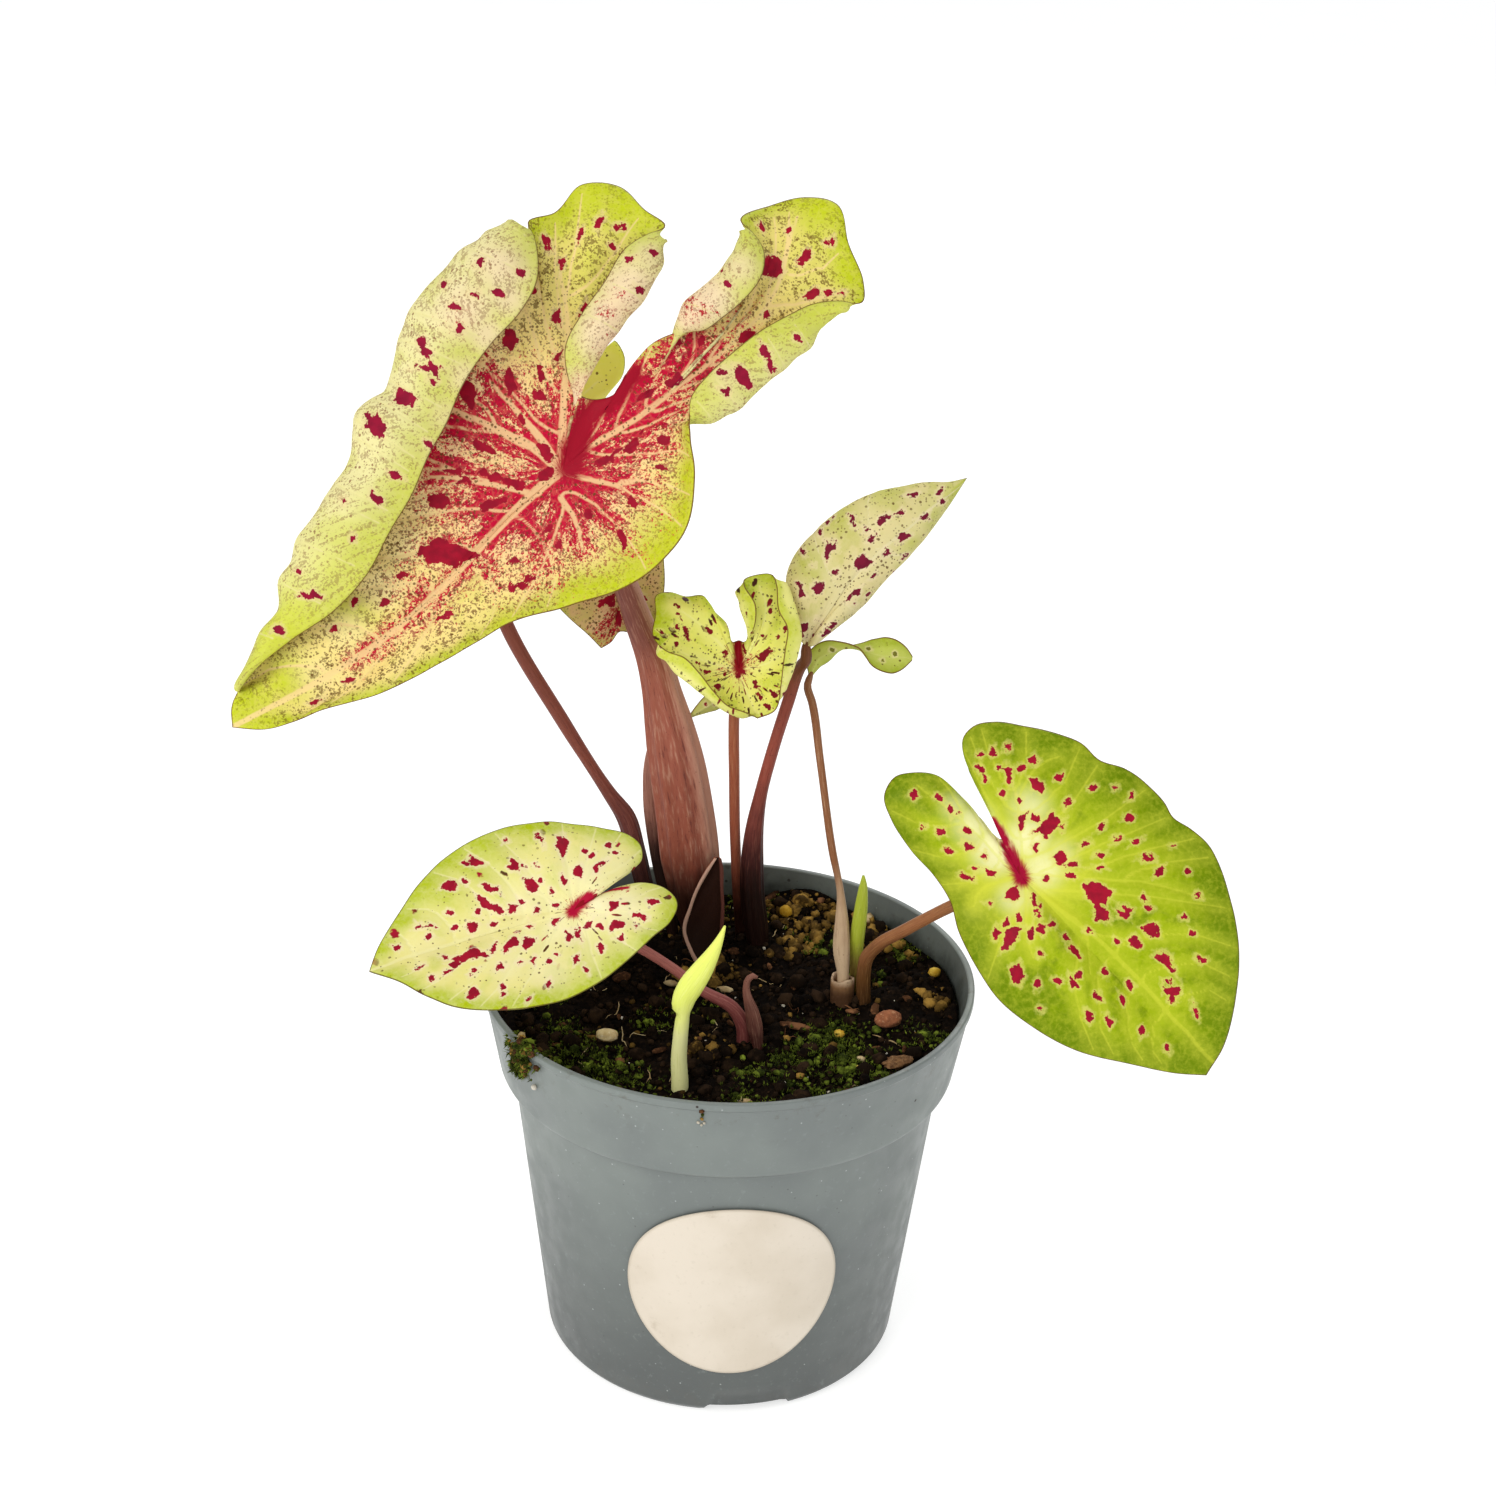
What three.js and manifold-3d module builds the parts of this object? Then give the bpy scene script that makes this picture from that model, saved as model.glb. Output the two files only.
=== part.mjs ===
// A young caladium growing in a 12 cm nursery pot. Millimetres, +Z up; the origin is on the
// ground under the pot's axis, and the front of the pot is at -Y.
import * as THREE from 'three';
import { mergeVertices } from 'three/addons/utils/BufferGeometryUtils.js';
import Module from 'manifold-3d';

const wasm = await Module();
wasm.setup();

// ---------------------------------------------------------------- driving dimensions
const POT_HEIGHT = 98;
const RIM_RADIUS = 60;
const FOOT_RADIUS = 44.2;
const BODY_TOP_RADIUS = 52.6;
const BODY_TOP_Z = 74;
const COLLAR_LOW_RADIUS = 56;
const COLLAR_LOW_Z = 76.8;
const COLLAR_TOP_RADIUS = 59.4;
const LIP_HEIGHT = 1.8;
const WALL = 1.2;
const BASE_UNDERSIDE_Z = 2.5;
const BASE_TOP_Z = 4;
const FOOT_FLAT_INNER = 39.8;
const FOOT_FLAT_OUTER = 42.9;
const POT_SIDES = 40;
const DRAIN_HOLES = 8;
const DRAIN_RADIUS = 3;
const DRAIN_RING_RADIUS = 30;
const CENTRE_DRAIN_RADIUS = 4;
const NOTCH_HEIGHT = 2;
const NOTCH_WIDTH = 21;
const NOTCH_AZIMUTHS = [10, 130, 250];

const LABEL_RADIUS = 25.5;
const LABEL_THICKNESS = 0.4;
const LABEL_LIFT = 0.45;
const LABEL_ARC = 3.3;
const LABEL_Z = 39.3;

const GAP = 0.3;
const SOIL_LEVEL = 88.6;
const BLADE_THICKNESS = 0.8;
const TUBER_TOP_Z = 69.7;
const STEM_FOOT_Z = 70;
const HOLE_TOP_Z = 94;

// Blades are laid out in a frame that leans back from upright and is turned a little in its own
// plane: x to the right, y up along the lean, z out to the front.
const LEAN = THREE.MathUtils.degToRad(24.5);
const TURN = THREE.MathUtils.degToRad(1.75);

// ---------------------------------------------------------------- small helpers
const vec = (x, y, z) => new THREE.Vector3(x, y, z);
const leafFrame = new THREE.Matrix4()
  .makeRotationX(Math.PI / 2 - LEAN)
  .multiply(new THREE.Matrix4().makeRotationZ(TURN));
const fromLeafFrame = (joint, p) => p.clone().applyMatrix4(leafFrame).add(vec(...joint));

// A closed body from vertices and index triples, turned so that its faces point out.
function body(vertices, triangles) {
  let volume = 0;
  const cross = vec(0, 0, 0);
  for (const [a, b, c] of triangles) {
    volume += vertices[a].dot(cross.crossVectors(vertices[b], vertices[c]));
  }
  const geometry = new THREE.BufferGeometry();
  const flat = vertices.flatMap((p) => [p.x, p.y, p.z]);
  geometry.setAttribute('position', new THREE.Float32BufferAttribute(flat, 3));
  geometry.setIndex(triangles.flatMap(([a, b, c]) => (volume < 0 ? [a, c, b] : [a, b, c])));
  return geometry;
}

function toManifold(geometry) {
  const bare = geometry.clone();
  bare.deleteAttribute('normal');
  bare.deleteAttribute('uv');
  const merged = mergeVertices(bare, 1e-4);
  return new wasm.Manifold(new wasm.Mesh({
    numProp: 3,
    vertProperties: new Float32Array(merged.attributes.position.array),
    triVerts: new Uint32Array(merged.index.array),
  }));
}

function fromManifold(solid) {
  const mesh = solid.getMesh();
  const geometry = new THREE.BufferGeometry();
  geometry.setAttribute('position', new THREE.BufferAttribute(mesh.vertProperties, 3));
  geometry.setIndex(new THREE.BufferAttribute(mesh.triVerts, 1));
  return geometry;
}

function cut(geometry, cutters) {
  let solid = toManifold(geometry);
  for (const cutter of cutters) solid = solid.subtract(toManifold(cutter));
  return fromManifold(solid);
}

// A smooth curve through rows of numbers at the given knots (cubic Hermite, uneven knots).
function spline(rows, knots, t) {
  const last = rows.length - 1;
  let i = 0;
  while (i < last - 1 && t >= knots[i + 1]) i += 1;
  const slope = (j, c) => (rows[j + 1][c] - rows[j][c]) / (knots[j + 1] - knots[j]);
  const tangent = (j, c) => {
    if (j === 0) return slope(0, c);
    if (j === last) return slope(last - 1, c);
    const before = knots[j] - knots[j - 1];
    const after = knots[j + 1] - knots[j];
    return (after * slope(j - 1, c) + before * slope(j, c)) / (before + after);
  };
  const h = knots[i + 1] - knots[i];
  const u = (t - knots[i]) / h;
  return rows[i].map((value, c) => (
    (2 * u ** 3 - 3 * u ** 2 + 1) * value
    + (u ** 3 - 2 * u ** 2 + u) * h * tangent(i, c)
    + (3 * u ** 2 - 2 * u ** 3) * rows[i + 1][c]
    + (u ** 3 - u ** 2) * h * tangent(i + 1, c)));
}

const distance = (a, b) => Math.hypot(a[0] - b[0], a[1] - b[1], a[2] - b[2]);

function chordKnots(rows, least = 1e-3) {
  const knots = [0];
  for (let i = 1; i < rows.length; i += 1) {
    knots.push(knots[i - 1] + Math.max(distance(rows[i - 1], rows[i]), least));
  }
  return knots;
}

// Points along a spline at the given shares of its arc length.
function along(rows, shares) {
  const fine = 80;
  const knots = chordKnots(rows);
  const end = knots[knots.length - 1];
  const dense = [];
  for (let i = 0; i <= fine; i += 1) dense.push(spline(rows, knots, (end * i) / fine));
  const lengths = chordKnots(dense, 0);
  return shares.map((share) => {
    const target = share * lengths[fine];
    let i = 0;
    while (i < fine - 1 && lengths[i + 1] < target) i += 1;
    const u = (target - lengths[i]) / (lengths[i + 1] - lengths[i]);
    return dense[i].map((value, c) => value + u * (dense[i + 1][c] - value));
  });
}

// Rings of points joined into a closed body, each end closed by a fan.
function loft(rings) {
  const sides = rings[0].length;
  const vertices = rings.flat();
  const triangles = [];
  for (let i = 0; i + 1 < rings.length; i += 1) {
    for (let j = 0; j < sides; j += 1) {
      const a = i * sides + j;
      const b = i * sides + ((j + 1) % sides);
      triangles.push([a, b, b + sides], [a, b + sides, a + sides]);
    }
  }
  for (const [ring, start] of [[rings[0], 0], [rings.at(-1), (rings.length - 1) * sides]]) {
    const middle = ring.reduce((sum, p) => sum.add(p), vec(0, 0, 0)).divideScalar(sides);
    const centre = vertices.push(middle) - 1;
    for (let j = 0; j < sides; j += 1) {
      const a = start + j;
      const b = start + ((j + 1) % sides);
      triangles.push(start === 0 ? [centre, b, a] : [centre, a, b]);
    }
  }
  return body(vertices, triangles);
}

// ---------------------------------------------------------------- blades
// A spoke runs from the petiole's joint out to the margin. rolled() gives the spokes of a margin
// that turns back over the blade: where the blade goes in under the roll, where it turns, where
// its free edge ends, the depth at which it goes in and the height of the roll.
function rolled(middle, entry, fold, edge, base, rise) {
  const between = (share) => [0, 1].map((c) => fold[c] + share * (edge[c] - fold[c]));
  return [...middle, [...entry, base], [...between(0.22), base + 0.08 * rise],
    [...fold, base + 0.5 * rise], [...between(0.45), base + rise], [...edge, base + 0.8 * rise]];
}

// Spokes of a nearly flat blade from its outline alone. An outline point is x, y, z and the share
// of the blade's arch that its spoke has.
function arched(outline, arch) {
  return outline.map(([x, y, z, share = 1]) => {
    const height = share * arch * Math.hypot(x, y);
    const at = (u) => [x * u, y * u, z * u * u + height * Math.sin(Math.PI * u)];
    return [at(0.35), at(0.7), [x, y, z]];
  });
}

// Mean direction of a fan of points seen from the origin.
function fanNormal(ring) {
  const sum = vec(0, 0, 0);
  ring.forEach((p, j) => sum.add(vec(0, 0, 0).crossVectors(ring[(j + 1) % ring.length], p)));
  return sum.normalize();
}

// A blade of even thickness: the same triangles above and below a surface swept by the spokes.
// The first and the last spoke are the tip's.
function bladeFromSpokes(joint, spokes, rows) {
  const shares = Array.from({ length: rows }, (_, i) => ((i + 1) / rows) ** 0.75);
  const columns = spokes.slice(0, -1)
    .map((spoke) => along([[0, 0, 0], ...spoke], shares).map((p) => vec(...p)));
  const count = columns.length;
  const at = (i, j) => columns[(j + count) % count][i];
  const centreNormal = fanNormal(columns.map((column) => column[0]));
  const upper = [];
  const lower = [];
  const offset = (p, normal) => {
    upper.push(fromLeafFrame(joint, p.clone().addScaledVector(normal, BLADE_THICKNESS / 2)));
    lower.push(fromLeafFrame(joint, p.clone().addScaledVector(normal, -BLADE_THICKNESS / 2)));
  };
  offset(vec(0, 0, 0), centreNormal);
  for (let i = 0; i < rows; i += 1) {
    for (let j = 0; j < count; j += 1) {
      const inner = i === 0 ? vec(0, 0, 0) : at(i - 1, j);
      const outward = at(Math.min(i + 1, rows - 1), j).clone().sub(inner);
      const sideways = at(i, j - 1).clone().sub(at(i, j + 1));
      offset(at(i, j), outward.cross(sideways).normalize());
    }
  }
  const top = [];
  for (let j = 0; j < count; j += 1) {
    const next = (j + 1) % count;
    top.push([0, 1 + next, 1 + j]);
    for (let i = 0; i + 1 < rows; i += 1) {
      const a = 1 + i * count;
      top.push([a + j, a + next, a + count + next], [a + j, a + count + next, a + count + j]);
    }
  }
  const half = upper.length;
  const edge = 1 + (rows - 1) * count;
  const rim = [];
  for (let j = 0; j < count; j += 1) {
    const a = edge + j;
    const b = edge + ((j + 1) % count);
    rim.push([a, b, b + half], [a, b + half, a + half]);
  }
  const bottom = top.map(([a, b, c]) => [a + half, c + half, b + half]);
  return { geometry: body([...upper, ...lower], [...top, ...bottom, ...rim]), normal: centreNormal };
}

// A narrow blade along a path. A path point is x, y, z, half the width and the roll in degrees
// about the path; the blade is slightly trough-shaped.
function ribbonBlade(joint, path, stations, across) {
  const shares = Array.from({ length: stations }, (_, i) => i / (stations - 1));
  const points = along(path, shares);
  const strip = points.map(([x, y, z, half, roll], i) => {
    const before = vec(...points[Math.max(i - 1, 0)]);
    const tangent = vec(...points[Math.min(i + 1, stations - 1)]).sub(before).normalize();
    const side = vec(0, 0, 1).cross(tangent).normalize();
    side.applyAxisAngle(tangent, THREE.MathUtils.degToRad(roll));
    const hollow = vec(0, 0, 0).crossVectors(tangent, side);
    return Array.from({ length: across + 1 }, (_, j) => {
      const s = (2 * j) / across - 1;
      return vec(x, y, z).addScaledVector(side, s * half).addScaledVector(hollow, -0.35 * s * s * half);
    });
  });
  const rings = strip.map((row, i) => {
    const next = strip[Math.min(i + 1, stations - 1)];
    const previous = strip[Math.max(i - 1, 0)];
    const normal = (j) => next[j].clone().sub(previous[j])
      .cross(row[Math.min(j + 1, across)].clone().sub(row[Math.max(j - 1, 0)])).normalize();
    const lifted = (sign) => row.map((p, j) => fromLeafFrame(
      joint, p.clone().addScaledVector(normal(j), (sign * BLADE_THICKNESS) / 2)));
    return [...lifted(1), ...lifted(-1).reverse()];
  });
  return stripBody(rings, across);
}

// The body of a strip whose rings run along its upper side and back along its lower side.
function stripBody(rings, across) {
  const sides = 2 * (across + 1);
  const vertices = rings.flat();
  const triangles = [];
  for (let i = 0; i + 1 < rings.length; i += 1) {
    for (let j = 0; j < across; j += 1) {
      const a = i * sides + j;
      const b = i * sides + sides - 1 - j;
      triangles.push([a, a + 1, a + 1 + sides], [a, a + 1 + sides, a + sides]);
      triangles.push([b, b - 1 + sides, b - 1], [b, b + sides, b - 1 + sides]);
    }
    for (const [p, q] of [[across, across + 1], [sides - 1, 0]]) {
      const a = i * sides + p;
      const b = i * sides + q;
      triangles.push([a, b, b + sides], [a, b + sides, a + sides]);
    }
  }
  for (const [start, flip] of [[0, false], [(rings.length - 1) * sides, true]]) {
    for (let j = 0; j < across; j += 1) {
      const a = start + j;
      const b = start + sides - 1 - j;
      const face = [[a, b, b - 1], [a, b - 1, a + 1]];
      triangles.push(...face.map(([p, q, r]) => (flip ? [p, r, q] : [p, q, r])));
    }
  }
  return body(vertices, triangles);
}

// The large leaf: both basal lobes stand up, the left margin and the sides of both lobes are
// rolled over the upper face, and the right margin is turned up.
const LARGE_JOINT = [-42.3, 20, 218.5];
const LARGE_TIP = [[-7.5, -6, 0], [-20, -19, 0], [-41, -39, 1], [-55.5, -48.5, 2], [-75.5, -59.5, 4]];
const LARGE = [
  LARGE_TIP,
  [[-20, -17, 1], [-40.5, -34.5, 2.5], [-60, -46.5, 3.5], [-75.5, -55, 5]],
  rolled([[-21, -15, 1.5], [-41.5, -31, 3]], [-62, -42], [-74.5, -50.5], [-71, -48], 3.5, 5),
  rolled([[-21, -12.5, 2], [-39.5, -24.5, 3]], [-58, -34], [-68.5, -37.5], [-61.5, -40], 3, 7),
  rolled([[-21, -10, 2], [-37, -18.5, 3]], [-54.5, -28], [-64, -26], [-51, -33], 3, 9),
  rolled([[-19.5, -8, 2], [-32.5, -14, 3]], [-48.5, -21], [-60, -17], [-43, -24.5], 2.5, 12),
  rolled([[-18.5, -6, 2], [-30, -8, 3]], [-44, -11.5], [-53.2, -7], [-37.5, -14.5], 2.5, 13),
  rolled([[-17.5, -2.5, 2], [-27.5, -2.5, 3]], [-40.5, -2], [-48, 2], [-33, -7], 2.5, 13),
  rolled([[-16.5, 2, 2], [-25.5, 4.5, 3]], [-37, 8], [-45.8, 13], [-29, 2], 2.5, 14),
  rolled([[-15, 6, 2], [-23, 10.5, 3]], [-32.5, 14], [-39.5, 17.8], [-25, 9.5], 2.5, 13),
  rolled([[-14, 9.5, 2], [-21, 16, 3]], [-30, 21], [-37.5, 25], [-21.5, 17.5], 2.5, 14),
  rolled([[-12, 13, 2], [-17.5, 22, 3]], [-25.5, 30], [-34, 35], [-14.5, 27.5], 2.5, 15),
  rolled([[-10, 16, 2], [-14, 27.5, 3]], [-19.5, 39], [-28.5, 42.5], [-8, 34.5], 3, 15),
  rolled([[-7.5, 18.5, 2], [-9.5, 31, 3]], [-12.5, 45], [-22, 49.5], [-4.5, 41.5], 3.5, 13),
  rolled([[-5.5, 19.5, 2], [-6.5, 34.5, 3.5]], [-8.5, 49.5], [-15.5, 54.5], [-4.5, 48.5], 4, 10),
  rolled([[-4.5, 20, 2], [-5, 36, 3.5]], [-6, 51], [-10.5, 56.5], [-5.5, 52.5], 5, 7),
  [[-3.5, 21, 2], [-4, 39, 4], [-5, 49, 6], [-7, 55.8, 9]],
  [[-2, 21, 2], [-1.5, 39, 4], [-1, 51.5, 5], [-1, 59, 5]],
  [[-0.5, 21, 2], [2, 39, 4], [4, 55, 4], [5, 66.5, 0]],
  [[0.5, 21, 2], [4.5, 39, 4.5], [9.5, 55, 4.5], [13.5, 66, 0]],
  [[1.5, 19.5, 2], [7.5, 39, 4], [14.5, 53, 4], [19.5, 60, 3]],
  [[2, 18.5, 2], [9.5, 38, 4], [18.5, 50.5, 4], [24.5, 55.5, 6]],
  rolled([[2, 17.5, 2], [9.5, 36, 3.5]], [18.5, 48.5], [25, 52.2], [20.5, 53.5], 4.5, 4.5),
  rolled([[2, 16, 2], [9, 33.5, 3]], [17, 44.5], [24.3, 47.5], [15.5, 50], 3.5, 8),
  rolled([[2.5, 14, 2], [7.5, 27.5, 3]], [13, 36.5], [19.3, 38], [10.5, 42], 3.5, 8.5),
  rolled([[2.5, 11.5, 2], [6, 22.5, 3]], [9, 28.5], [13.5, 31], [5.5, 35], 3.5, 8),
  rolled([[2, 9.5, 1.5], [4, 18, 3]], [6, 22.5], [9, 24], [1.5, 27], 3.5, 7),
  [[1.5, 7, 1.5], [3, 14, 3], [5.5, 19, 6], [2, 21, 8]],
  [[2, 7, 1], [4, 17.5, 3]],
  [[3.5, 7.5, 0.5], [7.5, 16.5, 1]],
  [[5, 7.5, 0.5], [11.5, 17, 2]],
  [[6.5, 8, 0.5], [12, 16, 2], [17, 24.5, 4]],
  [[7.5, 8, 0.5], [15, 17, 2], [21.5, 29, 5]],
  [[9, 8, 0.5], [18.5, 17.5, 2], [25, 26.5, 4], [28, 31.5, 6]],
  rolled([[9.5, 8, 1], [21, 18.5, 2]], [29, 27.5], [26.5, 33.5], [33.5, 31.5], 3, 6),
  rolled([[10.5, 8, 1], [23, 19.5, 2]], [32.5, 30], [28.5, 37.5], [37.5, 34], 3, 8),
  rolled([[11.5, 8, 1], [26.5, 21, 2.5]], [37, 34.5], [33.5, 42.3], [42.5, 38], 3.5, 8.5),
  rolled([[12, 8, 1], [30, 23.5, 3]], [41.5, 39.5], [38.8, 47.5], [46.5, 43.5], 4, 8),
  rolled([[12.5, 8, 1], [31, 24.5, 3]], [43.5, 43], [40.8, 52], [47, 49], 4, 7),
  rolled([[12.8, 8, 1], [32, 25, 3]], [44.3, 46.5], [41.4, 54.3], [44.6, 53.3], 5, 4.5),
  [[13, 8, 1], [32.5, 25.5, 3], [45, 41.5, 4], [45.5, 51, 6], [42, 56, 8]],
  [[13.5, 8, 1], [33.5, 26, 3], [48.5, 43.5, 4], [49.5, 54, 3], [48.5, 61.5, 0]],
  [[13.5, 8, 1], [35, 26.5, 3], [52, 44.5, 4], [55.5, 55.5, 3], [57, 63.5, 0]],
  [[14, 7.5, 1], [36.5, 27, 3], [54, 44, 4], [61, 54, 3], [64, 61.5, 1]],
  [[14.5, 7.5, 1], [37.5, 27, 3], [56.5, 42.5, 3.5], [63, 49, 3], [66.5, 52.5, 2]],
  [[14.5, 7, 1], [38, 26.5, 3], [56.5, 39, 3.5], [65.5, 42.5, 4], [70, 43.5, 3]],
  [[14.5, 6.5, 1], [37.5, 25, 3], [55.5, 36.5, 3.5], [65.5, 38, 6], [69.5, 38, 6]],
  rolled([[14.2, 6.2, 1], [37, 24, 3]], [55, 34.5], [66.2, 36], [64, 38.2], 5, 3),
  rolled([[14, 6, 1], [36, 23, 3]], [54, 32.5], [62, 33.2], [58.5, 37.5], 4, 5),
  rolled([[13.5, 5.5, 1], [33.5, 20.5, 3]], [49.5, 28], [57.7, 27.5], [52.5, 34.5], 4, 7),
  rolled([[13.5, 5, 1], [31, 18.5, 3]], [45, 24], [51.7, 22.5], [46.5, 31], 4, 8),
  rolled([[13, 4.5, 1], [29.5, 16, 3]], [40.5, 20], [46.2, 17.5], [40.5, 26.5], 4, 8),
  rolled([[12.5, 4, 1], [27.5, 14, 3]], [36, 17], [41, 13], [34.5, 21], 4, 8),
  rolled([[12, 3.5, 1], [24, 10.5, 3]], [31, 14], [35.5, 10.3], [30.5, 16], 4.5, 7),
  [[11.5, 2.5, 1], [22, 7.5, 3], [28, 9, 6], [30.3, 7, 10]],
  [[11, 1, 1], [21, 0.5, 3], [28, -1.5, 6], [31, -3, 11]],
  [[10, -1.5, 1], [19.5, -7, 3], [26, -11.5, 6], [29, -14.5, 10]],
  [[8.5, -4, 1], [16, -12, 3], [21.5, -18.5, 6], [23.5, -21.5, 9]],
  [[7, -6, 1], [11, -15, 3], [14.5, -22.5, 5.5], [16, -27, 8]],
  [[4.5, -7.5, 1], [4.5, -17.5, 3], [4.5, -26, 5], [4.5, -31, 7]],
  [[2, -8.5, 1], [-2.5, -19.5, 2.5], [-8, -30, 4], [-11, -35.5, 6]],
  [[-1.5, -9.5, 1], [-11.5, -23, 2.5], [-22.5, -38, 4], [-27, -44.5, 6]],
  [[-5, -11, 1], [-21, -27.5, 2], [-34.5, -44, 4], [-39.5, -51, 5.5]],
  [[-7, -10, 0.5], [-28, -33, 1.5], [-48.5, -51, 3.5], [-55, -55.5, 5]],
  [[-8, -8, 0], [-30.5, -32, 1], [-55.5, -52.5, 2.5], [-68.5, -60, 4.5]],
  LARGE_TIP,
];

// The leaf that hangs over the rim on the right.
const RIGHT_JOINT = [67.5, -15, 134.7];
const RIGHT = arched([
  [44, -47, -4, 0], [37.5, -46.5, -3, 0.3], [25.5, -44, -1], [12.5, -40.5, 0.5], [2.5, -35, 1.5],
  [-5, -29, 1], [-10.5, -21, 0], [-14.5, -13, -1], [-16.5, -5.5, -2], [-20, 0, -2.5],
  [-25.5, 6, -4], [-30, 13, -5.5], [-31.5, 19, -6], [-29, 23, -6.5], [-25, 24, -6],
  [-19.5, 23.5, -5], [-14.5, 19.5, -3.5], [-10, 14.5, -2], [-6.5, 10, -1], [-4.5, 8.5, -0.5],
  [-3, 10, -0.5], [-4.5, 13.5, -1.5], [-7.5, 18, -2.5], [-11, 23, -3], [-13, 28, -3.5],
  [-13, 32.5, -4], [-10.5, 35, -5], [-5.5, 36, -5.5], [1.5, 35, -5], [9.5, 33, -3.5],
  [14.5, 31, -3], [18.5, 27, -2], [24.5, 25, -3], [30.5, 21, -4], [34, 17, -3],
  [35.5, 14, -2], [40, 11, -4], [44.5, 7, -5], [48.5, -2, -4], [50.5, -11.5, -2.5],
  [51.5, -21.5, -3.5], [50.5, -31, -4.5], [48, -40.5, -4.5, 0.3], [44, -47, -4, 0],
], 0.05);

// The low leaf at the front left; its lower margin comes forward.
const FRONT_JOINT = [-36, -25, 127.5];
const FRONT = arched([
  [-45.5, -13, 12, 0], [-44, -8, 9, 0.3], [-40.5, -1.5, 4], [-35, 7, -0.5], [-29.5, 12.5, -5],
  [-22.5, 16.5, -7], [-15.5, 19, -9.5], [-8, 20, -10], [-1, 19.5, -11.5], [5.5, 18.5, -11.5],
  [12, 17, -12.5], [15, 14.5, -11], [15.5, 11.5, -9.5], [13.5, 9, -7.5], [9.5, 7.5, -6.5],
  [6, 6, -4], [4, 4.5, -4], [6, 4, -3], [11, 5.5, -5], [16, 6, -6],
  [20.5, 4.5, -7.5], [23.5, 1, -5.5], [22, -3, -4], [18, -6.5, 0.5], [12.5, -11.5, 4],
  [5.5, -16.5, 9], [-1.5, -19.5, 12], [-8.5, -21, 15], [-16, -21.5, 15], [-23, -21, 17],
  [-32, -18.5, 15.5], [-39, -15, 14, 0.3], [-45.5, -13, 12, 0],
], 0.05);

// The leaf behind the large one; only one lobe shows, through the large leaf's sinus.
const BACK_JOINT = [-67.6, 44, 201.1];
const BACK = arched([
  [-28.5, -36, 4, 0], [-31.5, -25.5, 3], [-30, -13.5, 2], [-25.5, 0, 1], [-18.5, 12, 0],
  [-12.5, 19.5, -2], [-5, 23, -3], [1, 20.5, -3], [4, 14, -1.5], [5, 9, -0.5],
  [8.5, 12, -0.5], [16.5, 19.5, -1.5], [24, 25, -1.5], [29.8, 29.8, -1], [33.9, 34.2, -0.5],
  [36.4, 40, 0.5], [38.8, 36.2, 0.5], [38.6, 32, 0.5], [34.5, 26.5, 0], [29, 19.5, 0], [23, 9, -0.5],
  [17, -2.5, 0], [8.5, -13.5, 1], [-2, -24.5, 2], [-15.5, -33, 3], [-28.5, -36, 4, 0],
], 0.05);

// The small leaf behind the thick petiole.
const MIDDLE_JOINT = [-27.9, 47, 179.1];
const MIDDLE = arched([
  [-6.5, -14.5, 3, 0], [-10, -11, 2.5], [-14, -7.5, 2], [-18, -3, 1], [-19.5, 2.5, 0],
  [-18, 9.5, 0], [-13, 15, -1], [-7, 15, -1.5], [-3, 10.5, -0.5], [-0.5, 6, 0],
  [1, 10.5, -0.5], [4, 14.5, -1], [8, 11, -1], [9, 5.5, 0], [9, 0, 1],
  [7.5, -6.5, 2.5], [5.5, -11.5, 3], [1.5, -11, 3], [-2, -10.5, 3], [-4, -13, 3],
  [-6.5, -14.5, 3, 0],
], 0.08);

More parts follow.
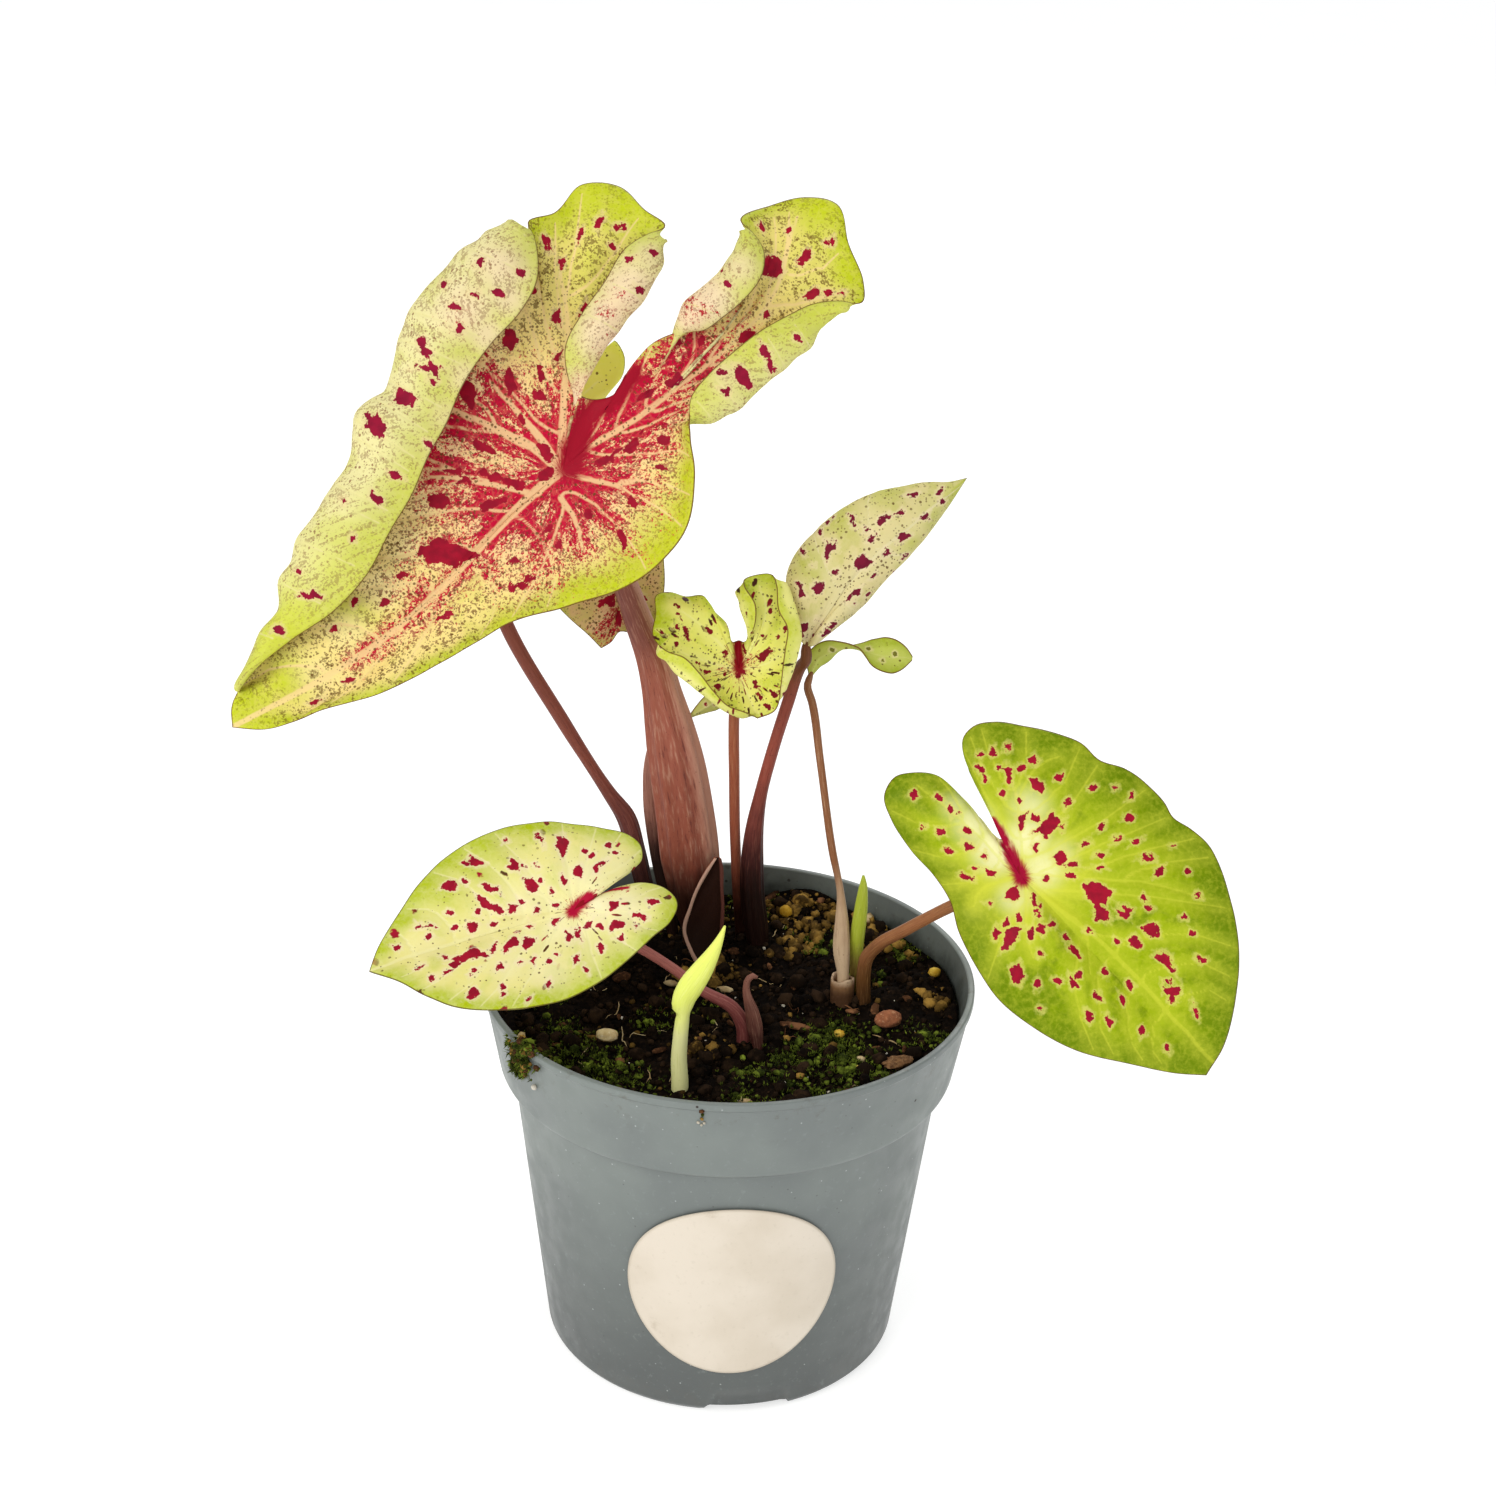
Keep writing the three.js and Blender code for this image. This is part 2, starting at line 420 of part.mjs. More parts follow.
// The small heart-shaped leaf with both margins turned in.
const HEART_JOINT = [0.2, 25, 168];
const HEART_TIP = [[1, -3.5, 0], [3, -8, 2], [4.5, -12, 6]];
const HEART = [
  HEART_TIP,
  [[-1, -3.5, 0.5], [-0.5, -8.5, 3], [1, -12, 7], [1.5, -10.5, 9]],
  [[-3, -3.5, 1], [-4, -7.5, 3], [-3, -10.5, 7], [-2.5, -9, 9]],
  [[-5, -2.5, 1.5], [-8, -5, 4], [-6.5, -8, 7.5], [-6, -5.5, 9.5]],
  [[-6.5, -1.5, 1.5], [-12, -2.5, 4], [-11, -4.5, 7.5], [-9.5, -1, 10]],
  [[-7.5, 0, 2], [-14.5, 2, 4.5], [-16, -0.5, 7.5], [-13, 2.5, 10]],
  [[-7.5, 2, 2], [-15.5, 7, 4.5], [-19.5, 3, 7.5], [-17, 4, 9]],
  [[-7.5, 4, 2], [-15.5, 8.5, 4.5], [-20.5, 7.5, 7]],
  [[-7.5, 5.5, 2], [-14.5, 11.5, 5], [-20, 13.5, 5]],
  [[-7, 7, 2.5], [-13.5, 13.5, 5], [-20, 17.5, 4]],
  [[-6, 8, 3], [-11.5, 14, 5], [-16.5, 18.5, 2]],
  [[-5, 8.5, 3], [-9.5, 14, 5], [-13, 17.5, 2]],
  [[-4, 8.5, 3], [-6.5, 13.5, 4.5], [-8.5, 17.5, 4]],
  [[-3, 7, 3], [-4.5, 11, 4], [-6, 14, 3]],
  [[-2, 5, 2], [-2.5, 8, 3], [-3, 11, 2]],
  [[-1.5, 3.5, 1], [-1.5, 6.5, 2]],
  [[0, 3.5, 0], [0, 7, 0]],
  [[1, 3.5, 1], [1, 6.5, 2]],
  [[2, 4.5, 2], [3, 8, 4], [1.8, 10, 6], [4, 11, 8]],
  [[3, 5, 2.5], [4.5, 10.5, 5], [0.2, 14.5, 6.5], [4, 15, 10]],
  [[3.5, 5.5, 2.5], [5.5, 13, 5], [-0.8, 18.5, 5.5], [1.5, 19.5, 8]],
  [[4, 5.5, 2.5], [6.5, 14, 5], [2, 22, 3]],
  [[4.5, 5.5, 2.5], [8, 14, 5], [7, 23, 2]],
  [[5.5, 5.5, 2.5], [10.5, 13, 4], [11.5, 20.5, 5], [9, 19.5, 8]],
  [[6, 4.5, 2.5], [11, 9, 4], [13.5, 15, 7], [9.5, 13.5, 10]],
  [[6.5, 3.5, 2.5], [11.5, 7, 4], [15, 9, 7.5], [11.5, 9.5, 10.5]],
  [[6, 1.5, 2], [11, 3, 4], [14.5, 4.5, 7.5], [11, 4.5, 10]],
  [[5.5, -0.5, 1.5], [9.5, 0, 3.5], [13, -1, 7], [10.5, 0.5, 9.5]],
  [[4.5, -2, 1], [8, -3.5, 3.5], [11.2, -5.5, 7], [10, -4, 8.5]],
  [[3, -3, 0.5], [6, -7, 3], [8.5, -10.3, 6.5]],
  HEART_TIP,
];

// The young pointed leaf, rolled back round its own midrib, its underside to the front.
const POINTED_JOINT = [16.3, 29.1, 173.1];
const POINTED_TIP = [[7, 10.5, 3.5], [15, 20, 5.5], [26, 29.5, 5], [39, 40.5, 1]];
const POINTED = [
  POINTED_TIP,
  [[7, 10.5, 4], [14, 22.5, 6], [23.5, 34.5, 4], [28, 39, 0], [28, 38, -2]],
  [[5.5, 10.5, 4], [11.5, 22.5, 6], [16.5, 36.5, 2], [18, 34.5, -2.5]],
  [[4.5, 10, 4], [8, 21, 6], [8.5, 32.5, 2], [10.5, 30, -4]],
  [[3, 9.5, 4], [3.5, 19, 5.5], [2, 27, 2], [4.5, 26, -5]],
  [[1.5, 8, 3.5], [0, 15, 5], [-3, 20.5, 1.5], [0, 21, -6]],
  [[0, 6.5, 3], [-2, 10.5, 4], [-4.5, 15, 1], [-2, 16, -6]],
  [[-1, 3.5, 2.5], [-2, 7, 2], [-3, 10.5, -1], [-1, 11.5, -6]],
  [[-0.5, 0.5, 1], [-1.5, 2, 0], [-1.3, 4, -2], [-0.8, 6, -5]],
  [[0.5, 0, -1], [0.5, 1.5, -3]],
  [[1.5, 0, 1.5], [3, 1, 0], [3, 2.5, -2], [2.5, 5, -5]],
  [[3, 2, 2.5], [6, 3.5, 1.5], [7, 4.5, -1], [6.5, 8, -6]],
  [[4.5, 4.5, 3.5], [10, 7.5, 2.5], [12.5, 8.5, 0], [12.5, 12, -6]],
  [[7, 8, 4], [14, 13, 3.5], [19, 16, 0.5], [19.5, 18.5, -5]],
  [[8.5, 10, 4], [18, 18.5, 4], [26, 23, 1], [27.5, 25, -4]],
  [[8.5, 11, 4], [20, 23, 5], [31.5, 31.5, 2], [34.5, 33.5, -2]],
  POINTED_TIP,
];

// Two narrow young leaves: x, y, z, half the width, roll.
const CURLY_JOINT = [17.8, 33, 163.8];
const CURLY = [
  [0, 0, 0, 0.6, 20], [1.5, 3.5, 0.5, 2.6, 25], [4.5, 5.5, 1, 3, 40], [8, 6.5, 1, 2, 70],
  [11, 6.5, 0.5, 1.7, 100], [14, 5.5, 0, 3.3, 140], [17.5, 4.6, 0, 4.4, 165],
  [20.5, 4.4, -0.5, 4.1, 180], [23, 4.2, -1, 2.6, 185], [25, 4, -1.5, 0.5, 185],
];
const LITTLE_JOINT = [-1.6, 36, 156.7];
const LITTLE = [
  [0, 0, 0, 0.6, 0], [-2, -1, 0.5, 1.8, -10], [-5, -2.5, 1, 2.3, -20], [-7.5, -4, 0.5, 1.6, -30],
  [-10, -5.5, 0, 0.5, -40],
];

// ---------------------------------------------------------------- stems
// A stem's path point is x, y, z, half its width, half its depth and how deep its pleats are.
// Under the soil every stem stands straight up from its tuber.
const STEMS = {
  petiole_large: {
    joint: LARGE_JOINT, sides: 20, stations: 18, colour: 0x9a5f55,
    path: [[-7.5, 32.3, 70, 4.1, 4.1, 0], [-7.7, 32.2, 86, 4.3, 4.3, 0], [-8, 32, 94, 4.8, 4.6, 0.03],
      [-9.2, 31.3, 101, 5.8, 4.9, 0.06], [-10.8, 31, 113, 6.9, 5.2, 0.08],
      [-13, 31, 129, 6.9, 5.1, 0.08], [-14.8, 31, 140, 6.6, 4.9, 0.07],
      [-16.8, 32, 149.5, 5.8, 4.4, 0.06], [-18.8, 33, 158, 4.8, 3.9, 0.05],
      [-20.7, 34, 166, 4.2, 3.5, 0.03], [-24.6, 36, 175.1, 3.5, 3.3, 0],
      [-28.4, 37, 185, 3.1, 3, 0], [-34.1, 34, 198.8, 2.9, 2.8, 0]],
  },
  petiole_back: {
    joint: BACK_JOINT, sides: 10, stations: 12, colour: 0x6b3632,
    path: [[-19.2, 38.2, 70, 1.9, 1.9, 0], [-19.3, 38, 88, 2, 2, 0],
      [-23, 37.8, 103.5, 2.3, 2.1, 0.05], [-25, 38, 112, 2.4, 2.1, 0.05],
      [-27.8, 39, 121, 2.4, 2, 0.04], [-31.5, 39.3, 126.5, 1.8, 1.8, 0],
      [-44.4, 41, 147, 1.75, 1.75, 0], [-57.4, 43, 169.6, 1.8, 1.8, 0],
      [-63.5, 45.5, 185, 1.8, 1.8, 0]],
  },
  petiole_middle: {
    joint: MIDDLE_JOINT, sides: 8, stations: 10, colour: 0x8a5a4a,
    path: [[-5.5, 43, 70, 1.1, 1.1, 0], [-5.6, 42.6, 88, 1.1, 1.1, 0],
      [-8.5, 43, 106.8, 1.1, 1.1, 0], [-13, 44, 129, 1.1, 1.1, 0],
      [-17.5, 46, 146, 1.1, 1.1, 0], [-22.3, 48, 161.5, 1.1, 1.1, 0]],
  },
  petiole_heart: {
    joint: HEART_JOINT, sides: 8, stations: 11, colour: 0x9c5a42,
    path: [[2.8, 36.3, 70, 1.4, 1.4, 0], [2.6, 36.1, 88, 1.4, 1.4, 0],
      [1.4, 35.3, 102.6, 1.35, 1.35, 0], [0.3, 34, 120, 1.35, 1.35, 0],
      [-0.3, 33, 137.4, 1.35, 1.35, 0], [-0.7, 32, 152.2, 1.35, 1.35, 0],
      [-0.4, 30, 161.5, 1.3, 1.3, 0]],
  },
  petiole_pointed: {
    joint: POINTED_JOINT, seat: [0, -1, 0], sides: 12, stations: 14, colour: 0x8f5144,
    path: [[7.6, 31.9, 70, 2.4, 2.3, 0], [7.3, 31.8, 87, 2.6, 2.4, 0],
      [6.6, 31.2, 93, 2.9, 2.6, 0.05], [5.2, 31, 103, 3, 2.6, 0.07],
      [4.8, 31, 113, 2.8, 2.3, 0.06], [5.4, 31, 124, 2.1, 1.9, 0.03],
      [6.4, 31.2, 131, 1.65, 1.6, 0], [8.7, 30.9, 142.2, 1.5, 1.5, 0],
      [12.4, 29.8, 157.4, 1.5, 1.5, 0], [15.1, 29.4, 167.3, 1.5, 1.5, 0]],
  },
  petiole_curly: {
    joint: CURLY_JOINT, seat: [-0.3, -0.9, 0], sides: 8, stations: 13, colour: 0x9a6a4c,
    path: [[28, 3.5, 70, 1.45, 1.45, 0], [28, 3.5, 88, 1.5, 1.5, 0], [28, 3.6, 96.5, 1.45, 1.45, 0],
      [27.4, 5.5, 102, 2, 1.7, 0.04], [27.2, 8, 109.5, 1.6, 1.4, 0.03],
      [26.8, 9.7, 115, 1, 1, 0], [24.3, 13, 126, 0.95, 0.95, 0],
      [20.7, 22.3, 145.7, 0.95, 0.95, 0], [18.4, 29.5, 157.7, 1, 1, 0]],
  },
  petiole_right: {
    joint: RIGHT_JOINT, sides: 9, stations: 12, colour: 0x96603a,
    path: [[33.6, 2.5, 70, 1.8, 1.8, 0], [33.5, 2.5, 88, 1.8, 1.8, 0],
      [33, 2.5, 97, 1.75, 1.75, 0], [33.6, 2, 102.5, 1.7, 1.7, 0],
      [36, 0.8, 106.5, 1.6, 1.6, 0], [42.2, -2, 112.5, 1.5, 1.5, 0],
      [51.8, -6, 121, 1.45, 1.45, 0], [60.1, -8.5, 126.8, 1.5, 1.5, 0]],
  },
  petiole_front: {
    joint: FRONT_JOINT, sides: 8, stations: 12, colour: 0x94504a,
    path: [[4, -14.4, 70, 1.7, 1.7, 0], [4.1, -14.4, 86, 1.75, 1.75, 0],
      [3.8, -14.6, 92, 1.8, 1.8, 0], [1.2, -15.6, 97.3, 1.6, 1.6, 0],
      [-5.9, -17, 102.5, 1.3, 1.3, 0], [-13.8, -19, 110, 1.2, 1.2, 0],
      [-20.9, -20.5, 115.6, 1.2, 1.2, 0], [-28.9, -20.8, 120.3, 1.2, 1.2, 0]],
  },
  petiole_little: {
    joint: LITTLE_JOINT, seat: [0.9, -0.7, -0.4], sides: 6, stations: 9, colour: 0x8a5a4a,
    path: [[2.4, 40.6, 70, 0.8, 0.8, 0], [2.4, 40.5, 88, 0.8, 0.8, 0],
      [0.6, 40, 108, 0.8, 0.8, 0], [-0.3, 40, 131, 0.8, 0.8, 0],
      [-0.5, 39.5, 144, 0.8, 0.8, 0], [-0.9, 38, 152, 0.8, 0.8, 0]],
  },
  cataphyll_left: {
    sides: 10, stations: 9, colour: 0x8b5750,
    path: [[-14.6, 36.8, 70, 1.4, 1.2, 0], [-14.9, 36.6, 88, 1.5, 1.2, 0],
      [-16.6, 36.8, 98, 1.7, 1.2, 0.04], [-19.5, 37.6, 112.4, 1.9, 1.2, 0.05],
      [-21.3, 38.5, 127, 1.9, 1, 0.05], [-21.8, 39.2, 137, 1.1, 0.7, 0.02],
      [-21.7, 39.6, 141, 0.35, 0.3, 0]],
  },
  shoot_green: {
    sides: 8, stations: 9, colour: 0x9cc23c,
    path: [[32, 8.6, 70, 1.2, 1.2, 0], [31.9, 8.4, 88, 1.3, 1.3, 0], [31.4, 8.2, 98, 1.5, 1.3, 0],
      [31.3, 8.2, 105, 1.5, 1.2, 0], [31.6, 8.4, 112, 1.2, 1, 0], [31.9, 8.5, 118, 0.8, 0.7, 0],
      [32, 8.5, 121.5, 0.3, 0.3, 0]],
  },
  shoot_pale: {
    sides: 12, stations: 16, colour: 0xe4ea8c,
    path: [[-10.6, -34, 70, 1.9, 1.9, 0], [-10.6, -34, 88, 2, 2, 0], [-10.9, -34, 96, 1.95, 1.95, 0],
      [-10.6, -34, 104.4, 1.8, 1.8, 0], [-10, -34, 108.4, 2.2, 1.7, 0],
      [-9.3, -34, 112, 3, 1.9, 0], [-7.4, -34, 117.2, 3.1, 2, 0], [-4.9, -34, 121.7, 2.5, 1.7, 0],
      [-2.7, -34, 125.7, 1.4, 1.1, 0], [-1, -34, 129.4, 0.3, 0.3, 0]],
  },
  bract_small: {
    sides: 8, stations: 8, colour: 0xa07a68,
    path: [[7.7, -17.6, 70, 1.2, 1.1, 0], [7.5, -17.4, 88, 1.3, 1.1, 0], [6.2, -17.1, 97.5, 1.2, 0.9, 0],
      [4.7, -17, 101.8, 0.9, 0.7, 0], [4.3, -17, 105.5, 0.4, 0.35, 0]],
  },
};
const PLEATS = 9;

// The open hood in front of the thick petiole, solid below: x, y, z, half the width, half the
// depth, thickness.
const HOOD = [[-5.2, 21.4, 70, 2, 2, 1.7], [-5.4, 21.4, 86, 2.2, 2, 1.6], [-6.4, 21.6, 92, 4, 2.2, 1],
  [-6.9, 21.8, 98, 5.1, 2.6, 0.8], [-6.3, 22, 104, 4.5, 2.6, 0.8], [-5.3, 22.4, 110, 3.3, 2.3, 0.8],
  [-4.3, 23, 115, 1.9, 1.6, 0.8], [-3.8, 23.4, 117.4, 0.9, 0.9, 0.7]];
const HOOD_ARC = 200;
const HOOD_STEPS = 10;

// Shares of a stem's length: even, or even up to a blade's joint and closer there.
const stemShares = (count) => Array.from({ length: count }, (_, i) => i / (count - 1));
const jointShares = (count) => [...stemShares(count - 2).map((share) => 0.95 * share), 0.98, 1];

// Ellipses square to the path; their width starts along X and is carried along without twist.
function stemRings(points, sides, grow = 0) {
  let across = vec(1, 0, 0);
  return points.map(([x, y, z, width, depth, pleat], i) => {
    const before = vec(...points[Math.max(i - 1, 0)].slice(0, 3));
    const tangent = vec(...points[Math.min(i + 1, points.length - 1)].slice(0, 3)).sub(before).normalize();
    across = across.clone().addScaledVector(tangent, -across.dot(tangent)).normalize();
    const deep = vec(0, 0, 0).crossVectors(tangent, across);
    return Array.from({ length: sides }, (_, j) => {
      const angle = (2 * Math.PI * j) / sides;
      const pleated = 1 + pleat * Math.cos(PLEATS * angle);
      return vec(x, y, z)
        .addScaledVector(across, (width * pleated + grow) * Math.cos(angle))
        .addScaledVector(deep, (depth * pleated + grow) * Math.sin(angle));
    });
  });
}

// The last two points of a petiole: it meets its blade square on, GAP short of the surface.
function jointEnd(stem, normal) {
  const [, , , width, depth] = stem.path.at(-1);
  const seat = stem.seat
    ? vec(...stem.seat).normalize()
    : normal.clone().negate();
  const reach = stem.seat ? vec(...stem.seat).length() : BLADE_THICKNESS / 2 + GAP + 0.1;
  return [reach + 1.5 * width, reach].map((d) => {
    const p = fromLeafFrame(stem.joint, seat.clone().multiplyScalar(d));
    return [p.x, p.y, p.z, width * 0.95, depth * 0.95, 0];
  });
}

function stemPoints(stem, normal) {
  if (!stem.joint) return along(stem.path, stemShares(stem.stations));
  return along([...stem.path, ...jointEnd(stem, normal)], jointShares(stem.stations));
}

// The stem's hole in the soil: its own rings grown by the gap, from its tuber up into the air.
function stemHole(stem, normal) {
  const points = stemPoints(stem, normal);
  const above = points.findIndex((p) => p[2] > HOLE_TOP_Z);
  const rings = stemRings(points, stem.sides, GAP + 0.05).slice(0, above + 1);
  const foot = rings[0].map((p) => vec(p.x, p.y, STEM_FOOT_Z - 1));
  return loft([foot, ...rings.slice(1)]);
}

function stemGeometry(stem, normal) {
  return loft(stemRings(stemPoints(stem, normal), stem.sides));
}

function hoodGeometry() {
  const arc = THREE.MathUtils.degToRad(HOOD_ARC);
  const from = Math.PI / 2 - arc / 2;
  return loft(along(HOOD, stemShares(10)).map(([x, y, z, width, depth, thick]) => {
    const point = (share, inset) => {
      const angle = from + share * arc;
      return vec(x + (width - inset) * Math.cos(angle), y + (depth - inset) * Math.sin(angle), z);
    };
    const steps = stemShares(HOOD_STEPS + 1);
    return [...steps.map((s) => point(s, 0)), ...steps.reverse().map((s) => point(s, thick))];
  }));
}

function hoodHole() {
  const room = 2 * GAP;
  return loft(HOOD.slice(0, 4).map(([x, y, z, width, depth], i) => stemShares(13).slice(1)
    .map((share) => 2 * Math.PI * share)
    .map((angle) => vec(x + (width + room) * Math.cos(angle), y + (depth + room) * Math.sin(angle),
      i === 0 ? STEM_FOOT_Z - 1 : z))));
}

// A short ring left from an old leaf sheath, round the curly leaf's petiole.
const STUMP = { x: 28, y: 3.5, low: 80, high: 96.3, inner: 2.25, outer: 2.95 };

function stumpGeometry() {
  const profile = [[STUMP.inner, STUMP.low], [STUMP.outer, STUMP.low], [STUMP.outer, STUMP.high],
    [STUMP.inner, STUMP.high], [STUMP.inner, STUMP.low]].map(([r, z]) => new THREE.Vector2(r, z));
  return new THREE.LatheGeometry(profile, 14).rotateX(Math.PI / 2).translate(STUMP.x, STUMP.y, 0);
}

// ---------------------------------------------------------------- tubers
// Flattened round tubers: x, y, half the width, half the depth, height.
const TUBERS = {
  tuber_back: [-5.5, 32.5, 17, 12.5, 18],
  tuber_right: [31, 5, 8.5, 8, 13],
  tuber_front: [5.5, -16, 8, 7.5, 12],
  tuber_shoot: [-10.6, -33.5, 6, 6, 10],
};

function tuberGeometry([x, y, width, depth, height], grow = 0) {
  const profile = [[0, -1], [0.6, -0.95], [0.9, -0.6], [1, -0.1], [0.97, 0.5], [0.88, 0.85], [0.7, 1],
    [0, 1]].map(([r, z]) => new THREE.Vector2(r, z));
  return new THREE.LatheGeometry(profile, 12).rotateX(Math.PI / 2)
    .scale(width + grow, depth + grow, height / 2 + grow)
    .translate(x, y, TUBER_TOP_Z - height / 2);
}

// ---------------------------------------------------------------- pot, label and soil
const lathe = (points, sides) => new THREE.LatheGeometry(
  points.map(([r, z]) => new THREE.Vector2(r, z)), sides).rotateX(Math.PI / 2);

function potGeometry() {
  const shell = lathe([
    [0, BASE_UNDERSIDE_Z], [FOOT_FLAT_INNER - 1, BASE_UNDERSIDE_Z], [FOOT_FLAT_INNER, 0],
    [FOOT_FLAT_OUTER, 0], [FOOT_RADIUS, 1.6], [BODY_TOP_RADIUS, BODY_TOP_Z],
    [COLLAR_LOW_RADIUS - 0.4, COLLAR_LOW_Z - 0.9], [COLLAR_LOW_RADIUS, COLLAR_LOW_Z],
    [COLLAR_TOP_RADIUS, POT_HEIGHT - LIP_HEIGHT - 0.4], [RIM_RADIUS, POT_HEIGHT - LIP_HEIGHT],
    [RIM_RADIUS, POT_HEIGHT - 0.3], [RIM_RADIUS - 0.4, POT_HEIGHT],
    [COLLAR_TOP_RADIUS - WALL, POT_HEIGHT],
    [COLLAR_LOW_RADIUS - WALL, COLLAR_LOW_Z + 0.6], [BODY_TOP_RADIUS - WALL, BODY_TOP_Z + 0.6],
    [FOOT_RADIUS - WALL + 0.4, BASE_TOP_Z], [0, BASE_TOP_Z]], POT_SIDES);
  const drill = (radius, x, y) => new THREE.CylinderGeometry(radius, radius, 6, 12)
    .rotateX(Math.PI / 2).translate(x, y, BASE_TOP_Z - 1);
  const cutters = [drill(CENTRE_DRAIN_RADIUS, 0, 0)];
  for (let i = 0; i < DRAIN_HOLES; i += 1) {
    const centre = vec(DRAIN_RING_RADIUS, 0, 0).applyAxisAngle(vec(0, 0, 1), (2 * Math.PI * i) / DRAIN_HOLES);
    cutters.push(drill(DRAIN_RADIUS, centre.x, centre.y));
  }
  for (const azimuth of NOTCH_AZIMUTHS) cutters.push(notchCutter(azimuth));
  return cut(shell, cutters);
}

// A notch in the foot ring with sloped ends, cut straight out through the ring.
function notchCutter(azimuth) {
  const half = NOTCH_WIDTH / 2;
  const outline = new THREE.Shape([[-half - 0.6, -1], [half + 0.6, -1], [half - 1.2, NOTCH_HEIGHT],
    [-half + 1.2, NOTCH_HEIGHT]].map(([x, z]) => new THREE.Vector2(x, z)));
  return new THREE.ExtrudeGeometry(outline, { depth: 12, bevelEnabled: false })
    .rotateX(Math.PI / 2).translate(0, -36, 0)
    .rotateZ(THREE.MathUtils.degToRad(azimuth));
}

const bodyRadius = (z) => FOOT_RADIUS + ((BODY_TOP_RADIUS - FOOT_RADIUS) * z) / BODY_TOP_Z;

// A thin round sticker bent round the pot's body.
function labelGeometry() {
  const rings = 3;
  const steps = 32;
  const layer = (lift) => {
    const points = [];
    for (let i = 0; i <= rings; i += 1) {
      for (let j = 0; j < (i === 0 ? 1 : steps); j += 1) {
        const angle = (2 * Math.PI * j) / steps;
        const reach = (LABEL_RADIUS * i) / rings;
        const z = LABEL_Z + reach * Math.sin(angle);
        const r = bodyRadius(z) + lift;
        const turn = (LABEL_ARC + reach * Math.cos(angle)) / bodyRadius(LABEL_Z);
        points.push(vec(r * Math.sin(turn), -r * Math.cos(turn), z));
      }
    }
    return points;
  };
  const face = [];
  for (let j = 0; j < steps; j += 1) {
    const next = (j + 1) % steps;
    face.push([0, 1 + j, 1 + next]);
    for (let i = 0; i + 1 < rings; i += 1) {
      const a = 1 + i * steps;
      face.push([a + j, a + steps + j, a + steps + next], [a + j, a + steps + next, a + next]);
    }
  }
  const count = 1 + rings * steps;
  const triangles = [...face, ...face.map(([a, b, c]) => [a + count, c + count, b + count])];
  for (let j = 0; j < steps; j += 1) {
    const a = 1 + (rings - 1) * steps + j;
    const b = 1 + (rings - 1) * steps + ((j + 1) % steps);
    triangles.push([a, a + count, b + count], [a, b + count, b]);
  }
  return body([...layer(LABEL_LIFT + LABEL_THICKNESS), ...layer(LABEL_LIFT)], triangles);
}

// The soil's surface: a little higher at the back and heaped behind the stems on the right.
const hump = (x, y, cx, cy, width) => Math.exp(-((x - cx) ** 2 + (y - cy) ** 2) / (2 * width * width));
const soilHeight = (x, y) => SOIL_LEVEL + 0.02 * x + 0.025 * y
  + 4 * hump(x, y, 20, 50, 9) + 1.5 * hump(x, y, 52, 8, 9) + 0.8 * Math.sin(x / 5) * Math.cos(y / 6);

function soilGeometry(holes) {
  const sectors = POT_SIDES;
  const reaches = [0.25, 0.5, 0.75, 1];
  const wall = [[COLLAR_LOW_RADIUS - WALL - GAP - 0.3, COLLAR_LOW_Z + 1.2],
    [BODY_TOP_RADIUS - WALL - GAP - 0.3, BODY_TOP_Z], [FOOT_RADIUS - WALL - GAP, BASE_TOP_Z + GAP]];
  const topRadius = (COLLAR_TOP_RADIUS + COLLAR_LOW_RADIUS) / 2 - WALL - GAP;
  const around = (make) => Array.from({ length: sectors }, (_, j) => {
    const angle = (2 * Math.PI * j) / sectors;
    return make(Math.cos(angle), Math.sin(angle));
  });
  const rings = reaches.map((share) => around((c, s) => {
    const r = share * topRadius;
    return vec(r * c, r * s, soilHeight(r * c, r * s));
  }));
  for (const [r, z] of wall) rings.push(around((c, s) => vec(r * c, r * s, z)));
  return cut(loft(rings), holes);
}

// ---------------------------------------------------------------- loose pieces on the soil
// Two stones and a chip of bark: x, y, half sizes, turn about Z.
const STONES = {
  stone_brown: [38.9, -9.2, 3.6, 2.6, 2.2, 20],
  pebble_white: [-28.7, -16.3, 2.6, 1.9, 1.6, -15],
  bark_chip: [40.5, -26, 4.2, 2.4, 1.1, 35],
};

function stoneGeometry([x, y, a, b, c, turn]) {
  const ball = new THREE.IcosahedronGeometry(1, 1);
  ball.deleteAttribute('normal');
  ball.deleteAttribute('uv');
  return mergeVertices(ball, 1e-4).scale(a, b, c).rotateZ(THREE.MathUtils.degToRad(turn))
    .translate(x, y, soilHeight(x, y) + c + 2 * GAP);
}

// ---------------------------------------------------------------- assembly
const plant = new THREE.Group();

function add(name, geometry, color, roughness) {
  const material = new THREE.MeshStandardMaterial({ color, roughness, metalness: 0 });
  const mesh = new THREE.Mesh(geometry, material);
  mesh.name = name;
  plant.add(mesh);
}

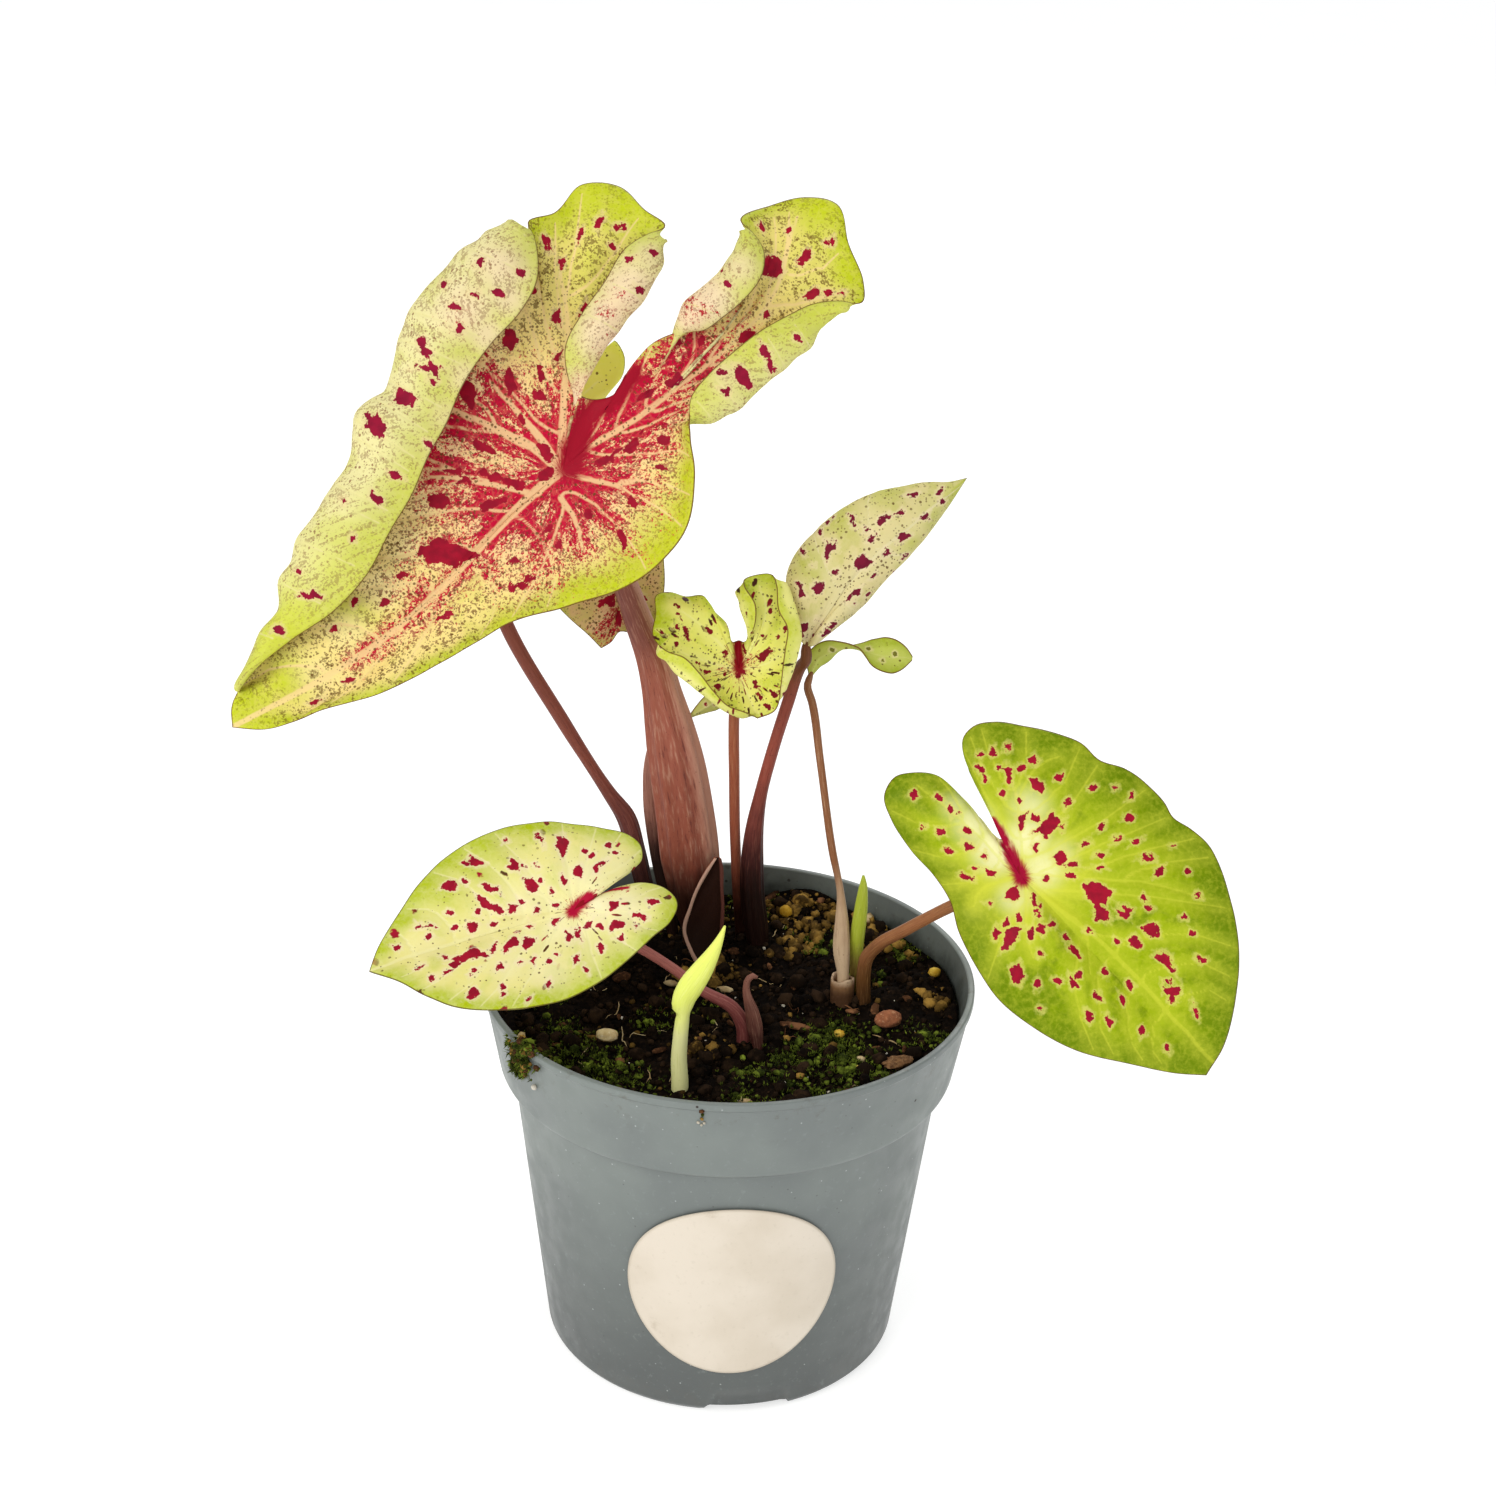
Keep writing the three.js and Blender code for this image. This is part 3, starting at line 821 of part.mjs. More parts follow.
const blades = {
  blade_large: [bladeFromSpokes(LARGE_JOINT, LARGE, 11), 0xcfae6a],
  blade_right: [bladeFromSpokes(RIGHT_JOINT, RIGHT, 5), 0xb4cc3c],
  blade_front: [bladeFromSpokes(FRONT_JOINT, FRONT, 5), 0xd2d860],
  blade_back: [bladeFromSpokes(BACK_JOINT, BACK, 4), 0xc4cc4c],
  blade_middle: [bladeFromSpokes(MIDDLE_JOINT, MIDDLE, 3), 0xd0a878],
  blade_heart: [bladeFromSpokes(HEART_JOINT, HEART, 7), 0xc4cf4a],
  blade_pointed: [bladeFromSpokes(POINTED_JOINT, POINTED, 7), 0xd2c47c],
};
const normals = {
  petiole_large: blades.blade_large[0].normal,
  petiole_right: blades.blade_right[0].normal,
  petiole_front: blades.blade_front[0].normal,
  petiole_back: blades.blade_back[0].normal,
  petiole_middle: blades.blade_middle[0].normal,
  petiole_heart: blades.blade_heart[0].normal,
};
for (const [name, [blade, color]] of Object.entries(blades)) add(name, blade.geometry, color, 0.5);
add('blade_curly', ribbonBlade(CURLY_JOINT, CURLY, 14, 4), 0xa6cc3a, 0.5);
add('blade_little', ribbonBlade(LITTLE_JOINT, LITTLE, 8, 4), 0xb0b850, 0.5);

const holes = [];
for (const [name, stem] of Object.entries(STEMS)) {
  add(name, stemGeometry(stem, normals[name]), stem.colour, 0.55);
  holes.push(stemHole(stem, normals[name]));
}
add('hood_front', hoodGeometry(), 0x9a6c5c, 0.6);
add('sheath_stump', stumpGeometry(), 0xcdb9a0, 0.7);
holes.push(hoodHole());
holes.push(new THREE.CylinderGeometry(STUMP.outer + GAP, STUMP.outer + GAP, 20, 14)
  .rotateX(Math.PI / 2).translate(STUMP.x, STUMP.y, STUMP.low + 10 - GAP));
for (const [name, tuber] of Object.entries(TUBERS)) {
  add(name, tuberGeometry(tuber), 0x6b4a32, 0.9);
  holes.push(tuberGeometry(tuber, GAP));
}
for (const [name, stone] of Object.entries(STONES)) {
  add(name, stoneGeometry(stone), name === 'pebble_white' ? 0xddd2bc : 0x8a5a42, 0.9);
}
add('soil', soilGeometry(holes), 0x2c2118, 1);
add('pot', potGeometry(), 0x7f8683, 0.6);
add('label', labelGeometry(), 0xe6ddd0, 0.7);

export default plant;
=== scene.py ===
# A young caladium in its nursery pot, dressed over the CAD frame. Lengths in the tables are
# millimetres in the frame of the part: +Z up, -Y to the front.
import math
import bpy
import numpy as np
from mathutils import Matrix, Vector


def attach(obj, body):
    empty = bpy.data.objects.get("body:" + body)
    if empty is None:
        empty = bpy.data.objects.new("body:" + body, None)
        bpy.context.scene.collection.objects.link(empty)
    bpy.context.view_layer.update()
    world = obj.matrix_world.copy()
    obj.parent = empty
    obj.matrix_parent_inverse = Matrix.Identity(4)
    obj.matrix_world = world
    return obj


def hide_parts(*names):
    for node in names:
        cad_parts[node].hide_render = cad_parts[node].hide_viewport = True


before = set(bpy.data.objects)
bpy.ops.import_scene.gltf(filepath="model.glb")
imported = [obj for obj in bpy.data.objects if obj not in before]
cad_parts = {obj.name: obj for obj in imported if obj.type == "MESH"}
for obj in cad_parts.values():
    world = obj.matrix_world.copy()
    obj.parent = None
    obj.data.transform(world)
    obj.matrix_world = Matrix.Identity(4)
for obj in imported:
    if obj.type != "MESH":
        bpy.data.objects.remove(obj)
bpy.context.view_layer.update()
MM = 0.001
CIRCLE = 2 * np.pi


def table(text):
    """Rows of numbers, with ; between the rows."""
    return [[float(n) for n in row.split()] for row in text.split(";") if row.strip()]


def pairs(numbers):
    return [numbers[k:k + 2] for k in range(0, len(numbers), 2)]


# ------------------------------------------------------------------ camera, light and floor
PITCH, ROLL = math.radians(24.5), math.radians(1.75)
AIM, DISTANCE = np.array([3, 0, 158]), 610
FORWARD = np.array([0, math.cos(PITCH), -math.sin(PITCH)])
LEVEL_UP = np.array([0, math.sin(PITCH), math.cos(PITCH)])
LEVEL_RIGHT = np.array([1.0, 0, 0])
RIGHT = math.cos(ROLL) * LEVEL_RIGHT + math.sin(ROLL) * LEVEL_UP
UP = -math.sin(ROLL) * LEVEL_RIGHT + math.cos(ROLL) * LEVEL_UP
# The leaves' tables are drawn in these axes: right, up and towards the viewer of the photograph.
LEAF_AXES = np.stack([RIGHT, UP, -FORWARD])


def add_object(name, data):
    made = bpy.data.objects.new(name, data)
    bpy.context.collection.objects.link(made)
    return made


def make_camera():
    data = bpy.data.cameras.new("camera")
    data.sensor_width, data.lens, data.clip_start = 36, 62.4, 0.01
    camera = add_object("camera", data)
    axes = Matrix(LEAF_AXES.tolist()).transposed().to_4x4()
    camera.matrix_world = Matrix.Translation(Vector((AIM - DISTANCE * FORWARD) * MM)) @ axes
    bpy.context.scene.camera = camera


def area_light(name, place, size, power, colour=(1, 1, 1), aim=(0, 0, 0.13)):
    data = bpy.data.lights.new(name, "AREA")
    data.shape, data.size, data.energy, data.color = "DISK", size, power, colour
    light = add_object(name, data)
    light.location = place
    light.rotation_euler = (Vector(aim) - Vector(place)).to_track_quat("-Z", "Y").to_euler()


def make_light():
    world = bpy.data.worlds.new("world")
    world.use_nodes = True
    sky = world.node_tree.nodes["Background"].inputs
    sky["Color"].default_value = (0.97, 0.985, 1, 1)
    sky["Strength"].default_value = 0.62
    bpy.context.scene.world = world
    area_light("key", (-0.75, -0.95, 1.0), 1.0, 11.2, (1, 0.985, 0.95))
    area_light("fill", (0.55, -1.3, 0.75), 1.0, 3.2, (0.99, 0.99, 1))
    area_light("rear", (0.3, 1.1, 1.1), 0.8, 6)
    bpy.context.scene.view_settings.view_transform = "Standard"
    bpy.context.scene.view_settings.exposure = 0


# ------------------------------------------------------------------ shaders
def rgb(text):
    """Linear colour of an sRGB hex string."""
    parts = [int(text[i:i + 2], 16) / 255 for i in (0, 2, 4)]
    return (*[c / 12.92 if c <= 0.04045 else ((c + 0.055) / 1.055) ** 2.4 for c in parts], 1)


class Value:
    """A node's output that + and * work on."""

    def __init__(self, shader, socket):
        self.shader, self.socket = shader, socket

    def __add__(self, other):
        return self.shader.math("ADD", self, other)

    def __sub__(self, number):
        return self + -number

    def __mul__(self, other):
        return self.shader.math("MULTIPLY", self, other)


class Shader:
    """A Principled material painted coat by coat, and short words for the nodes that feed it."""

    def __init__(self, name, colour, roughness, gloss):
        self.mat = bpy.data.materials.new(name)
        self.mat.use_nodes = True
        self.tree = self.mat.node_tree
        self.main = self.tree.nodes["Principled BSDF"]
        self.colour = colour
        self.set("Roughness", roughness)
        self.set("Specular IOR Level", gloss)
        self.place = self.get("ShaderNodeTexCoord", "Object")

    def node(self, kind, sockets=None, **props):
        made = self.tree.nodes.new(kind)
        for key, value in props.items():
            setattr(made, key, value)
        for key, value in (sockets or {}).items():
            self.feed(made.inputs[key], value)
        return made

    def get(self, kind, out, sockets=None, **props):
        return Value(self, self.node(kind, sockets, **props).outputs[out])

    def feed(self, socket, value):
        if isinstance(value, Value):
            self.tree.links.new(value.socket, socket)
        else:
            socket.default_value = rgb(value) if isinstance(value, str) else value

    def set(self, name, value):
        self.feed(self.main.inputs[name], value)

    def attribute(self, name, out="Fac"):
        return self.get("ShaderNodeAttribute", out, attribute_name=name)

    def texture(self, vector, scale, detail=3.0, rough=0.5, out="Fac"):
        return self.get("ShaderNodeTexNoise", out, {
            "Vector": vector, "Scale": scale, "Detail": detail, "Roughness": rough})

    def noise(self, size, *looks, **more):
        """Noise with features of about that size in millimetres."""
        return self.texture(self.place, 1000 / size, *looks, **more)

    def voronoi(self, vector, scale, out="Distance", feature="F1"):
        return self.get("ShaderNodeTexVoronoi", out, {"Vector": vector, "Scale": scale},
                        feature=feature)

    def cells(self, size, out="Distance"):
        return self.voronoi(self.place, 1000 / size, out)

    def math(self, kind, a, b):
        return self.get("ShaderNodeMath", 0, {0: a, 1: b}, operation=kind)

    def smooth(self, value, low, high, start=0.0, end=1.0):
        """start below low, end above high, and a soft step between them."""
        if low > high:
            low, high, start, end = high, low, end, start
        return self.get("ShaderNodeMapRange", "Result", {
            "Value": value, "From Min": low, "From Max": high, "To Min": start, "To Max": end},
            interpolation_type="SMOOTHSTEP")

    def mix(self, share, a, b):
        made = self.node("ShaderNodeMix", data_type="RGBA")
        sockets = {s.identifier: s for s in [*made.inputs, *made.outputs]}
        for key, value in (("Factor_Float", share), ("A_Color", a), ("B_Color", b)):
            self.feed(sockets[key], value)
        return Value(self, sockets["Result_Color"])

    def paint(self, share, colour):
        """Lays a colour over what is there."""
        self.colour = self.mix(share, self.colour, colour)

    def done(self, *bumps):
        """Closes the material; a bump is a height, its depth in millimetres and its strength."""
        self.set("Base Color", self.colour)
        for height, depth, strength in bumps:
            made = self.node("ShaderNodeBump", {
                "Height": height, "Distance": depth * MM, "Strength": strength})
            for link in list(self.main.inputs["Normal"].links):
                self.tree.links.new(link.from_socket, made.inputs["Normal"])
            self.set("Normal", Value(self, made.outputs["Normal"]))
        return self.mat


# ------------------------------------------------------------------ mesh helpers
def piece(name, vertices, faces, materials, node, fields=None, which=None):
    """A smooth mesh object from millimetre points, riding on the part."""
    mesh = bpy.data.meshes.new(name)
    mesh.from_pydata((np.asarray(vertices) * MM).tolist(), [], [list(map(int, f)) for f in faces])
    for material in materials:
        mesh.materials.append(material)
    mesh.polygons.foreach_set("use_smooth", np.ones(len(mesh.polygons), dtype=bool))
    if which is not None:
        mesh.polygons.foreach_set("material_index", np.asarray(which, dtype=np.int32))
    for key, values in (fields or {}).items():
        values = np.asarray(values, dtype=np.float32)
        kind, word = ("FLOAT", "value") if values.ndim == 1 else ("FLOAT_VECTOR", "vector")
        mesh.attributes.new(key, kind, "POINT").data.foreach_set(word, values.ravel())
    mesh.update()
    made = add_object(name, mesh)
    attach(made, "root")
    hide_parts(node)


def spline(rows, knots, t):
    """Cubic Hermite curve through rows at uneven knots, for an array of t."""
    rows, knots = np.asarray(rows, float), np.asarray(knots, float)
    shape = (-1,) + (1,) * (rows.ndim - 1)
    gap = np.diff(knots).reshape(shape)
    slope = np.diff(rows, axis=0) / gap
    tangent = np.empty_like(rows)
    tangent[1:-1] = (gap[1:] * slope[:-1] + gap[:-1] * slope[1:]) / (gap[1:] + gap[:-1])
    tangent[0], tangent[-1] = slope[0], slope[-1]
    i = np.clip(np.searchsorted(knots, t, side="right") - 1, 0, len(knots) - 2)
    h = gap[i]
    u = (t - knots[i]).reshape(shape) / h
    return ((2 * u**3 - 3 * u**2 + 1) * rows[i] + (u**3 - 2 * u**2 + u) * h * tangent[i]
            + (3 * u**2 - 2 * u**3) * rows[i + 1] + (u**3 - u**2) * h * tangent[i + 1])


def chords(rows, least=1e-3):
    steps = np.linalg.norm(np.diff(np.asarray(rows, float)[:, :3], axis=0), axis=1)
    return np.r_[0, np.cumsum(np.maximum(steps, least))]


def along(rows, count):
    """That many points at even steps of arc length along a spline."""
    knots = chords(rows)
    dense = spline(rows, knots, np.linspace(0, knots[-1], 400))
    length = chords(dense, 0)
    target = np.linspace(0, 1, count) * length[-1]
    return np.stack([np.interp(target, length, dense[:, c]) for c in range(dense.shape[1])], -1)


def unit(v):
    size = np.linalg.norm(v, axis=-1, keepdims=True)
    return v / np.where(size < 1e-9, 1, size)


def circle(count):
    return np.linspace(0, CIRCLE, count, endpoint=False)


def ring(x, y, rx, ry, z, turn):
    """Points of an ellipse round x, y at height z."""
    return np.stack([x + rx * np.cos(turn), y + ry * np.sin(turn), z * np.ones_like(turn)], -1)


def band(start, sides):
    """Quads between the ring of points from start on and the ring after it."""
    j = np.arange(sides)
    right = (j + 1) % sides
    low, high = start, start + sides
    return np.stack([low + j, low + right, high + right, high + j], -1).tolist()


def closed_loft(rings):
    """Vertices and faces of rings joined into a closed body with fanned ends."""
    count, sides = rings.shape[:2]
    vertices = np.vstack([rings.reshape(-1, 3), rings[0].mean(0), rings[-1].mean(0)])
    j = np.arange(sides)
    right = (j + 1) % sides
    faces = [f for i in range(count - 1) for f in band(i * sides, sides)]
    end = (count - 1) * sides
    faces += np.stack([right, j, np.full(sides, count * sides)], -1).tolist()
    faces += np.stack([end + j, end + right, np.full(sides, count * sides + 1)], -1).tolist()
    return vertices, faces


def rings_along(path, sides, width, depth):
    """Rings square to a path, the first axis starting along X and carried without twist."""
    centre = path[:, :3]
    tangent = unit(np.vstack([centre[1:], centre[-1:]]) - np.vstack([centre[:1], centre[:-1]]))
    across, frames = LEVEL_RIGHT, []
    for t in tangent:
        across = across - t * (across @ t)
        across = across / np.linalg.norm(across)
        frames.append(across)
    across = np.array(frames)
    deep, angle = np.cross(tangent, across), circle(sides)
    return (centre[:, None] + across[:, None] * (width * np.cos(angle))[..., None]
            + deep[:, None] * (depth * np.sin(angle))[..., None])


class Ripple:
    """Smooth random relief: value noise on a lattice of the given pitch, seeded."""

    def __init__(self, seed):
        self.table = np.random.default_rng(seed).random((64, 64))

    def one(self, x, y):
        i, j = np.floor(x).astype(int), np.floor(y).astype(int)
        u, v = x - i, y - j
        u, v = u * u * (3 - 2 * u), v * v * (3 - 2 * v)
        t = self.table
        a, b = t[i % 64, j % 64], t[(i + 1) % 64, j % 64]
        c, d = t[i % 64, (j + 1) % 64], t[(i + 1) % 64, (j + 1) % 64]
        return (a * (1 - u) + b * u) * (1 - v) + (c * (1 - u) + d * u) * v - 0.5

    def __call__(self, x, y, size, octaves=3):
        total, gain = 0.0, 1.0
        for k in range(octaves):
            total = total + gain * self.one(x / size + 7.3 * k, y / size + 3.1 * k)
            size, gain = size / 2.1, gain * 0.5
        return total


# ------------------------------------------------------------------ leaf surfaces
def rolled(x, y, fx, fy, ex, ey, base, rise):
    """The end of a spoke that enters a fold at x, y and turns back over the blade to ex, ey."""
    def at(share, height):
        return [fx + share * (ex - fx), fy + share * (ey - fy), height]
    return [[x, y, base], at(0.22, base + 0.08 * rise), [fx, fy, base + 0.5 * rise],
            at(0.45, base + rise), [ex, ey, base + 0.8 * rise]]


def spokes(text):
    """Closed fan of spokes: a row is x, y, z of each point, and may end in what rolled takes."""
    fan = []
    for row in table(text):
        plain = len(row) - (8 if len(row) % 3 else 0)
        middle = [row[k:k + 3] for k in range(0, plain, 3)]
        fan.append(middle + (rolled(*row[plain:]) if len(row) % 3 else []))
    return fan + fan[:1]


def arched(text, arch):
    """Closed fan of a nearly flat blade from its outline: x, y, z and the share of the arch."""
    fan = []
    for x, y, z, *share in table(text):
        height = (share[0] if share else 1) * arch * math.hypot(x, y)
        middle = [[x * u, y * u, z * u * u + height * math.sin(math.pi * u)] for u in (0.35, 0.7)]
        fan.append([*middle, [x, y, z]])
    return fan + fan[:1]


FACE_NORMALS = {}
FAR = 9.0  # a distance at which blotches and veins no longer show


class Blade:
    """The middle surface of a leaf as a grid of rows (joint to margin) by columns (round it)."""

    def __init__(self, name, joint, fan, rows, spacing, ripple, thickness):
        self.name, self.joint, self.thickness = name, np.array(joint, float), thickness
        lines = np.array([along([[0, 0, 0], *s], rows + 1) for s in fan])
        self.knots = chords(lines[:, -1], 1.5)
        count = int(self.knots[-1] / spacing)
        self.t = np.linspace(0, self.knots[-1], count, endpoint=False)
        self.grid = spline(lines, self.knots, self.t).transpose(1, 0, 2)
        self.rows, self.count = rows, count
        self.refresh()
        waves = Ripple(len(name) + rows)
        calm = np.clip(np.linspace(0, 1, rows + 1) * 4, 0, 1)[:, None]
        height = ripple * calm * waves(self.grid[..., 0] + 99, self.grid[..., 1] + 99, 11, 2)
        height = height * np.where(self.normal[..., 2] * self.facing > 0.2, 1, 0.35)
        self.grid += self.normal * height[..., None]
        reach = np.linalg.norm(np.diff(self.grid, axis=0), axis=-1)
        self.field = {
            "blot": np.full(self.grid.shape[:2], FAR), "vein": np.full(self.grid.shape[:2], FAR),
            "edge": np.vstack([np.cumsum(reach[::-1], axis=0)[::-1], np.zeros((1, count))]),
            "span": np.vstack([np.zeros((1, count)), np.cumsum(reach, axis=0)])}
        turn = np.arctan2(self.grid[..., 1], self.grid[..., 0])
        polar = [9 * np.cos(turn), 9 * np.sin(turn), 0.22 * self.field["span"]]
        self.field["polar"] = np.stack(polar, -1)

    def refresh(self):
        out = np.gradient(self.grid, axis=0)
        side = np.roll(self.grid, -1, axis=1) - np.roll(self.grid, 1, axis=1)
        self.normal = unit(np.cross(side, out))
        self.normal[0] = unit(self.normal[1].mean(axis=0))
        self.out = unit(out)

    @property
    def facing(self):
        return 1 if np.median(self.normal[..., 2]) > 0 else -1

    def find(self, x, y, turned=False):
        """Row and column of the grid point nearest to x, y on the face or on what is turned
        over it."""
        far = np.hypot(self.grid[..., 0] - x, self.grid[..., 1] - y)
        front = self.normal[..., 2] * self.facing > 0.05
        return np.unravel_index(np.argmin(far + 99 * (front == turned)), far.shape)

    def path(self, places, count):
        """Grid points along a curve through x, y places on the face."""
        curve = along([[x, y, 0] for x, y in places], count)
        return np.array([self.grid[self.find(x, y)] for x, y, _ in curve])

    def beside(self, points):
        """For each stretch between points: how far along it and how far from it the grid is."""
        for k, (a, b) in enumerate(zip(points[:-1], points[1:])):
            d = b - a
            u = np.clip(((self.grid - a) @ d) / max(d @ d, 1e-9), 0, 1)
            yield k, u, np.linalg.norm(self.grid - a - u[..., None] * d, axis=-1)

    def blots(self, spots, turned=False):
        """Angular blotches: x, y, half the width and, for a long one, how much longer than
        wide."""
        chance = np.random.default_rng(len(spots))
        for x, y, size, *stretch in spots:
            i, j = self.find(x, y, turned)
            gap = self.grid - self.grid[i, j]
            ahead, over = self.out[i, j], self.normal[i, j]
            u, v = gap @ ahead, gap @ np.cross(over, ahead)
            u = u / (stretch[0] if stretch else chance.uniform(1, 1.7))
            far = np.abs(gap @ over) - 2.2
            sides = chance.integers(4, 7)
            for k in range(sides):
                turn = (k + chance.uniform(-0.32, 0.32)) * 2 * np.pi / sides
                reach = size * chance.uniform(0.45, 1.05)
                far = np.maximum(far, u * np.cos(turn) + v * np.sin(turn) - reach)
            self.field["blot"] = np.minimum(self.field["blot"], far)

    def raise_field(self, key, values):
        self.field[key] = np.maximum(self.field.get(key, 0.0), values)

    def clouds(self, fields, turned=False):
        """Soft fields by name: x, y, radius and strength of each cloud."""
        for key, text in fields.items():
            for x, y, radius, strength in table(text):
                i, j = self.find(x, y, turned)
                far = np.linalg.norm(self.grid - self.grid[i, j], axis=-1)
                same = np.clip(self.normal @ self.normal[i, j] * 2.5 + 0.2, 0, 1)
                self.raise_field(key, strength * same * np.exp(-(far / radius)**2))

    def trail(self, key, start, end, strength, *path):
        """A soft field along x, y places, its width going from start to end."""
        for k, u, far in self.beside(self.path(pairs(path), 12)):
            wide = start + (k + u) / 11 * (end - start)
            self.raise_field(key, strength * np.exp(-(far / wide)**2))

    def line(self, points, start, end):
        """Marks a vein along 3-D points, tapering from half width start to end."""
        best, length = self.field["vein"], chords(points)
        for k, u, far in self.beside(points):
            share = (length[k] + u * (length[k + 1] - length[k])) / length[-1]
            best = np.minimum(best, far - (start + share * (end - start)))
        self.field["vein"] = best

    def side_vein(self, x, y, spoke, start, end, until=0.96):
        """A side vein that leaves a rib at x, y and bends into a spoke towards the margin."""
        root = self.grid[self.find(x, y)]
        aim = np.interp(spoke, range(len(self.knots)), self.knots)
        line = self.grid[:, int(np.argmin(np.abs(self.t - aim)))]
        first = np.argmin(np.linalg.norm(line - root, axis=-1))
        steps = np.linspace(0, 1, 16)
        rows = np.rint(first + (until * self.rows - first) * steps).astype(int)
        share = np.clip(steps * 1.6, 0, 1)**0.7
        path = root * (1 - share)[:, None] + line[np.clip(rows, 0, self.rows)] * share[:, None]
        flat = self.grid.reshape(-1, 3)
        self.line(np.array([flat[np.argmin(((flat - p)**2).sum(-1))] for p in path]), start, end)

    def emboss(self, depth, width):
        """Sinks the veins a little below the face between them."""
        rise = depth * (1 - np.exp(-(np.maximum(self.field["vein"], 0) / width)**2))
        fade = np.clip(self.field["span"] / 3, 0, 1) * np.clip(self.field["edge"] / 3, 0, 1)
        self.grid = self.grid + self.normal * (rise * fade)[..., None]
        self.refresh()

    def scatter(self, count, seed, size):
        """Blotches at random places of the blade."""
        dice = np.random.default_rng(seed)
        rows = (dice.random(count)**0.6 * (self.rows - 4)).astype(int) + 2
        places = self.grid[rows, dice.integers(0, self.count, count), :2]
        radius = size * (0.6 + 0.9 * dice.random(count))
        return [[x, y, r, 1 + 1.2 * dice.random()] for (x, y), r in zip(places, radius)]

    def build(self, skins, node):
        def once(values):
            """Values of the grid with the joint's row as one point."""
            return np.concatenate([values[0, :1], values[1:].reshape(-1, *values.shape[2:])])
        half = self.thickness / 2
        thin = half * np.clip(0.45 + self.field["edge"] / 1.5, 0, 1)[..., None]
        faces = [once(self.grid + self.normal * sign * thin) for sign in (1, -1)]
        vertices, total, n = np.vstack(faces), len(faces[0]), self.count
        j = np.arange(n)
        right = (j + 1) % n
        top = np.stack([np.zeros(n, int), 1 + right, 1 + j], -1).tolist()
        for i in range(self.rows - 1):
            top += band(1 + i * n, n)
        edge = 1 + (self.rows - 1) * n
        rim = np.stack([edge + j, edge + right, edge + right + total, edge + j + total], -1)
        faces = top + [[k + total for k in f[::-1]] for f in top] + rim.tolist()
        which = [0] * len(top) + [1] * len(top) + [0] * n
        FACE_NORMALS["petiole_" + node[6:]] = self.normal[0, 0]
        fields = {key: np.concatenate([once(v), once(v)]) for key, v in self.field.items()}
        piece(self.name, self.joint + vertices @ LEAF_AXES, faces, skins, node, fields, which)


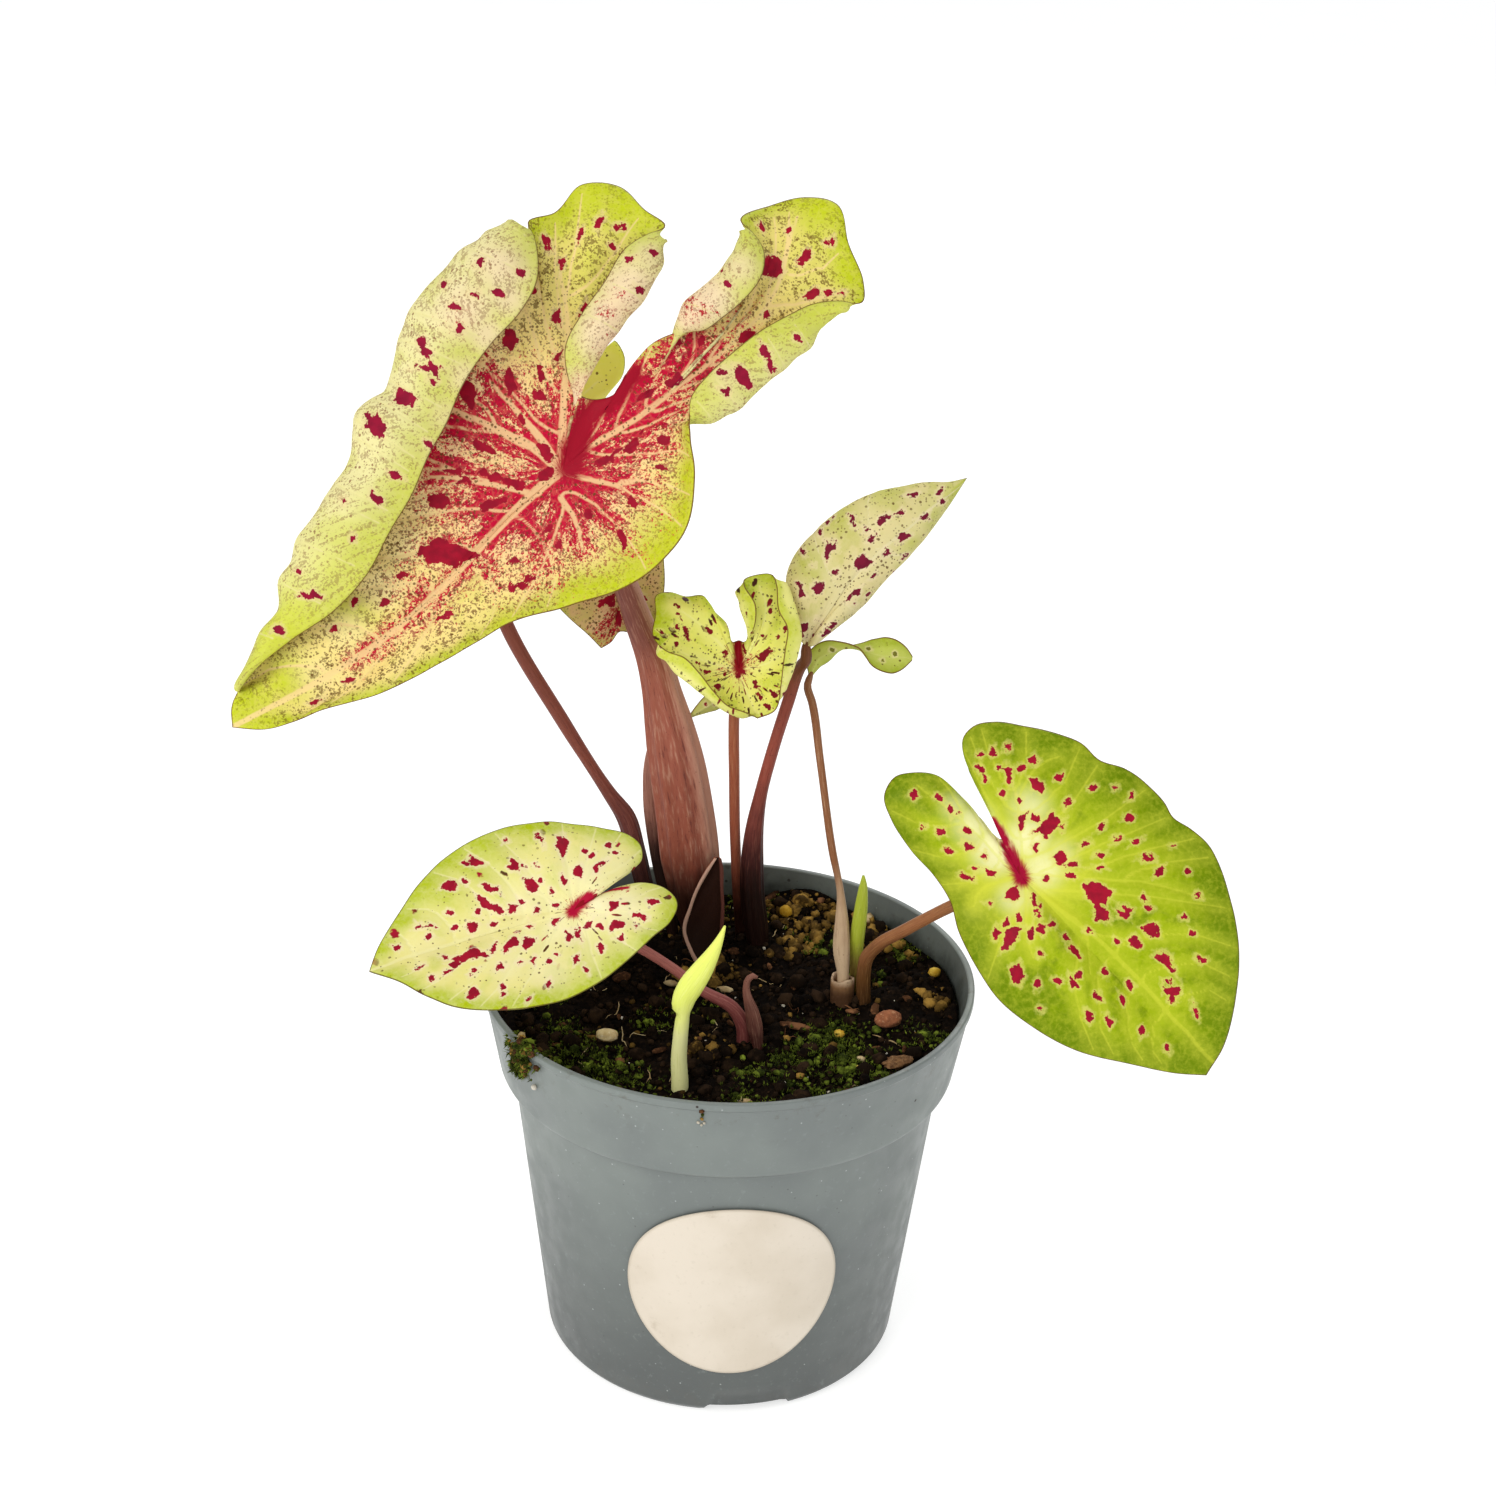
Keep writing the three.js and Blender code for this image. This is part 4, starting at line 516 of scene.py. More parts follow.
def leaf_material(name, colours, blotch="a8142f", halo="e6d6a0", flush="b3122f", dots=0.5,
                  rim="6e3b26", band=9.0, net=0.08, roughness=0.45, red="8e0f1c", speck="5b3b1c",
                  dashes=0.0, glow=0.5, pale="efe3cf", middle=0.0, reach=40.0, patches=0.4,
                  pepper=0.0, bright="d4dc26", clear=0.9):
    """Skin of a caladium leaf: a green margin that fades to a paler middle, pale veins, crimson
    flecks round the joint, angular crimson blotches with a soft halo, fine dark dots and a thin
    dark line along the edge. The colours are the margin's, the middle's and the veins'."""
    margin, inner, vein = colours.split()
    s = Shader(name, margin, roughness, 0.07)
    edge, line, lime = s.attribute("edge"), s.attribute("vein"), s.attribute("lime")
    polar, flushed = s.attribute("polar", "Vector"), s.attribute("flush")

    def streaks(scale, detail=3.0):
        return s.smooth(s.texture(polar, scale, detail, 0.6), 0.3, 0.7)

    inward = s.smooth(edge + (s.noise(14) - 0.5) * 12, band * 0.15, band * 1.7)
    inward = inward * (lime * -1.0 + 1.0)
    s.paint(inward, inner)
    cloudy = s.smooth(s.noise(8, 4, 0.6) + streaks(1.3) * 0.12, 0.5, 0.66, 0, patches)
    s.paint(s.smooth(line, 0.8, 3.5) * cloudy, margin)
    s.paint(s.smooth(s.noise(1.4, 5, 0.7), 0.4, 0.7, 0, 0.35), s.mix(0.75, margin, vein))
    centre = s.smooth(s.attribute("span"), reach, 3)
    s.paint(centre * middle, vein)
    s.paint(s.smooth(line, 3.6, 0.0) * (centre * 0.65 + 0.35) * glow, vein)
    s.paint(lime * 0.6, bright)
    # the pale field is the leaf's own paler colour, and on the large leaf's upper face it is
    # painted light that lifts the rolled margin's shadow
    s.paint(s.smooth(s.attribute("pale"), 0.1, 0.9, 0, 0.85), pale)
    s.paint(s.smooth(flushed, 0.2, 1.0, 0, 0.5), "fcc8a8")

    beside = s.smooth(line + (streaks(0.9) - 0.5) * 2.5, 4.0, 0.4)
    grain = streaks(1.6, 4) * 0.3 + streaks(4.6, 4) * 0.3
    grain = grain + s.smooth(s.noise(0.6, 3, 0.7), 0.32, 0.68) * 0.42
    grain = grain + flushed * (beside * 0.48 + 0.32)
    s.paint(s.smooth(grain, 0.7, 1.0, 0, 0.25) * s.smooth(flushed, 0.1, 0.5), flush)
    s.paint(s.smooth(grain, 0.92, 1.0) * s.smooth(flushed, 0.05, 0.2), flush)
    warped = s.get("ShaderNodeVectorMath", 0, {
        0: s.noise(2.5, 3, out="Color"), 1: (0.0024, 0.0024, 0.0024), 2: s.place},
        operation="MULTIPLY_ADD")
    network = s.voronoi(warped, 1000 / 2.6, feature="DISTANCE_TO_EDGE")
    s.paint(s.smooth(network, 0.12, 0.02, 0, net), vein)
    ribs = s.mix(s.smooth(flushed, 0.2, 0.9, 0, 0.6), vein, "ecba90")
    s.paint(s.smooth(line + (s.noise(1.2) - 0.5) * 0.3, 0.3, -0.15, 0, clear), ribs)

    if pepper:
        patchy = s.smooth(s.noise(6), 0.34, 0.6) * 0.6 + inward * 0.5
        worms = s.noise(0.55, 2, 0.6) * 0.78 + streaks(3.4, 2) * 0.22 + (patchy * 0.07 + 0.02)
        calm = s.smooth(line, 0.1, 0.9) * s.smooth(lime, 1.1, 0.2, 0.1, 1)
        tint = s.mix(s.smooth(flushed, 0.1, 0.5), speck, "9a1230")
        s.paint(s.smooth(worms, 0.6, 0.67) * calm * pepper, tint)
    for size in (0.65, 1.1) if dots else ():
        chosen = s.get("ShaderNodeSeparateColor", 0, {0: s.cells(size, "Color")})
        chosen = s.smooth(chosen, 1 - dots, 1 - dots + 0.03)
        patchy = s.smooth(s.noise(5, 4), 0.34, 0.52) * (inward * 0.7 + 0.3)
        dot = s.smooth(s.cells(size) + s.noise(0.7, 1) * 0.2, 0.46, 0.34) * chosen
        s.paint(dot * patchy * 0.85, speck)
    if dashes:
        lucky = s.get("ShaderNodeSeparateColor", 1, {0: s.voronoi(polar, 0.95, "Color")})
        lucky = s.smooth(lucky, 1 - dashes, 1 - dashes + 0.03)
        mark = s.smooth(s.voronoi(polar, 0.95) + s.noise(0.8, 2) * 0.25, 0.42, 0.34)
        s.paint(mark * lucky, s.mix(s.smooth(s.noise(5, 1), 0.4, 0.6), blotch, speck))

    ragged = (s.noise(1.8, 3, 0.6) - 0.5) * 2.4 + (s.noise(0.5, 2) - 0.5) * 0.4
    spread = s.attribute("blot") + ragged
    s.paint(s.smooth(spread, 0.9, 0.05, 0, 0.6) * s.smooth(flushed, 0.5, 0.1, 0.1, 1), halo)
    core = s.smooth(s.noise(2.2), 0.35, 0.65, 0, 0.45)
    s.paint(s.smooth(spread, 0.1, -0.06), s.mix(core, blotch, s.mix(0.6, blotch, "2e0e1c")))
    wine = s.attribute("red") + (streaks(1.6) - 0.5) * 0.3
    s.paint(s.smooth(wine, 0.12, 0.55, 0, 0.75), s.mix(0.35, red, flush))
    s.paint(s.smooth(wine, 0.42, 0.75), red)
    s.paint(s.smooth(edge, 0.35, 0.1, 0, 0.85), rim)
    s.done((s.smooth(line, -0.3, 0.7), 0.16, 0.6), (s.noise(0.9) + streaks(1.5) * 0.3, 0.07, 0.5))
    through = s.get("ShaderNodeBsdfTranslucent", 0, {"Color": s.colour})
    blend = s.get("ShaderNodeMixShader", 0, {0: 0.15, 1: Value(s, s.main.outputs[0]), 2: through})
    s.feed(s.tree.nodes["Material Output"].inputs["Surface"], blend)
    return s.mat


def make_leaf(name, skins, fan, rows, spacing, ripple, relief, ribs, sides="", spots="",
              size=1.0, random=None, roll_spots="", thickness=0.5, side_width=(0.3, 0.08),
              trails="", clouds={}, clouds_on_roll={}):
    """A leaf with its veins and soft fields. A rib is its width at both ends and x, y places; a
    side vein is its place on a rib and the spokes it bends into; spots have a usual size."""
    blade = Blade("leaf_" + name, JOINTS[name], fan, rows, spacing, ripple, thickness)
    for start, end, *path in table(ribs):
        blade.line(blade.path(pairs(path), 14), start, end)
    for x, y, *bends in table(sides):
        for spoke in bends:
            blade.side_vein(x, y, spoke, *side_width)
    places = [[x, y, *(look or [size])] for x, y, *look in table(spots)]
    blade.blots(places + (blade.scatter(*random) if random else []))
    if roll_spots:
        blade.blots([[x, y, *(look or [1.1])] for x, y, *look in table(roll_spots)], True)
    blade.emboss(*relief)
    blade.clouds(clouds)
    blade.clouds(clouds_on_roll, True)
    for row in trails.split(";"):
        if row:
            key, *numbers = row.split()
            blade.trail(key, *map(float, numbers))
    blade.build(skins, "blade_" + name)


JOINTS = {
    "large": [-42.3, 20, 218.5], "right": [67.5, -15, 134.7], "front": [-36, -25, 127.5],
    "back": [-67.6, 44, 201.1], "middle": [-27.9, 47, 179.1], "heart": [0.2, 25, 168],
    "pointed": [16.3, 29.1, 173.1], "curly": [17.8, 33, 163.8], "little": [-1.6, 36, 156.7],
}


def make_large():
    """Both basal lobes stand up, the left margin and the sides of both lobes are rolled over the
    upper face, and the right margin is turned up."""
    skins = [
        # the upper skin's pale colour fdeaa6 is painted light, laid along the shadow of the rolled
        # margin
        leaf_material("large_upper", "b8c418 fae28c f4d894", flush="c80e38", dots=0.5, band=5,
                      halo="efd898", patches=0.3, speck="66421a", pale="fdeaa6", pepper=0.75,
                      red="a01028"),
        leaf_material("large_under", "cdd05a ece4a6 e6dc98", blotch="9a1636", halo="e8d49a",
                      dots=0.3, net=0.05, roughness=0.55, glow=0.2, pale="f2d8b6",
                      speck="8a5c40", patches=0.4, pepper=0.5)]
    fan = spokes("""
    -7.5 -6 0 -20 -19 0 -41 -39 1 -55.5 -48.5 2 -75.5 -59.5 4;
    -20 -17 1 -40.5 -34.5 2.5 -60 -46.5 3.5 -75.5 -55 5;
    -21 -15 1.5 -41.5 -31 3 -62 -42 -74.5 -50.5 -71 -48 3.5 5;
    -21 -12.5 2 -39.5 -24.5 3 -58 -34 -68.5 -37.5 -61.5 -40 3 7;
    -21 -10 2 -37 -18.5 3 -54.5 -28 -64 -26 -51 -33 3 9;
    -19.5 -8 2 -32.5 -14 3 -48.5 -21 -60 -17 -43 -24.5 2.5 12;
    -18.5 -6 2 -30 -8 3 -44 -11.5 -53.2 -7 -37.5 -14.5 2.5 13;
    -17.5 -2.5 2 -27.5 -2.5 3 -40.5 -2 -48 2 -33 -7 2.5 13;
    -16.5 2 2 -25.5 4.5 3 -37 8 -45.8 13 -29 2 2.5 14;
    -15 6 2 -23 10.5 3 -32.5 14 -39.5 17.8 -25 9.5 2.5 13;
    -14 9.5 2 -21 16 3 -30 21 -37.5 25 -21.5 17.5 2.5 14;
    -12 13 2 -17.5 22 3 -25.5 30 -34 35 -14.5 27.5 2.5 15;
    -10 16 2 -14 27.5 3 -19.5 39 -28.5 42.5 -8 34.5 3 15;
    -7.5 18.5 2 -9.5 31 3 -12.5 45 -22 49.5 -4.5 41.5 3.5 13;
    -5.5 19.5 2 -6.5 34.5 3.5 -8.5 49.5 -15.5 54.5 -4.5 48.5 4 10;
    -4.5 20 2 -5 36 3.5 -6 51 -10.5 56.5 -5.5 52.5 5 7; -3.5 21 2 -4 39 4 -5 49 6 -7 55.8 9;
    -2 21 2 -1.5 39 4 -1 51.5 5 -1 59 5; -.5 21 2 2 39 4 4 55 4 5 66.5 0;
    .5 21 2 4.5 39 4.5 9.5 55 4.5 13.5 66 0; 1.5 19.5 2 7.5 39 4 14.5 53 4 19.5 60 3;
    2 18.5 2 9.5 38 4 18.5 50.5 4 24.5 55.5 6;
    2 17.5 2 9.5 36 3.5 18.5 48.5 25 52.2 20.5 53.5 4.5 4.5;
    2 16 2 9 33.5 3 17 44.5 24.3 47.5 15.5 50 3.5 8;
    2.5 14 2 7.5 27.5 3 13 36.5 19.3 38 10.5 42 3.5 8.5;
    2.5 11.5 2 6 22.5 3 9 28.5 13.5 31 5.5 35 3.5 8; 2 9.5 1.5 4 18 3 6 22.5 9 24 1.5 27 3.5 7;
    1.5 7 1.5 3 14 3 5.5 19 6 2 21 8; 2 7 1 4 17.5 3; 3.5 7.5 .5 7.5 16.5 1; 5 7.5 .5 11.5 17 2;
    6.5 8 .5 12 16 2 17 24.5 4; 7.5 8 .5 15 17 2 21.5 29 5; 9 8 .5 18.5 17.5 2 25 26.5 4 28 31.5 6;
    9.5 8 1 21 18.5 2 29 27.5 26.5 33.5 33.5 31.5 3 6;
    10.5 8 1 23 19.5 2 32.5 30 28.5 37.5 37.5 34 3 8;
    11.5 8 1 26.5 21 2.5 37 34.5 33.5 42.3 42.5 38 3.5 8.5;
    12 8 1 30 23.5 3 41.5 39.5 38.8 47.5 46.5 43.5 4 8;
    12.5 8 1 31 24.5 3 43.5 43 40.8 52 47 49 4 7;
    12.8 8 1 32 25 3 44.3 46.5 41.4 54.3 44.6 53.3 5 4.5;
    13 8 1 32.5 25.5 3 45 41.5 4 45.5 51 6 42 56 8;
    13.5 8 1 33.5 26 3 48.5 43.5 4 49.5 54 3 48.5 61.5 0;
    13.5 8 1 35 26.5 3 52 44.5 4 55.5 55.5 3 57 63.5 0;
    14 7.5 1 36.5 27 3 54 44 4 61 54 3 64 61.5 1;
    14.5 7.5 1 37.5 27 3 56.5 42.5 3.5 63 49 3 66.5 52.5 2;
    14.5 7 1 38 26.5 3 56.5 39 3.5 65.5 42.5 4 70 43.5 3;
    14.5 6.5 1 37.5 25 3 55.5 36.5 3.5 65.5 38 6 69.5 38 6;
    14.2 6.2 1 37 24 3 55 34.5 66.2 36 64 38.2 5 3; 14 6 1 36 23 3 54 32.5 62 33.2 58.5 37.5 4 5;
    13.5 5.5 1 33.5 20.5 3 49.5 28 57.7 27.5 52.5 34.5 4 7;
    13.5 5 1 31 18.5 3 45 24 51.7 22.5 46.5 31 4 8;
    13 4.5 1 29.5 16 3 40.5 20 46.2 17.5 40.5 26.5 4 8; 12.5 4 1 27.5 14 3 36 17 41 13 34.5 21 4 8;
    12 3.5 1 24 10.5 3 31 14 35.5 10.3 30.5 16 4.5 7; 11.5 2.5 1 22 7.5 3 28 9 6 30.3 7 10;
    11 1 1 21 .5 3 28 -1.5 6 31 -3 11; 10 -1.5 1 19.5 -7 3 26 -11.5 6 29 -14.5 10;
    8.5 -4 1 16 -12 3 21.5 -18.5 6 23.5 -21.5 9; 7 -6 1 11 -15 3 14.5 -22.5 5.5 16 -27 8;
    4.5 -7.5 1 4.5 -17.5 3 4.5 -26 5 4.5 -31 7; 2 -8.5 1 -2.5 -19.5 2.5 -8 -30 4 -11 -35.5 6;
    -1.5 -9.5 1 -11.5 -23 2.5 -22.5 -38 4 -27 -44.5 6;
    -5 -11 1 -21 -27.5 2 -34.5 -44 4 -39.5 -51 5.5;
    -7 -10 .5 -28 -33 1.5 -48.5 -51 3.5 -55 -55.5 5;
    -8 -8 0 -30.5 -32 1 -55.5 -52.5 2.5 -68.5 -60 4.5""")
    make_leaf("large", skins, fan, 98, 1.1, 0.7, (0.4, 2.6), ribs="""
    1.15 .6 0 0 -7.5 -6 -20 -19 -28.5 -28 -41 -39 -55.5 -48.5 -75.5 -59.5;
    1.15 .25 0 0 -4.5 7 -10.5 14 -16 20; 1.15 .25 0 0 .5 9.5 1 18.5 2 32 0 45.5;
    .6325 .25 2.5 3.5 9 7 17 11.5 25 17.5 35.5 25.5 48.5 39 55 58;
    1.15 .25 0 0 -7.5 6 -16.5 10.5 -25.5 14; .6325 .25 -5 -5.5 -13.5 -4 -23 -2 -30 -1.5;
    .6325 .25 1 -.5 6.5 -2 12.5 -3.5 19.5 -2; .6325 .25 0 -6.5 3 -10.5 4.5 -15 5.5 -19""", sides="""
    -12 -10.5 6 59.5; -20 -19 5 60.5; -30 -29 4 62; -42 -40 3 63; -54 -47.5 2 63.6; .5 9 11 28;
    1 18 13 25; 1.5 25 14.5 24; 2 32 17 21; 1 40 18 20; 6 5.5 31 54.5; 13 9.5 32 53; 20 14 33 52;
    27 19 35 50; 34 24.5 37 49; 41 31 40 46.5; 48 38.5 41 45.5; 51 46 41.6 44; -7 5.5 9.3;
    -15 10 10.4 8.5; -14 -4 7.4; -22 -2 7.8 6.4; 0 -6 60 57.5; 8 -2.5 56; 13 -3.5 55.3""", spots="""
    8.5 56.5 1.1 2.2; 4.5 54 1; 12.5 55.5 1; 14.5 56 1; 12 51.5 1; -3.5 51.5 1.1 2.2; .5 47.5 1;
    5.5 37 1; -40.5 -30.5 1; -25.5 -33.5 1; -47 -30.5 1; -52 -36.5 1; -49 -48.5 1; 0 -17 1;
    -3.5 -14 1; 52.5 56 1; 46 55.5 1; 48 47 2.2; 62.5 52.5 1; 58 40.5 1.1 2.2; 62 40.5 1;
    64.5 40 1; -21.3 18.4 2.6 1.2; -11.2 30.5 2 1.2; -11.5 21 1.3 1.8; -4.5 21.9 1.3 1.8;
    -4.8 16.9 1.5 1.2; -17.9 5.6 1.5 3; -18 -.4 1.1 1.4; -15.4 -1.9 1.4 1.5; -12.6 -2.7 1.4 1.5;
    -9.9 -3.6 1.1 1.5; -4 -.7 1.7 1.5; -27.1 -7.7 2.2 1.3; -16.4 -8.5 1.5 2.8; -8.9 11.7 1.2 1.5;
    -3.7 4.8 1.4 2.4; -.8 35.5 .9 2; -7.1 41.2 2.1 1.2; -.8 25.6 1 1.5; -24.5 -.4 1.1 2.5;
    27.6 29.9 1.4; 32.8 29.4 1 2; 42.4 30.5 1.5 1.8; 10.3 2.2 1.5 2.8; 16.7 5.7 1.3 1.6;
    24.2 5.7 1.5 1.2; 23.9 .5 1.1 2; 25.9 20.7 1.5 1.6; 20.1 17.8 1.6 1.6; 47.3 35.7 1.2 1.4;
    55.9 48.4 1.4 2.4; -29 -18.6 2.9 1.5; -25.6 -19 2.7 1; -31.8 -19 1.6 1.6; -24.4 -21.4 1.6 1.1;
    -11.2 -27.6 1.5 1; -9.2 -26.6 1.5 1; -7.6 -25.4 1.3 1; -6 -24.8 1 1; -11.2 -21.1 1 1.5;
    14.2 -15.9 1.1 1.6; 6.5 -10.5 1.1 1.5; -55.7 -53.6 1 1.5; -36.6 -24.6 1 1.6; -21.8 -2.7 1 2.5;
    16.3 -7 1.1 1.5""", roll_spots="""
    -17.5 45; -8 44; -25 41; -18.5 37.5; -22 35; -13 38.5; -21.5 30; -30 27.5; -29.5 24.5;
    -27.5 20.5; -29.5 21.5; -27.5 18; -33.5 14.5 2.3; -40.5 8 2.3; -43 11; -29 4.5; -36 -2.5;
    -40.5 -8; -48 -8; -46.5 -17; -55 -29.5; -64 -37.5; -59.5 -24; 42.5 20 2.3; 48.5 22; 37 21;
    38 16.5; 47.5 26 1.2 2.2; 54.5 28.5; 37.5 44.5; 38.5 42; 16.5 47.5; 18 40; 22 49""",
              trails="""flush 9 4 .62 -12 -12 -20 -20 -30 -30 -41 -40 -48 -44;
        red 3.6 2.4 1 2.2 1 4.5 8 7.5 14 12 16.5 17 22""", clouds={
        "red": "2.5 4 3.4 1",
        "flush": """0 0 24 1.15; -12 -8 20 1.05; -20 6 17 1; -14 16 13 .9; -31 -29 11 .6;
            -46 -41 9 .3; 17 13 14 1.15; 30 25 11 1; 42 34 9 .5; 5 -9 10.5 .9; 17 1 7 .65;
            4 22 9 .55; -24 -18 13 .7; -27 2 12 .8""",
        "lime": """5 63 11 1; 16 60 9 1; -1 57 6 .8; 31 -4 7.5 1; 28 -14 9.5 1; 20 -22 9 1;
            5 -31 7 .9; -12 -36 5 .7; 60 61 9 .9; 68 48 8 .9; -72 -58 10 .85; 8 46 12 .45;
            -62.5 -48 6 .95; -69 -52.5 5 .8; -48 -33 5 .8; 58 50 12 .4; 13 -30 8 .8""",
        # painted light: pale clouds on the face just inside the roll's free edge brighten where the
        # roll casts its shadow
        "pale": """-12 39 6 .8; -17 29 6 .8; -21 20 6 .8; -24 11 6 .8; -28 2 6 .8; -32 -7 6 .8;
            -36 -17 7 .8; -42 -27 7 .8; -49 -37 7 .7; -57 -47 7 .6"""}, clouds_on_roll={
        "pale": """16 40 9 .9; 10 30 8 .9; 20 47 6 .6; 34 38 8 .9; 41 45 6 .6; 38 20 6 .5;
            5 21 6 1; 3 17 5 1; 12 35 7 .9; 30 35 6 1; -12 44 9 .7; -20 34 9 .7; -11 37 6 .7;
            -16 29 6 .7; -21 20 6 .6; -25 11 6 .5; -28 3 6 .4""",
        "flush": "5 21 6 .7; 9 28 7 .6; 13 36 6 .45; 31 36 6 .5; 36 42 6 .35; -22 32 7 .3",
        "lime": "-62 -40 12 .9; -50 -22 9 .4; 60 34 7 .5"})


def make_flat_leaves():
    under = leaf_material("leaf_under", "a8b848 b8c465 ccd488", blotch="93404a", halo="c9c57c",
                          dots=0.2, net=0.15, roughness=0.6)
    # It hangs over the rim on the right.
    upper = leaf_material("right_upper", "6c8600 9ab000 dcde44", halo="e4dc74", red="a40c32",
                          dots=0, clear=0.35, band=10, roughness=0.4, middle=0.5, reach=24,
                          patches=0.75, glow=0.65, pale="fbf6c0")
    fan = arched("""
    44 -47 -4 0; 37.5 -46.5 -3 .3; 25.5 -44 -1; 12.5 -40.5 .5; 2.5 -35 1.5; -5 -29 1; -10.5 -21 0;
    -14.5 -13 -1; -16.5 -5.5 -2; -20 0 -2.5; -25.5 6 -4; -30 13 -5.5; -31.5 19 -6; -29 23 -6.5;
    -25 24 -6; -19.5 23.5 -5; -14.5 19.5 -3.5; -10 14.5 -2; -6.5 10 -1; -4.5 8.5 -.5; -3 10 -.5;
    -4.5 13.5 -1.5; -7.5 18 -2.5; -11 23 -3; -13 28 -3.5; -13 32.5 -4; -10.5 35 -5; -5.5 36 -5.5;
    1.5 35 -5; 9.5 33 -3.5; 14.5 31 -3; 18.5 27 -2; 24.5 25 -3; 30.5 21 -4; 34 17 -3; 35.5 14 -2;
    40 11 -4; 44.5 7 -5; 48.5 -2 -4; 50.5 -11.5 -2.5; 51.5 -21.5 -3.5; 50.5 -31 -4.5;
    48 -40.5 -4.5 .3""", 0.05)
    make_leaf("right", [upper, under], fan, 66, 0.85, 0.9, (0.45, 2.2), ribs="""
    .55 .36 .5 .5 9 -7.5 17 -14 25.5 -22 38.5 -36.5 46 -44; .3025 .15 2 .5 17 -.5 31 -2 42.5 -5.5;
    .3025 .15 9 -7.5 15.5 -12.5 33 -14.5; .3025 .15 1 -.5 1 -11 2.5 -19;
    .3025 .15 9 -7.5 14 -11 16 -23; .3025 .15 .5 1 -.5 12 -2 22 -5 28;
    .3025 .15 -1 17.5 3.5 25 9 28; .3025 .15 .5 1 -.5 1 -9 8.5 -17.5 16 -24 21;
    .55 .15 -.5 0 -10 -4 -11 -7""", sides="""
    5 -4 38.6 5.5; 16 -13 2.6; 22 -18.5 39.6 2.2; 28 -25 40.3 1.6; 34 -31.5 41 1.2; -.5 9 24.4 31;
    -1 15 25.4 30; -2 20 26.3 28; .5 5 33; 4 .5 35; 14 0 36.5; 24 -1 37.3; -5 5 8.6 17.5;
    -9 8.5 10 16; -14 13 11.4 15""", size=0.9, spots="""
    -6 29; -2.5 29.5; -9.5 28.5; -9.5 25; -5.5 25.5; 0 25; 3.5 27; -2.5 23.5 1 2.2; -8 23;
    -4.5 19.5; 3.5 21 1.8; 9 23; -.5 17.5; 10.5 17; 17 20.5; 22 20.5; 26 19; 3 13.5; 0 12.5;
    6 11.5 1.8; 9.5 11.5; 18.5 11.5; 25 13; 22 8.5; 27 8.5; 15 7.5; 35.5 7; 3 7; 8.5 4.5 1.8;
    18.5 5; 18 2; 11.5 2.5 1 2.2; 29 4 1 2.2; 32 1; 39 .5; 6 -.5; 12 0; 17 -4.5 2.8; 18 -8.5 1.8;
    24 -7.5; 23.5 -9; 28.5 -5; 29.5 -7.5; 41.5 -4.5; 38 -9.5; -2 -4 1.8; -7.5 -6; 3 -4.5; 3.5 -8;
    -.5 -9.5; -3.5 -10.5; 7 -11; 4.5 -12.5; 2 -14; -2.5 -15 1.8; -6 -13.5; 10 -14.5; 4 -17.5;
    12.5 -17.5 1.8; 15.5 -12; 22 -15; 26.5 -15.5; 29.5 -12.5 1.8; 32.5 -18.5 1 2.2; 42 -19.5;
    39.5 -13.5; -1.5 -23 1.8; 13 -23; 19.5 -22.5; 8.5 -24.5; 12 -25; 3.5 -25; 34 -24.5;
    35.5 -26.5 1.8; 35.5 -29; 25.5 -26; 17.5 -27.5; 23 -28.5; 4 -30.5; 15.5 -32; 20.5 -33.5;
    41 -32; 28 -36.5; 34.5 -40.5; -19 18; -16 15; -24.5 18.5; -22.5 11.5; -18.5 10.5; -12.5 10.5;
    -12.5 7; -17 6; -11 2; -8.5 4.5; -7 .5; -13 0""",
              trails="red 2.1 .9 1 .3 -.3 -1.5 3 -4 8 -7 13", clouds={
        "pale": """-6 6 6 .95; -11 12 6 .7; 1.5 9 6 .8; 2 16 6 .6; 5 2 6 .7; -2 -5 5 .6;
            -15 16 5 .5; 9 5 5 .5"""})
